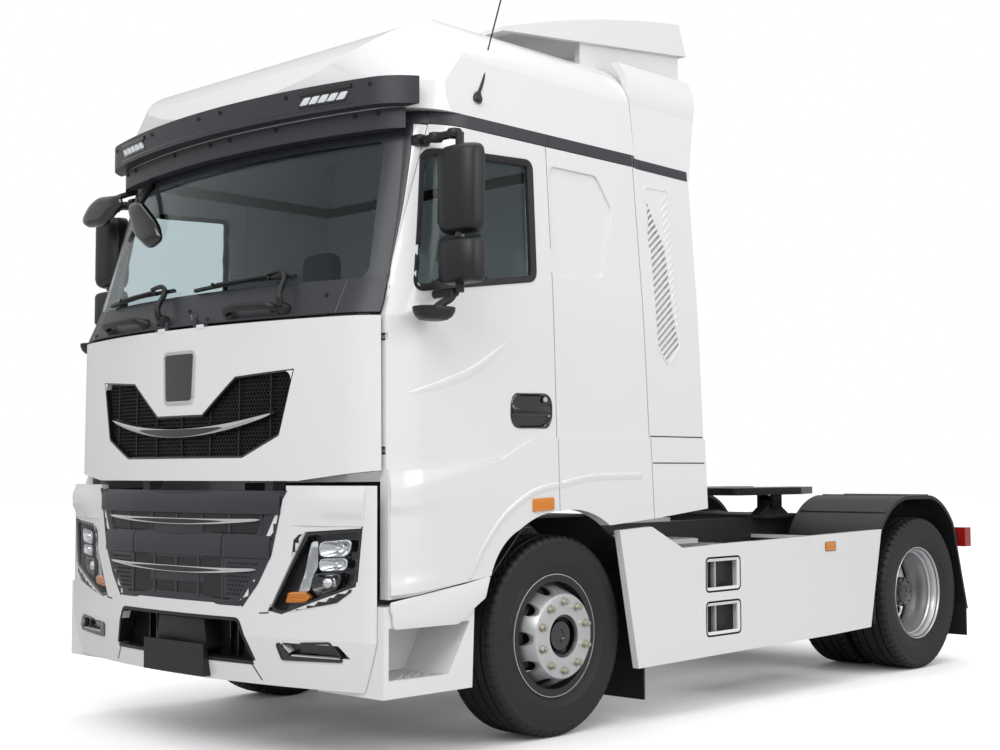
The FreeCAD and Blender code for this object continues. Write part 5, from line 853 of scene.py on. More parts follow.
def front_hub(cap_x):
    """The dark hub in the front disc's bore."""
    return turned([(0.0, 1.130), (0.160, 1.130), (0.160, 1.136), (0.108, 1.140), (0.106, 1.188),
                   (0.092, 1.188), (0.090, 1.150), (0.076, 1.152), (0.070, cap_x), (0.030, cap_x),
                   (0.026, cap_x - 0.006), (0, cap_x - 0.006)], HUB_STEPS)


def rims():
    """Front and twin rear wheels with their discs, nuts, hubs and valves."""
    for axle, middles in TYRE_MIDDLES.items():
        face_x, rim_x, cap_x = DISC_X[axle]
        piece = Piece()
        place = Matrix.Translation((0, AXLE_Y[axle], WHEEL_Z)) @ on_axle(0, 0, 0)
        if axle == "front":
            piece.add(front_disc(), "steel", place=place)
            piece.add(front_hub(cap_x), "gloss", place=place)
        else:
            for middle in middles:
                piece.add(rim_barrel(middle), "steel", place=place)
            piece.add(wheel_disc(face_x, rim_x), "steel", place=place)
            piece.add(wheel_disc(*INNER_DISC_X), "steel", place=place)
            piece.add(hub(face_x, cap_x), "gloss", place=place)
        for number in range(NUTS):
            for shape in nut(face_x, math.tau * (number + 0.5) / NUTS):
                piece.add(shape, "zinc", place=place)
        valve = [(0.255, 0, rim_x + 0.012), (0.250, 0, rim_x + 0.030), (0.243, 0, rim_x + 0.048)]
        piece.add(tube(valve, [0.006, 0.005, 0.004], 8), "zinc", place=place)
        piece.pair(f"{axle}_wheel_disc", WHEEL_BODIES[axle],
                   () if axle == "front" else ["rear_rims"])


# Mirrors

MIRROR_X = (1.292, 1.523)
MIRROR_Y = (-0.983, -0.868)
MIRROR_SPANS = ((2.352, 2.743), (2.127, 2.323))     # main and wide-angle glass
MIRROR_RIM = 0.018
HOUSING_ROWS = ((0, 0.040), (0.015, 0.022), (0.05, 0.008), (0.12, 0), (0.5, 0), (0.88, 0),
                (0.95, 0.008), (0.985, 0.022), (1, 0.040))    # share of its height, inset
HOUSING_CORNER = 0.030
ARM_Y = -0.925
ARM_X = (1.130, 1.22, 1.32, 1.385)
ARM_TOP, ARM_LOW = 2.800, 2.088
ARM_RADIUS = 0.0195
ARM_LOBES_X = (1.255, 1.375)
ARM_FOOT = 0.026
ARM_FEET = ((ARM_TOP, 1.180), (ARM_LOW, 1.246))     # level, and how far out each foot reaches
KERB_PLACE = (1.350, -1.035)
KERB_HALF = (0.074, 0.113)
KERB_PLAN = ((-1, -0.4), (-0.5, -0.86), (0.5, -0.86), (1, -0.4), (1, 0.8), (-1, 0.8))
KERB_ROWS = ((1.9565, 0.55), (1.960, 0.70), (1.975, 0.88), (1.996, 0.98), (2.012, 1.0),
             (2.016, 0.97))                         # level, share of its size
KERB_ARM = ((1.370, -0.925, 2.088), (1.368, -0.945, 2.060), (1.355, -0.985, 2.035),
            (1.350, -1.020, 2.010))


def housing(x, y, z):
    """A mirror housing: bowed ahead, flat behind, with soft ends."""
    middle = sum(x) / 2
    sections = []
    for share, inset in HOUSING_ROWS:
        half = (x[1] - x[0]) / 2 - inset * 0.6
        front, rear = y[0] + inset * 0.9, y[1] - inset * 0.15
        bow = half * 0.55
        plan = [(middle - half, rear), (middle + half, rear),
                (middle + half, front + HOUSING_CORNER), (middle + bow, front),
                (middle - bow, front), (middle - half, front + HOUSING_CORNER)]
        sections.append([Vector((a, at(b), z[0] + (z[1] - z[0]) * share))
                         for a, b in rounded(plan, HOUSING_CORNER, 4)])
    return loft(sections)


def mirrors():
    """The main mirrors on their arms, with the kerb mirror below."""
    piece = Piece()
    middle = sum(MIRROR_X) / 2
    for low, high in MIRROR_SPANS:
        piece.add(housing(MIRROR_X, MIRROR_Y, (low, high)), "black")
        edge = rounded(rectangle((MIRROR_X[0] + MIRROR_RIM, MIRROR_X[1] - MIRROR_RIM),
                                 (low + MIRROR_RIM, high - MIRROR_RIM)), 0.03)
        face = at(MIRROR_Y[1])
        piece.add(prism(edge, "y", (face - 0.004, face + 0.0015)), "mirror", ease=0.001)
    joint = MIRROR_X[0] - 0.0005
    piece.add(tube([(joint, at(-0.945), 2.40), (joint, at(-0.945), 2.70)], 0.003, 6), "gloss")
    piece.add(tube(smooth_path([(middle, at(ARM_Y), z) for z in (2.33, 2.36)]), 0.021, 16), "gloss")
    for z in (ARM_TOP, ARM_LOW):
        arm = smooth_path([(x, at(ARM_Y), z) for x in ARM_X], 4)
        piece.add(tube(arm, ARM_RADIUS, 14), "black")
    for span in ((2.735, ARM_TOP), (2.085, 2.135)):
        piece.add(tube([(middle, at(ARM_Y), z) for z in span], ARM_RADIUS, 16), "black")
    for x in ARM_LOBES_X:
        lobe = turned([(0, -0.019), (0.030, -0.019), (0.034, -0.012), (0.034, 0.012),
                       (0.030, 0.0195), (0, 0.0195)], 24)
        piece.add(lobe, "black", place=Matrix.Translation((x, at(ARM_Y), ARM_TOP)))
    piece.add(tube(smooth_path([(x, at(y), z) for x, y, z in KERB_ARM], 6), 0.0185, 14), "black")
    bowl = []
    for height, share in KERB_ROWS:
        plan = rounded([(KERB_PLACE[0] + a * KERB_HALF[0] * share,
                         KERB_PLACE[1] + b * KERB_HALF[1] * share) for a, b in KERB_PLAN], 0.045, 5)
        bowl.append([Vector((a, at(b), height)) for a, b in plan])
    piece.add(loft(bowl), "black")
    for z, reach in ARM_FEET:
        foot = rounded(rectangle((-0.965, -0.885), (z - ARM_FOOT, z + ARM_FOOT)), 0.02)
        piece.add(prism(shifted(foot), "x", (ARM_X[0], reach)), "black", ease=0.004)
    piece.pair("mirror_set", "door_{}", ["mirror"])


LEAVES = (                # each mirror's place along Y, its outline and its arm
    (-2.500, ((-1.443, 2.711), (-1.362, 2.793), (-1.260, 2.830), (-1.058, 2.815), (-1.037, 2.757),
              (-1.204, 2.661), (-1.379, 2.670)),
     ((-1.20, -2.485, 2.80), (-1.14, -2.38, 2.85), (-1.07, -2.26, 2.88))),
    (-2.600, ((-0.821, 2.718), (-0.708, 2.730), (-0.548, 2.595), (-0.492, 2.494), (-0.609, 2.454),
              (-0.751, 2.549)),
     ((-0.74, -2.585, 2.70), (-0.78, -2.50, 2.80), (-0.83, -2.38, 2.88))),
)
LEAF_ROWS = ((0.55, -0.030), (0.80, -0.024), (0.95, -0.012), (1.0, 0), (0.99, 0.012),
             (0.93, 0.016))                         # share of the outline, place along Y


def leaf_mirrors():
    """The two glossy mirrors ahead of the right front corner, on bent arms."""
    piece = Piece()
    for depth, outline, arm in LEAVES:
        soft = rounded(outline, 0.045, 5)
        rows = [[Vector((a, depth + place, b)) for a, b in scaled(soft, share)]
                for share, place in LEAF_ROWS]
        piece.add(loft(rows), "gloss")
        piece.add(tube(smooth_path(arm, 6), 0.016, 12), "black")
    piece.out("leaf_mirrors", "cab")


# Front of the cab

VISOR_SCREWS = ((3.050, (0.09, 0.554, 1.035)), (2.925, (0.08, 0.417, 0.897, 1.02)))
VISOR_LAMP = [(0.628, 2.990), (0.668, 3.036), (0.930, 3.040), (0.905, 2.990)]
VISOR_BROW = [(0.640, 3.050), (0.938, 3.055)]
LED_COUNT = 5
LED_START, LED_PITCH = 0.640, 0.053
LED_CELL = ((0, 2.996), (0.046, 2.996), (0.070, 3.030), (0.030, 3.030))


def visor_details():
    """Screws and lamps of the sun visor."""
    skin = Skin("sun_visor")
    piece = Piece()
    for z, places in VISOR_SCREWS:
        screws(piece, skin, "y", [(x * side, z) for x in places for side in (1, -1)])
    piece.out("visor_screws", "cab")
    lamps, bezels = Piece(), Piece()
    soft = rounded(VISOR_LAMP, 0.012)
    path, ways = skin.drape(soft, "y", 0.001, 0.03, True)
    bezels.add(sweep(path, ways, oval(0.0055, 0.004, 8), closed=True), "gloss")
    path, ways = skin.drape(VISOR_BROW, "y", 0.002, 0.03)
    brow = [(-0.011, -0.006), (0.011, -0.006), (0.006, 0.007), (-0.010, 0.005)]
    bezels.add(sweep(path, ways, brow), "gloss")
    bezels.add(patch(soft, "y", skin, 0.0015, 0.006), "gloss")
    for number in range(LED_COUNT):
        left = LED_START + number * LED_PITCH
        cell = rounded([(left + a, b) for a, b in LED_CELL], 0.008, 3)
        lamps.add(patch(cell, "y", skin, 0.0055, 0.006, 0.02), "led", ease=0.002)
    bezels.both_sides().out("visor_lamp_bezels", "cab")
    lamps.both_sides().out("visor_lamps", "cab")


def inside(point, outline):
    """Whether a flat point is inside an outline."""
    a, b = point
    crossings = False
    for (a1, b1), (a2, b2) in zip(outline, outline[1:] + outline[:1]):
        if (b1 > b) != (b2 > b) and a < (a2 - a1) * (b - b1) / (b2 - b1) + a1:
            crossings = not crossings
    return crossings


FLAP_HIGH, FLAP_LOW = 1.90, 1.30


def flap_face(x, z):
    """The flap's outer face carried on across the grille's opening."""
    upper = FLAP.under("y", x, FLAP_HIGH)[0].y
    lower = FLAP.under("y", x, FLAP_LOW)[0].y
    return lower + (upper - lower) * (z - FLAP_LOW) / (FLAP_HIGH - FLAP_LOW)


GRILLE_HALF = [(-0.689, 1.460), (-0.772, 1.757), (-0.412, 1.735), (-0.182, 1.565)]
GRILLE = (GRILLE_HALF + [(-x, z) for x, z in reversed(GRILLE_HALF)]
          + [(0.467, 1.363), (-0.467, 1.363)])
HEX_PITCH = 0.021
HEX_LOW, HEX_TALL, HEX_COLUMNS = 1.345, 0.45, 38
HEX_RINGS = ((1.0, 0.0), (0.80, 0.0), (0.80, 0.008), (1.0, 0.008))     # share of the cell, depth
MESH_DEPTH, RIB_DEPTH, LIP_DEPTH = 0.026, 0.022, 0.004
RIBS_X = (-0.62, -0.42, -0.22, 0.0, 0.22, 0.42, 0.62)
SMILE_REACH, SMILE_EYE = 0.650, 0.52


def honeycomb():
    """Six-sided rings side by side over the grille's opening."""
    mesh = bmesh.new()
    radius = HEX_PITCH / math.sqrt(3)
    row_step = HEX_PITCH * math.sqrt(3) / 2
    turns = [math.tau * number / 6 for number in range(6)]
    for row in range(int(HEX_TALL / row_step)):
        z = HEX_LOW + row * row_step
        for column in range(-HEX_COLUMNS, HEX_COLUMNS + 1):
            x = (column + 0.5 * (row % 2)) * HEX_PITCH
            if not inside((x, z), GRILLE):
                continue
            face = flap_face(x, z) + MESH_DEPTH
            rings = [[mesh.verts.new((x + radius * size * math.sin(turn), face + depth,
                                      z + radius * size * math.cos(turn))) for turn in turns]
                     for size, depth in HEX_RINGS]
            stitch(mesh, rings, loop=True)
    return mesh


def upper_grille():
    """The honeycomb, its ribs and lip, and the bright strip round its dark eye."""
    piece = Piece()
    piece.add(honeycomb(), "black")
    for x in RIBS_X:
        ends = [z for z in (1.36 + step * 0.01 for step in range(42)) if inside((x, z), GRILLE)]
        rib = [Vector((x, flap_face(x, z) + RIB_DEPTH, z)) for z in (ends[0], ends[-1])]
        piece.add(sweep(rib, (0, -1, 0), trapezoid(0.005, 0.012, 0.004, 0.002)), "black")
    piece.out("upper_grille_mesh", "front_flap")
    lip = Piece()
    path = [Vector((a, flap_face(a, b) + LIP_DEPTH, b))
            for a, b in spaced(rounded(GRILLE, 0.004, 3), 0.03, True)]
    section = [(-0.009, -0.030), (0.004, -0.030), (0.004, 0.003), (0, 0.0055), (-0.007, 0.003)]
    lip.add(sweep(path, (0, -1, 0), section, closed=True), "gloss")
    lip.out("upper_grille_lip", "front_flap")
    smile, eye = Piece(), Piece()
    bright_strip(smile, eye, flap_face, SMILE_REACH,
                 lambda share: 1.566 - 0.058 * (1 - share ** 2),
                 lambda share: 1.554 - 0.098 * (1 - share ** 2), SMILE_EYE, 0.006)
    eye.out("grille_smile_eye", "front_flap")
    smile.out("grille_smile", "front_flap")


BADGE = [(-0.112, 1.628), (0.112, 1.628), (0.124, 1.868), (-0.124, 1.868)]


def badge_place():
    """A plain plate with a bright frame; it carries nothing."""
    outline = rounded(BADGE, 0.028, 5)
    edge, plate = Piece(), Piece()
    path, ways = FLAP.drape(outline, "y", 0.001, 0.03, True)
    section = [(-0.010, -0.006), (0.010, -0.006), (0.008, 0.006), (0, 0.010), (-0.008, 0.006)]
    edge.add(sweep(path, ways, section, closed=True), "chrome")
    edge.out("badge_frame", "front_flap")
    plate.add(patch(outline, "y", FLAP, 0.005, 0.010, 0.03), "gloss")
    plate.out("badge_plate", "front_flap")


BAR_DEEP = 0.030
BAR_STEPS = 24
STRIP_STEPS = 48


def face_bar(piece, face, reach, z, chamfer, proud):
    """A bar across the front, chamfered on top, between two places along X."""
    low, high = z
    rows = []
    for number in range(BAR_STEPS + 1):
        x = reach[0] + (reach[1] - reach[0]) * number / BAR_STEPS
        y = face(x)
        rows.append([Vector((x, y + BAR_DEEP, low + 0.004)), Vector((x, y - proud * 0.6, low)),
                     Vector((x, y - proud, low + 0.006)), Vector((x, y - proud, high - chamfer)),
                     Vector((x, y + 0.004, high)), Vector((x, y + BAR_DEEP, high))])
    piece.add(loft(rows), "visor", ease=0.0025)


def bright_strip(bright, dark, face, reach, upper, lower, eye, proud):
    """A bright strip that splits in two round a dark eye; upper and lower give its edges."""
    strip, hole = [], []
    for number in range(STRIP_STEPS + 1):
        way = number / STRIP_STEPS * 2 - 1
        for rows, share in ((strip, way), (hole, way * eye)):
            x = reach * share
            top, foot = upper(share), lower(share)
            middle = (top + foot) / 2
            y = face(x, middle) - proud
            if rows is strip:
                half = (top - foot) / 2 * (0.25 + 0.75 * min(1.0, (1 - abs(share)) / 0.05))
                spots = ((y + proud + 0.004, -half), (y, -half * 0.75), (y - 0.003, 0),
                         (y, half * 0.75), (y + proud + 0.004, half))
            else:
                room = max(top - foot - 0.016, 0) * (1 - way ** 2) ** 0.5 + 0.0006
                y -= 0.0045
                spots = ((y + 0.004, -room / 2), (y, -room / 2), (y, room / 2),
                         (y + 0.004, room / 2))
            rows.append([Vector((x, depth, middle + rise)) for depth, rise in spots])
    bright.add(loft(strip), "chrome")
    dark.add(loft(hole), "gloss")


SURROUND_OUTER = [(0.494, 0.690), (0.590, 0.797), (0.667, 0.924), (0.705, 1.065), (0.730, 1.173),
                  (0.757, 1.214)]
SURROUND_INNER = [(0.750, 1.214), (0.720, 1.163), (0.463, 0.697)]
SURROUND_COVER = [(0.400, 0.697), (0.470, 0.697), (0.724, 1.163), (0.752, 1.212), (0.690, 1.212),
                  (0.640, 1.120)]
DARK_OPENINGS = (((-0.600, 0.600), (1.020, 1.110)), ((-0.365, 0.365), (0.722, 0.910)))
BARS = (((-0.722, 0.722), (1.104, 1.212), 0.030, 0.016),
        ((-0.664, -0.355), (0.906, 1.022), 0.032, 0.014),
        ((-0.349, 0.361), (0.906, 1.022), 0.032, 0.014),
        ((0.367, 0.664), (0.906, 1.022), 0.032, 0.014),
        ((-0.478, 0.478), (0.688, 0.722), 0.012, 0.006))     # reach, levels, chamfer, proud
CORNER_PANEL = [(0.368, 0.722), (0.492, 0.722), (0.585, 0.835), (0.622, 0.906), (0.368, 0.906)]
FINS = (((-0.610, -0.410, -0.205, 0.0, 0.205, 0.410, 0.610), (1.018, 1.112)),
        ((-0.365, -0.180, 0.0, 0.180, 0.365), (0.716, 0.912)))
FIN_HALF, TOOTH_HALF = 0.008, 0.004
TEETH, TOOTH_START, TOOTH_PITCH = 15, -0.70, 0.1
STRIPS = ((1.088, 0.612, 0.028), (0.864, 0.590, 0.030))      # level, reach, sag
STRIP_EYE, STRIP_PROUD = 0.62, 0.014
DOT_ROWS, DOT_COLUMNS, DOT_PITCH = 8, 10, 0.020
DOT_START = (0.395, 0.742)
DOT_PROFILE = [(0, -0.001), (0.0055, -0.001), (0.0055, 0.002), (0.004, 0.003), (0, 0.003)]


def lower_face(x):
    """The plane of the lower grille: just behind the bumper's face and inside the CAD box."""
    return max(BUMPER.under("y", x, 0.66)[0].y + 0.003, CAD_LOW[1] + 0.018)


def lower_grille():
    """The surround, thick bars, fins and bright strips of the lower grille."""
    face, sheet = lower_face, Face(lower_face)
    surround, dark, bars, fins = Piece(), Piece(), Piece(), Piece()
    surround.add(patch(SURROUND_OUTER + SURROUND_INNER, "y", Skin("front_bumper"), 0.003, 0.010,
                       0.04), "visor")
    edge = [Vector((x, face(x) - 0.003, z)) for x, z in spaced(SURROUND_OUTER, 0.03)]
    surround.add(sweep(edge, (0, -1, 0), trapezoid(0.005, 0.006, 0.004, 0.003)), "gloss")
    surround.add(patch(SURROUND_COVER, "y", sheet, 0.004, 0.006, 0.04), "visor")
    surround.both_sides().out("lower_grille_surround", "chassis")
    for x, z in DARK_OPENINGS:
        dark.add(patch(rectangle(x, z), "y", sheet, 0.002, 0.003, 0.05), "black")
    dark.out("lower_grille_openings", "chassis")
    for bar in BARS:
        face_bar(bars, face, *bar)
    for side in (1, -1):
        panel = [(x * side, z) for x, z in CORNER_PANEL]
        bars.add(patch(panel, "y", sheet, 0.005, 0.006, 0.05), "visor", ease=0.001)
    bars.out("lower_grille_bars", "chassis")
    for places, (low, high) in FINS:
        for x in places:
            fins.add(block((x - FIN_HALF, face(x) - 0.006, low),
                           (x + FIN_HALF, face(x) + 0.010, high)), "visor", ease=0.002)
    for number in range(TEETH):
        x = TOOTH_START + number * TOOTH_PITCH
        fins.add(block((x - TOOTH_HALF, face(x) + 0.004, 1.196),
                       (x + TOOTH_HALF, face(x) + 0.030, 1.210)), "black", ease=0.001)
    fins.out("lower_grille_fins", "chassis")
    strips, eyes, dots = Piece(), Piece(), Piece()
    for z, reach, sag in STRIPS:
        bright_strip(strips, eyes, lambda x, z: face(x), reach,
                     lambda share, z=z: z - 0.004 * (1 - share ** 2),
                     lambda share, z=z, sag=sag: z - 0.013 - sag * (1 - share ** 2),
                     STRIP_EYE, STRIP_PROUD)
    strips.out("lower_grille_strips", "chassis")
    eyes.out("lower_grille_eyes", "chassis")
    for side in (1, -1):
        for row in range(DOT_ROWS):
            for column in range(DOT_COLUMNS):
                x = DOT_START[0] + column * DOT_PITCH + DOT_PITCH / 2 * (row % 2)
                z = DOT_START[1] + row * DOT_PITCH
                if x > 0.462 + (z - 0.722) * 0.80:
                    continue
                dots.add(turned(DOT_PROFILE, 8), "black",
                         place=facing((x * side, face(x) - 0.0055, z), (0, -1, 0)))
    dots.out("lower_grille_dots", "chassis")


# Lamps

HEADLAMP = [(0.664, 0.684), (0.735, 0.672), (1.113, 0.806), (1.141, 1.042), (0.866, 1.023)]
CHAMBERS = (     # outline, corner, depth, share of its back, material
    ([(0.925, 0.925), (1.065, 0.930), (1.085, 1.000), (0.925, 0.985)], 0.035, 0.050, 0.35,
     "reflector"),
    ([(0.925, 0.862), (1.055, 0.870), (1.062, 0.918), (0.925, 0.912)], 0.030, 0.045, 0.35,
     "reflector"),
    ([(0.885, 0.762), (1.000, 0.775), (1.040, 0.850), (0.885, 0.845)], 0.040, 0.040, 0.45,
     "gloss"),
)
PROJECTORS = ((0.945, 0.808, 0.034), (1.000, 0.893, 0.020), (1.005, 0.960, 0.022))
LAMP_BLADE = [(0.868, 0.985), (0.908, 0.992), (0.908, 0.880), (0.880, 0.835), (0.862, 0.770),
              (0.800, 0.760), (0.838, 0.850)]
FLASHER = [(0.735, 0.715), (0.850, 0.722), (0.872, 0.745), (0.840, 0.768), (0.755, 0.762)]
FLASHER_RIBS = (0.728, 0.741, 0.754)
LAMP_EDGES = ([(0.800, 0.995), (0.785, 0.884), (0.735, 0.772), (0.670, 0.707), (0.650, 0.664),
               (0.668, 0.684), (0.866, 1.023), (0.830, 1.020)],
              [(0.735, 0.672), (1.113, 0.806), (1.100, 0.775), (1.030, 0.727), (0.836, 0.690)])
LAMP_DEPTH = 0.052


def chamber(skin, outline, depth, back):
    """A bright bowl behind the lens."""
    rows = []
    for share, sink in ((1.10, depth + 0.004), (1.10, 0.010), (1.0, 0.008), (0.93, 0.012),
                        (back + (1 - back) * 0.45, depth * 0.75), (back, depth)):
        rows.append([skin.under("y", a, b)[0] + Vector((0, sink, 0))
                     for a, b in scaled(outline, share)])
    return loft(rows)


def projector(radius):
    """A round lens in its ring, with Z as its way out."""
    return turned([(0, 0.034), (radius * 0.5, 0.031), (radius * 0.8, 0.022),
                   (radius * 0.92, 0.014), (radius * 0.92, 0.010), (radius * 1.12, 0.010),
                   (radius * 1.15, 0.004), (radius * 1.15, -0.012), (0, -0.012)], 32)


def headlamps():
    """Dark bezels, bright chambers, projectors and a flasher behind clear lenses."""
    skin, bumper = Skin("headlamps"), Skin("front_bumper")
    soft = rounded(HEADLAMP, 0.030, 5)
    case, bright, ambers, clear = Piece(), Piece(), Piece(), Piece()
    case.add(patch(soft, "y", skin, -LAMP_DEPTH, 0.012, 0.04), "gloss")
    path = skin.drape(soft, "y", 0.0, 0.03, True)[0]
    section = [(-0.016, -0.060), (0.006, -0.060), (0.006, 0.001), (-0.004, 0.004), (-0.016, 0)]
    case.add(sweep(path, (0, -1, 0), section, closed=True), "gloss")
    for outline, corner, depth, back, key in CHAMBERS:
        bright.add(chamber(skin, rounded(outline, corner, 6), depth, back), key)
    for a, b, radius in PROJECTORS:
        place = skin.under("y", a, b)[0] + Vector((0, 0.045, 0))
        bright.add(projector(radius), "chrome", place=facing(place, (0.25, -1, 0)))
    bright.add(patch(rounded(LAMP_BLADE, 0.012, 3), "y", skin, -0.020, 0.020, 0.03), "reflector",
               ease=0.004)
    ambers.add(patch(rounded(FLASHER, 0.010, 3), "y", skin, -0.010, 0.025, 0.02), "amber",
               ease=0.003)
    for rise in FLASHER_RIBS:
        path, ways = skin.drape([(0.745, rise), (0.856, rise)], "y", -0.010, 0.02)
        ambers.add(sweep(path, ways, [(-0.003, -0.002), (0.003, -0.002), (0, 0.0025)]), "amber")
    clear.add(patch(soft, "y", skin, 0.0, 0.004, 0.04), "lamp")
    for edge in LAMP_EDGES:
        case.add(patch(edge, "y", bumper, 0.003, 0.006, 0.02), "gloss")
    case.both_sides().out("headlamp_cases", "chassis", ["headlamps"])
    bright.both_sides().out("headlamp_reflectors", "chassis")
    ambers.both_sides().out("headlamp_flashers", "chassis")
    clear.both_sides().out("headlamp_lenses", "chassis")


FOG_BACK = [(0.778, 0.491), (1.080, 0.489), (1.030, 0.538), (0.736, 0.538)]
FOG_EDGE = [(0.722, 0.466), (1.048, 0.474), (0.992, 0.552), (0.700, 0.532)]
FOG_CELLS = ([(0.790, 0.490), (0.872, 0.492), (0.866, 0.534), (0.780, 0.528)],
             [(0.902, 0.487), (1.010, 0.490), (0.978, 0.542), (0.896, 0.538)])


def fog_lamps():
    """Two chambers in a dark case in each corner of the bumper."""
    bumper = Skin("front_bumper")
    case, bright = Piece(), Piece()
    case.add(patch(FOG_BACK, "y", Skin("fog_lamps"), -0.026, 0.010, 0.03), "gloss")
    edge = rounded(FOG_EDGE, 0.010, 3)
    path = Skin("front_bumper", "fog_lamps").drape(edge, "y", 0.0, 0.03, True)[0]
    case.add(sweep(path, (0, -1, 0), trapezoid(0.006, 0.020, 0.005, 0.005), closed=True), "gloss")
    case.add(patch(edge, "y", bumper, 0.003, 0.008, 0.02), "gloss")
    for cell in FOG_CELLS:
        bright.add(patch(rounded(cell, 0.010, 3), "y", bumper, 0.007, 0.008, 0.02), "reflector",
                   ease=0.003)
    case.both_sides().out("fog_lamp_cases", "chassis", ["fog_lamps"])
    bright.both_sides().out("fog_lamp_reflectors", "chassis")


INTAKE_RIM = [(-0.5556, 0.439), (0.5556, 0.439), (0.4645, 0.627), (-0.4645, 0.627)]
INTAKE_BACK = [(-0.60, 0.400), (0.60, 0.400), (0.52, 0.660), (-0.52, 0.660)]
PLATE_HOLDER = [(-0.205, 0.470), (0.205, 0.470), (0.185, 0.612), (-0.185, 0.612)]
INTAKE_SLATS_X = (-0.36, -0.30, 0.30, 0.36)


def intake():
    """The dark duct behind the bumper's lower opening, and the plate holder in its middle."""
    piece = Piece()
    path = Skin("front_bumper").drape(rounded(INTAKE_RIM, 0.02, 4), "y", 0.0, 0.03, True)[0]
    section = [(-0.010, -0.066), (0.006, -0.066), (0.006, 0.002), (0, 0.004), (-0.010, 0.001)]
    piece.add(sweep(path, (0, -1, 0), section, closed=True), "black")
    piece.add(prism(INTAKE_BACK, "y", (at(-1.300), at(-1.292))), "black", ease=0.002)
    piece.add(prism(rounded(PLATE_HOLDER, 0.01, 3), "y", (at(-1.395), at(-1.300))), "black",
              ease=0.005)
    for x in INTAKE_SLATS_X:
        piece.add(block((x - 0.004, at(-1.33), 0.45), (x + 0.004, at(-1.30), 0.62)), "gloss",
                  ease=0.001)
    piece.out("intake_duct", "chassis")


# Windscreen and cowl

WIPERS = ((0.700, 0.640, 0.02, 0.70), (-0.165, -0.235, -0.86, -0.17))   # pivot, elbow, blade's ends
WIPER_PIVOT_Z, WIPER_ELBOW_Z = 2.030, 2.196
WIPER_CAP = [(0, -0.02), (0.030, -0.02), (0.032, 0.0), (0.026, 0.026), (0.018, 0.044), (0, 0.046)]
WIPER_BLADE = [(-0.004, -0.013), (0.004, -0.013), (0.010, 0.0), (0.006, 0.010), (-0.006, 0.010),
               (-0.010, 0.0)]
ARM_THICK, ARM_THIN = 0.017, 0.010


def wipers():
    """Two wipers that park side by side: an L-shaped arm, a blade and its linkage."""
    skin = Skin("windscreen", "cowl_panel", "windscreen_frame")
    piece = Piece()
    for pivot_x, elbow_x, tip_x, end_x in WIPERS:
        base, normal = skin.under("y", pivot_x, WIPER_PIVOT_Z)
        piece.add(turned(WIPER_CAP, 24), "black", place=facing(base, normal))
        elbow, way = skin.under("y", elbow_x, WIPER_ELBOW_Z)
        arm = smooth_path([base + normal * 0.040, base + normal * 0.046 + Vector((-0.004, 0, 0.05)),
                           elbow + way * 0.046 + Vector((0.018, 0, -0.030)),
                           elbow + way * 0.044 + Vector((-0.014, 0, 0.006)),
                           elbow + way * 0.034 + Vector((-0.11, 0, 0.004))], 8)
        last = len(arm) - 1
        sizes = [ARM_THICK - (ARM_THICK - ARM_THIN) * number / last for number in range(last + 1)]
        piece.add(tube(arm, sizes, 12), "black")
        blade, ways = skin.drape([(tip_x, 2.168), ((tip_x + end_x) / 2, 2.186), (end_x, 2.186)],
                                 "y", 0.016, 0.03)
        piece.add(sweep(blade, ways, WIPER_BLADE), "black")
        spine, ways = skin.drape([(tip_x + 0.18, 2.178), (end_x - 0.16, 2.190)], "y", 0.034, 0.03)
        piece.add(sweep(spine, ways, oval(0.007, 0.006, 8)), "black")
        for share in (0.22, 0.78):
            place, way = skin.under("y", tip_x + (end_x - tip_x) * share, 2.180)
            piece.add(tube([place + way * 0.018, place + way * 0.038], 0.009, 8), "black")
    piece.out("wiper_set", "cab", ["wipers"])


GRAB_BARS = ((0.330, 0.665), (-0.770, -0.330))
GRAB_Z, GRAB_RADIUS = 2.030, 0.018
GRAB_LIFTS = ((0, 0.0), (0.06, 0.034), (0.16, 0.050), (0.5, 0.054), (0.84, 0.050), (0.94, 0.034),
              (1, 0.0))                             # share of its length, height over the cowl
GRAB_FOOT = [(0, -0.01), (0.034, -0.01), (0.032, 0.006), (0.022, 0.018), (0, 0.020)]
COWL_SCREWS = [(0.02, 2.070), (0.905, 2.085), (-0.92, 2.070), (-0.96, 2.020)]
COWL_JOINTS_X = (0.985, -0.985)
COWL_HOLE = (0.075, 2.040)
HOLE_RIM = [(0.010, 0.001), (0.020, 0.001), (0.024, 0.004), (0.026, -0.004), (0.010, -0.004)]


def cowl_details():
    """Grab bars, screws, the plug hole and the joints of the cowl."""
    skin = Skin("cowl_panel")
    bars, piece = Piece(), Piece()
    for start, end in GRAB_BARS:
        path = []
        for share, lift in GRAB_LIFTS:
            place, way = skin.under("y", start + (end - start) * share, GRAB_Z)
            path.append(place + way * lift)
        bars.add(tube(smooth_path(path, 5), GRAB_RADIUS, 12), "black")
        for share in (0.06, 0.94):
            place, way = skin.under("y", start + (end - start) * share, GRAB_Z)
            bars.add(turned(GRAB_FOOT, 20), "black", place=facing(place, way))
    bars.out("cowl_grab_bars", "cab")
    screws(piece, skin, "y", COWL_SCREWS, 0.009)
    for x in COWL_JOINTS_X:
        path, ways = skin.drape([(x, 2.000), (x, 2.150)], "y", 0.0, 0.03)
        piece.add(sweep(path, ways, oval(0.002, 0.002, 6)), "gloss")
    piece.add(turned(HOLE_RIM, 24), "gloss", place=facing(*skin.under("y", *COWL_HOLE)))
    piece.out("cowl_screws", "cab")


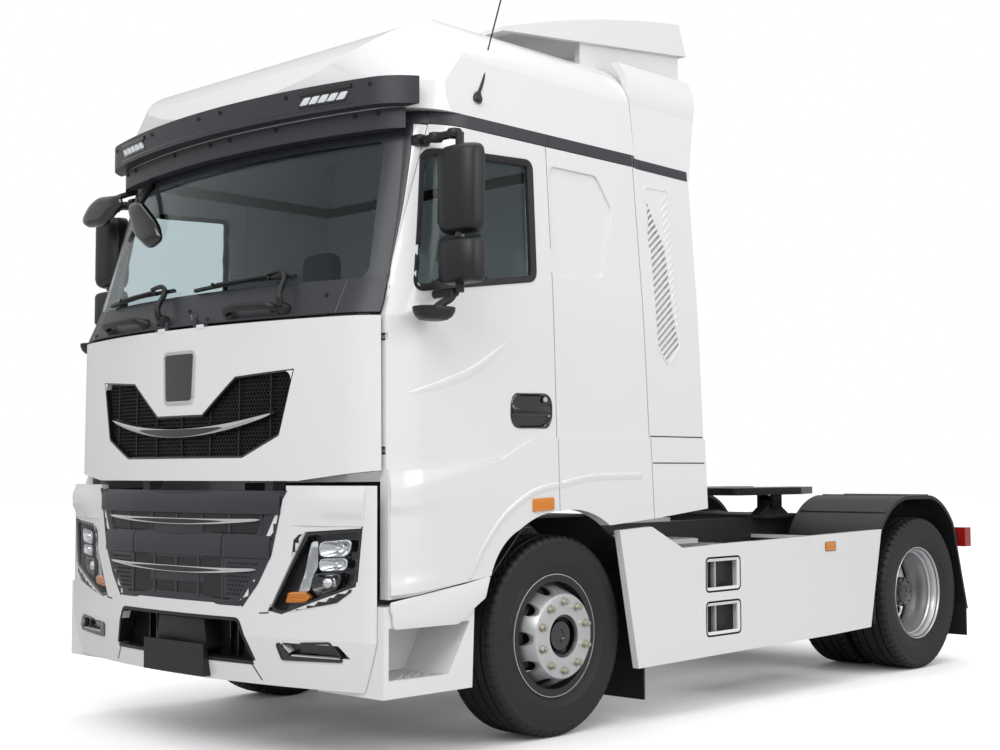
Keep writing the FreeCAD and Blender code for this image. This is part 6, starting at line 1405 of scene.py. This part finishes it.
AERIAL = ((1.209, -0.610, 3.051), (1.198, -0.558, 3.143), (1.150, -0.478, 3.310))
AERIAL_FOOT = [(0, -0.02), (0.026, -0.02), (0.028, 0.0), (0.020, 0.014), (0.010, 0.030), (0, 0.032)]
COWL_LIP_X, COWL_LIP_Z, COWL_LIP_STEP = 0.95, 2.002, 0.05
COWL_LIP = [(-0.006, -0.010), (0.006, -0.010), (0.006, 0.003), (0.0, 0.006), (-0.006, 0.003)]


def small_parts():
    """The cowl's lip, the aerial's base and the visor's joint, a dark strip painted as the shadow
    line between its bands.
    """
    skin = Skin("cowl_panel")
    lip, aerial = Piece(), Piece()
    path = []
    for number in range(39):
        place = skin.under("y", number * COWL_LIP_STEP - COWL_LIP_X, 2.012)[0]
        path.append(Vector((place.x, place.y - 0.004, COWL_LIP_Z)))
    lip.add(sweep(path, (0, -1, 0), COWL_LIP), "visor")
    lip.out("cowl_lip", "cab")
    rod = smooth_path([(x, at(y), z) for x, y, z in AERIAL], 6)
    sizes = [0.010 - 0.006 * number / (len(rod) - 1) for number in range(len(rod))]
    aerial.add(tube(rod, sizes, 10), "black")
    aerial.add(turned(AERIAL_FOOT, 20), "black",
               place=facing((1.209, at(-0.610), 3.046), (0.3, 0.1, 1)))
    aerial.out("aerial_base", "cab")
    # A dark strip along the joint between the visor's two bands: the joint is real, its darkness is
    # painted shadow in the gap.
    dark_line("visor_joint_shadow", "cab", Skin("sun_visor"), "y", [[(0.0, 2.974), (0.95, 2.974)]],
              wide=0.004, key="gloss")


PILLAR_LEVELS = 15
PILLAR_LOW, PILLAR_TALL = 2.065, 0.860
PILLAR_GAP = 0.012


def crossing(node, z, pick):
    """The chosen one of the points where a CAD node's edges cross a level."""
    thing = NODES[node]
    low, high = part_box(node)
    z = min(max(z, low[2] + 0.005), high[2] - 0.005)
    spots = [thing.matrix_world @ corner.co for corner in thing.data.vertices]
    found = []
    for edge in thing.data.edges:
        one, two = (spots[index] for index in edge.vertices)
        if (one.z - z) * (two.z - z) < 0:
            found.append(one.lerp(two, (z - one.z) / (two.z - one.z)))
    return pick(found)


def pillars():
    """The bowed cover between the windscreen's frame and the door, dark ahead and white behind."""
    strips = {"visor": [], "paint": []}
    for number in range(PILLAR_LEVELS):
        share = number / (PILLAR_LEVELS - 1)
        z = PILLAR_LOW + PILLAR_TALL * share
        start = crossing("windscreen_frame", z, lambda spots: max(spots, key=lambda p: p.x))
        end = crossing("door_left", z, lambda spots: min(spots, key=lambda p: p.y - p.x * 0.2))
        across = end - start
        out = Vector((-across.y, across.x, 0)).normalized()
        if out.x < 0:
            out = -out
        split = 0.80 - 0.45 * share
        for key, low, high in (("visor", -0.04, split - PILLAR_GAP),
                               ("paint", split + PILLAR_GAP, 0.97)):
            top = []
            for step in range(7):
                place = low + (high - low) * step / 6
                middle = 2 * min(max(place, 0), 1) - 1
                bow = across.length * 0.14 * (1 - middle ** 2) + 0.002
                top.append(start + across * place + out * bow)
            strips[key].append(top + [spot - out * 0.010 for spot in reversed(top)])
    for key, name in (("visor", "pillar_dark"), ("paint", "pillar_white")):
        piece = Piece()
        piece.add(loft(strips[key]), key, ease=0.003)
        piece.both_sides().out(name, "cab")


# Side of the cab

WINDOW = [(-1.030, 2.104), (-0.249, 2.216), (-0.255, 2.792), (-0.918, 2.756)]
SEAL = [(-0.012, -0.024), (0.022, -0.024), (0.022, -0.006), (0.004, 0.004), (-0.010, 0.004)]
HANDLE_CUP = [(-0.428, 1.498), (-0.139, 1.506), (-0.139, 1.670), (-0.428, 1.662)]
HANDLE_BAR = [(-0.418, 1.556), (-0.150, 1.560), (-0.150, 1.612), (-0.418, 1.608)]
HANDLE_MIDDLE = (-0.2835, 1.584)
HANDLE_ROWS = ((1.02, -0.012), (1.02, 0.003), (0.98, 0.005), (0.92, 0.001), (0.84, -0.016),
               (0.70, -0.0235), (0.70, -0.0252), (1.0, -0.0252))    # share of the cup, depth
LOCK = [(0, 0), (0.012, 0), (0.014, -0.003), (0.014, -0.01), (0, -0.01)]
LOCK_PLACE = (-0.185, 1.640)
CREASE = ((-1.090, 1.640), (-0.894, 1.690), (-0.669, 1.770), (-0.432, 1.914))
CREASE_SECTION = [(-0.045, -0.001), (-0.020, 0.0030), (0.0, 0.0045), (0.012, 0.003),
                  (0.020, -0.001)]


def curved(points):
    """A smooth flat line through side points that count Y from the front axle."""
    return [(spot.x, spot.y) for spot in smooth_path([(a, b, 0) for a, b in shifted(points)], 6)]


def door_details():
    """Window seal, handle cup and bar, the lock and the crease."""
    seal, handle, crease = Piece(), Piece(), Piece()
    path = DOOR.drape(rounded(shifted(WINDOW), 0.045, 6), "x", 0.0, 0.03, True)[0]
    seal.add(sweep(path, (1, 0, 0), SEAL, closed=True), "rubber")
    seal.pair("window_seal", "door_{}")
    face = DOOR.under("x", at(-0.60), 1.58)[0].x
    cup = rounded(shifted(HANDLE_CUP), 0.070, 7)
    middle = (at(HANDLE_MIDDLE[0]), HANDLE_MIDDLE[1])
    handle.add(loft([[Vector((face + depth, a, b)) for a, b in scaled(cup, share, middle)]
                     for share, depth in HANDLE_ROWS]), "gloss")
    handle.add(prism(rounded(shifted(HANDLE_BAR), 0.022, 5), "x", (face - 0.016, face + 0.004)),
               "gloss", ease=0.005)
    handle.add(turned(LOCK, 20), "steel",
               place=facing((face + 0.0045, at(LOCK_PLACE[0]), LOCK_PLACE[1]), (1, 0, 0)))
    handle.pair("door_handle", "door_{}")
    path, ways = DOOR.drape(curved(CREASE), "x", -0.001, 0.05)
    crease.add(sweep(path, ways, CREASE_SECTION, taper=True), "paint")
    crease.pair("door_crease", "door_{}")


FLARE_DOOR = [(-0.722, 0.815), (-0.669, 0.898), (-0.616, 0.969), (-0.488, 1.093), (-0.294, 1.198),
              (-0.100, 1.236)]
FLARE_CAB = [(-0.080, 1.236), (0.100, 1.266), (0.300, 1.276), (0.545, 1.276)]
FLARE_SECTION = [(-0.030, -0.001), (-0.008, 0.006), (0.004, 0.007), (0.012, -0.001)]
SIDE_MARKER = [(-0.290, 1.103), (-0.143, 1.110), (-0.143, 1.172), (-0.290, 1.166)]


def arch_details():
    """The flare round the front arch, split where the door ends, and the amber marker."""
    for points, skin in ((FLARE_DOOR, DOOR), (FLARE_CAB, Skin("cab_sides"))):
        piece = Piece()
        path, ways = skin.drape(curved(points), "x", 0.0, 0.05)
        piece.add(sweep(path, ways, FLARE_SECTION), "paint", ease=0.002)
        if skin is DOOR:
            piece.pair("arch_flare_door", "door_{}")
        else:
            piece.both_sides().out("arch_flare", "cab")
    marker = Piece()
    marker.add(patch(rounded(shifted(SIDE_MARKER), 0.010, 3), "x", DOOR, 0.012, 0.016, 0.03),
               "amber", ease=0.004)
    marker.pair("side_marker", "door_{}")


def dark_line(name, body, skin, axis, paths, wide=0.003, key="rubber", deep=0.0015):
    """Panel joints on both sides, drawn as thin dark strips set into the skin."""
    piece = Piece()
    for points in paths:
        path, ways = skin.drape(points, axis, -deep * 0.4, 0.05)
        piece.add(sweep(path, ways, trapezoid(wide, deep, wide, deep)), key)
    piece.both_sides().out(name, body)


FAIRING_JOINTS = ([(0.640, 1.476), (1.100, 1.476)], [(0.645, 1.337), (1.100, 1.337)])
CANT_RAIL_JOINTS = ([(-0.871, 2.890), (-0.871, 2.946)], [(-0.121, 2.890), (-0.121, 2.946)])
BUMPER_JOINTS = [[(0.535, 0.430), (0.585, 0.362)], [(0.655, 0.668), (0.600, 0.664)],
                 [(1.130, 0.820), (1.160, 1.120)]]
DARK_STRIP = [(0.556, 2.906), (1.020, 2.900)]


def seams():
    """Joints of the fairings, cant rail and bumper, and the fairing's dark strip."""
    fairings = Skin("side_fairings")
    dark_line("fairing_seams", "cab", fairings, "x", [shifted(line) for line in FAIRING_JOINTS])
    dark_line("cant_rail_seams", "cab", Skin("cant_rail"), "x",
              [shifted(line) for line in CANT_RAIL_JOINTS], key="gloss")
    strip = Piece()
    path, ways = fairings.drape(shifted(DARK_STRIP), "x", 0.0, 0.05)
    strip.add(sweep(path, ways, trapezoid(0.030, 0.003, 0.026, 0.004)), "visor", ease=0.001)
    strip.both_sides().out("fairing_dark_strip", "cab")
    dark_line("bumper_seams", "chassis", Skin("front_bumper"), "y", BUMPER_JOINTS)


LOUVRE_RIM = [(0.634, 2.792), (0.838, 2.794), (0.905, 1.985), (0.900, 1.955), (0.798, 1.855),
              (0.708, 1.940)]
SLATS, SLAT_LOW, SLAT_PITCH, SLAT_TOP = 24, 2.06, 0.038, 2.785
SLAT_SLOPE = 0.93


def louvre_slats():
    """Slim white slats over the rear of the louvred band, and its rim."""
    skin = Skin("side_fairings")
    piece = Piece()
    path, ways = skin.drape(rounded(shifted(LOUVRE_RIM), 0.015, 3), "x", 0.0, 0.04, True)
    piece.add(sweep(path, ways, trapezoid(0.006, 0.002, 0.003, 0.004), closed=True), "paint")
    for number in range(SLATS):
        z = SLAT_LOW + number * SLAT_PITCH
        start = 0.860 - (z - SLAT_LOW) * 0.155
        end = 0.897 - (z - SLAT_LOW) * 0.085
        lift = (end - start) * SLAT_SLOPE
        if end - start < 0.02 or z + lift > SLAT_TOP:
            continue
        path, ways = skin.drape(shifted([(start, z), (end, z + lift)]), "x", 0.0, 0.03)
        piece.add(sweep(path, ways, trapezoid(0.007, 0.001, 0.004, 0.004), taper=True), "paint")
    piece.both_sides().out("louvre_slats", "cab")


RELIEF = [(-1.163, 1.306), (-0.500, 1.356), (-0.500, 1.100), (-0.620, 0.970), (-0.700, 0.860),
          (-0.735, 0.800), (-1.163, 0.760)]
RELIEF_LIFT, RELIEF_LEAST = 0.022, 0.0015
TRIM = [(-1.200, 0.734), (-0.729, 0.793), (-0.586, 0.817), (-0.619, 0.719), (-0.678, 0.687),
        (-0.794, 0.614), (-1.182, 0.618), (-1.188, 0.678), (-1.200, 0.696)]
TRIM_X = (1.2535, 1.268)


def share_of(value, low, high):
    """How far a value is on its way from one bound to another, from 0 to 1."""
    return min(max((value - low) / (high - low), 0), 1)


def door_rise(a, z):
    """The height of the door's lower shoulder, which stands out ahead and dies away behind."""
    y = a - STATION
    start = 1.306 + (y + 1.17) / 0.68 * 0.05
    ledge = 1.208 + (y + 1.152) / 0.662 * 0.150
    crease = 1.138 + (y + 1.152) / 0.374 * 0.030
    lower = 0.835 + (y + 1.152) / 0.29 * 0.035
    height = RELIEF_LIFT * share_of(-y, 0.49, 1.15) * ramp(-z, -start, -min(ledge, start - 0.01))
    height *= 1 - 0.65 * share_of(-y, 0.78, 1.15) * ramp(-z, -crease, 0.025 - crease)
    height += 0.012 * share_of(-y, 0.86, 1.15) * ramp(-z, -lower, 0.035 - lower)
    return max(height, RELIEF_LEAST)


def door_relief():
    """The door's lower shoulder and its sill trim."""
    piece, trim = Piece(), Piece()
    piece.add(patch(shifted(RELIEF), "x", DOOR, door_rise, 0.004, 0.02), "paint")
    piece.pair("door_relief", "door_{}")
    trim.add(prism(rounded(shifted(TRIM), 0.010, 3), "x", TRIM_X), "paint", ease=0.005)
    trim.pair("door_sill_trim", "door_{}")


# Bumper, steps, skirts and chassis

BUMPER_CORNER = [(0.780, 1.060), (1.160, 1.060), (1.170, 1.232), (0.790, 1.232)]


def corner_rise(x, z):
    """The height of the shoulder on the bumper's corner."""
    edge = 1.165 + (x - 0.75) * 0.03
    share = share_of(x, 0.80, 1.00)
    height = 0.002 + 0.018 * share * ramp(-z, -1.235, -edge)
    return height - (height - 0.004) * ramp(-z, -1.115, -1.090) * share


def bumper_relief():
    """The shoulder of the bumper's corner above the headlamp."""
    piece = Piece()
    piece.add(patch(BUMPER_CORNER, "y", Skin("front_bumper"), corner_rise, 0.004, 0.02), "paint")
    piece.both_sides().out("bumper_relief", "chassis")


TREAD_Z = 0.396           # the floor of the foot hole
TREAD_X, TREAD_Y = (1.000, 1.236, 1.2485), (-1.222, -0.930, -0.870)
STUD = [(-0.011, -0.003), (0.011, -0.003), (0.011, 0.003), (-0.011, 0.003)]
STUD_ROWS, STUD_COLUMNS = 9, 12
STUD_START, STUD_STEP = (1.020, -1.205), (0.025, 0.028)
STUD_END = -0.895


def steps():
    """The bright tread of each step with its raised studs."""
    piece = Piece()
    inner, outer, lip = TREAD_X
    ahead, behind_in, behind_out = (at(y) for y in TREAD_Y)
    plate = [(inner, ahead), (outer, ahead), (outer, behind_out), (inner, behind_in)]
    piece.add(prism(rounded(plate, 0.008, 3), "z", (TREAD_Z - 0.002, TREAD_Z + 0.005)), "plate",
              ease=0.001)
    for row in range(STUD_ROWS):
        for column in range(STUD_COLUMNS):
            x = STUD_START[0] + row * STUD_STEP[0]
            y = STUD_START[1] + column * STUD_STEP[1] + STUD_STEP[1] / 2 * (row % 2)
            if y > STUD_END:
                continue
            lean = Matrix.Rotation(math.radians(45 if (row + column) % 2 else -45), 4, "Z")
            piece.add(prism(rounded(STUD, 0.003, 2), "z", (0.0, 0.0035)), "plate",
                      place=Matrix.Translation((x, at(y), TREAD_Z + 0.0045)) @ lean)
    edge = rectangle((outer, lip), (TREAD_Z - 0.016, TREAD_Z + 0.005))
    piece.add(prism(edge, "y", (ahead, behind_out)), "plate", ease=0.002)
    piece.both_sides().out("step_treads", "chassis")


SKIRT_HOLES = ((0.645, 0.817), (0.406, 0.578))
SKIRT_HOLE_Y = (1.125, 1.438)
SKIRT_FRAME = [(-0.010, -0.016), (0.016, -0.016), (0.016, -0.008), (0.002, 0.0), (-0.010, 0.0)]
SKIRT_MARKER = ((2.343, 2.458), (0.813, 0.864))


def skirt_details():
    """Bevelled frames of the foot holes, a black sheet behind each that paints the shade in its
    depth, a grey bar in each, and the small marker lamp.
    """
    skin = Skin("side_skirts")
    frames, hole_shade_and_bar, marker = Piece(), Piece(), Piece()
    face = skin.under("x", at(1.00), 0.60)[0].x
    ahead, behind = SKIRT_HOLE_Y
    for low, high in SKIRT_HOLES:
        outline = rounded(shifted(rectangle(SKIRT_HOLE_Y, (low, high))), 0.022, 5)
        path = [Vector((face, a, b)) for a, b in spaced(outline, 0.03, True)]
        frames.add(sweep(path, (1, 0, 0), SKIRT_FRAME, closed=True), "paint")
        # A black sheet behind each foot hole is painted shade of the hole's depth; the grey bar in
        # front of it is a real part.
        wider = rectangle((ahead - 0.010, behind + 0.010), (low - 0.010, high + 0.010))
        hole_shade_and_bar.add(prism(rounded(shifted(wider), 0.022, 5), "x", (face - 0.060, face - 0.048)),
                   "black", ease=0.002)
        hole_shade_and_bar.add(block((face - 0.048, at(1.225), low), (face - 0.020, at(1.240), high)), "tank",
                   ease=0.003)
    hole_shade_and_bar.both_sides().out("skirt_hole_shade_and_bars", "chassis")
    frames.both_sides().out("skirt_hole_frames", "chassis")
    outline = rounded(shifted(rectangle(*SKIRT_MARKER)), 0.008, 3)
    marker.add(patch(outline, "x", skin, 0.006, 0.008, 0.03), "amber", ease=0.002)
    path, ways = skin.drape(outline, "x", 0.001, 0.03, True)
    marker.add(sweep(path, ways, oval(0.003, 0.002, 6), closed=True), "black")
    marker.both_sides().out("skirt_markers", "chassis")


WALK_PITCH = 0.030
WALK_SPANS = ((-1.19, -0.46), (-0.40, 0.40), (0.46, 1.19))
WALK_TALL = 0.004


def walkway_details():
    """Serrated bars over the walkway plates."""
    low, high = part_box("walkway")
    skin = Skin("walkway")
    piece = Piece()
    for number in range(int((high[1] - low[1]) / WALK_PITCH)):
        place = low[1] + 0.02 + WALK_PITCH * number
        for start, end in WALK_SPANS:
            spots = [start + (end - start) * n / 8 for n in range(9)]
            found = [skin.tree.ray_cast(Vector((x, place, 6)), Vector((0, 0, -1)))[0]
                     for x in spots]
            if any(spot is None for spot in found):
                continue
            heights = [spot.z for spot in found]
            if max(heights) - min(heights) > 0.002:
                continue
            z = heights[0] if heights[0] + WALK_TALL <= high[2] + 0.0005 else high[2] - WALK_TALL
            piece.add(prism([(place - 0.004, z - 0.001), (place + 0.004, z - 0.001),
                             (place + 0.0025, z + 0.0038), (place - 0.0025, z + 0.0038)], "x",
                            (start, end)), "plate")
    piece.out("walkway_bars", "chassis")


TANK_CAP_X = 0.98
TANK_CAPS = ((0, 0.16, 0.055), (1, -0.30, 0.040))   # which end, place from it, radius


def tank_details():
    """Caps of the tanks."""
    piece = Piece()
    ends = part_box("fuel_tanks")
    for end, shift, radius in TANK_CAPS:
        cap = turned([(0, 0.028), (radius * 0.8, 0.028), (radius, 0.022), (radius, 0.004),
                      (radius * 0.9, 0.0), (radius * 0.9, -0.01), (0, -0.01)], 28)
        piece.add(cap, "gloss",
                  place=Matrix.Translation((TANK_CAP_X, ends[end][1] + shift, ends[1][2])))
    piece.both_sides().out("tank_caps", "chassis")


FENDER_RIBS_Y = (3.12, 3.40, 3.68, 3.92)
FENDER_RIB_X = (0.60, 0.75, 0.90, 1.05, 1.225)


def fender_details():
    """Raised ribs across each rear fender."""
    skin = Skin("rear_fenders")
    piece = Piece()
    for y in FENDER_RIBS_Y:
        path, ways = skin.drape([(x, at(y)) for x in FENDER_RIB_X], "z", 0.0, 0.05)
        piece.add(sweep(path, ways, trapezoid(0.016, 0.001, 0.009, 0.007)), "black", ease=0.002)
    piece.both_sides().out("fender_ribs", "chassis")


TAIL_CELLS = ((0.962, 1.040, "amber"), (1.046, 1.150, "red"), (1.156, 1.236, "red"))
TAIL_INSET = 0.012
TAIL_ROWS = ((1.0, 0.010), (1.0, 0.004), (0.93, 0.0005))     # share of the cell, depth


def tail_lamps():
    """The lenses of the tail lamps."""
    low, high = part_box("tail_lamps")
    piece = Piece()
    for start, end, key in TAIL_CELLS:
        z = (low[2] + TAIL_INSET, high[2] - TAIL_INSET)
        cell = rounded(rectangle((start, end), z), 0.014, 4)
        middle = ((start + end) / 2, sum(z) / 2)
        piece.add(loft([[Vector((a, high[1] - depth, b)) for a, b in scaled(cell, share, middle)]
                        for share, depth in TAIL_ROWS]), key)
    piece.both_sides().out("tail_lamp_lenses", "chassis")


# Inside the cab

PAD_POWER = 5.0           # how square a pad's plan is
SEAM_REACH, SEAM_DEEP = 0.08, 0.035


def pad(low, high, crown, seams=(), steps=18):
    """A stuffed form: crowned faces, drawn-in sides and sewn channels across it."""
    shape = bmesh.new()
    bmesh.ops.create_cube(shape, size=2)
    bmesh.ops.subdivide_edges(shape, edges=shape.edges[:], cuts=steps, use_grid_fill=True)
    middle = (Vector(low) + Vector(high)) / 2
    half = (Vector(high) - Vector(low)) / 2
    for corner in shape.verts:
        u = corner.co.copy()
        u /= sum(abs(value) ** PAD_POWER for value in u) ** (1 / PAD_POWER)
        pull = 1 - crown * (abs(u.x * u.y) + abs(u.y * u.z) + abs(u.x * u.z)) / 6
        spot = Vector([u[index] * half[index] for index in range(3)]) * pull
        for seam in seams:
            gap = abs(u.x - seam)
            if gap < SEAM_REACH:
                spot *= 1 - SEAM_DEEP * (1 - gap / SEAM_REACH) ** 2
        corner.co = spot + middle
    bmesh.ops.recalc_face_normals(shape, faces=shape.faces)
    return shape


SEAT_X = 0.56
SEAT_PARTS = (     # name, half width, along Y, along Z, sewn channels
    ("seat_cushion", 0.235, (-0.520, -0.060), (1.690, 1.845), (-0.55, 0.55)),
    ("seat_back", 0.230, (-0.150, -0.008), (1.800, 2.330), (-0.55, 0.55)),
    ("head_rest", 0.140, (-0.120, -0.020), (2.340, 2.545), ()),
)
SEAT_BASE = [(-0.47, 1.360), (-0.10, 1.360), (-0.14, 1.700), (-0.44, 1.700)]
SEAT_BASE_HALF = 0.165
HEAD_POSTS = (-0.07, 0.07)


def seats():
    """Driver's and passenger's seats: cushion, back and head rest on a plain base."""
    for x, side in ((SEAT_X, "left"), (-SEAT_X, "right")):
        for label, half, y, z, channels in SEAT_PARTS:
            piece = Piece()
            piece.add(pad((x - half, at(y[0]), z[0]), (x + half, at(y[1]), z[1]), 0.25, channels),
                      "fabric")
            stands_for = ["seats"] if label == "seat_cushion" else ()
            piece.out(f"{label}_{side}", "cab", stands_for)
        base = Piece()
        base.add(prism(shifted(SEAT_BASE), "x", (x - SEAT_BASE_HALF, x + SEAT_BASE_HALF)), "trim",
                 ease=0.02)
        for post in HEAD_POSTS:
            base.add(tube([(x + post, at(-0.07), z) for z in (2.28, 2.40)], 0.008, 10), "chrome")
        base.out(f"seat_base_{side}", "cab")


MATTRESS_Z = (1.640, 1.798)
MATTRESS_CHANNELS = (-0.66, -0.33, 0.0, 0.33, 0.66)
BUNK_BASE_TOP = 1.660


def bunk():
    """The mattress on its plain base behind the seats."""
    low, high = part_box("bunk")
    piece, base = Piece(), Piece()
    piece.add(pad((low[0] + 0.01, low[1] + 0.005, MATTRESS_Z[0]),
                  (high[0] - 0.01, high[1] - 0.004, MATTRESS_Z[1]), 0.20, MATTRESS_CHANNELS,
                  steps=26), "fabric")
    piece.out("mattress", "cab", ["bunk"])
    base.add(block((low[0] + 0.004, low[1] + 0.02, low[2] + 0.001),
                   (high[0] - 0.004, high[1], BUNK_BASE_TOP)), "trim", ease=0.01)
    base.out("bunk_base", "cab")


FLAP = Skin("front_flap")
DOOR = Skin("door_left")
BUMPER = Skin("front_bumper", "lower_grille")

make_camera()
make_light()
make_floor()
finish_nodes()
for make in (tyres, rims, mirrors, visor_details, upper_grille, badge_place, lower_grille,
             headlamps, fog_lamps, intake, wipers, cowl_details, door_details, arch_details, seams,
             louvre_slats, door_relief, bumper_relief, pillars, leaf_mirrors, small_parts, steps,
             skirt_details, walkway_details, tank_details, fender_details, tail_lamps, seats,
             bunk):
    make()

scene.view_settings.view_transform = "Standard"
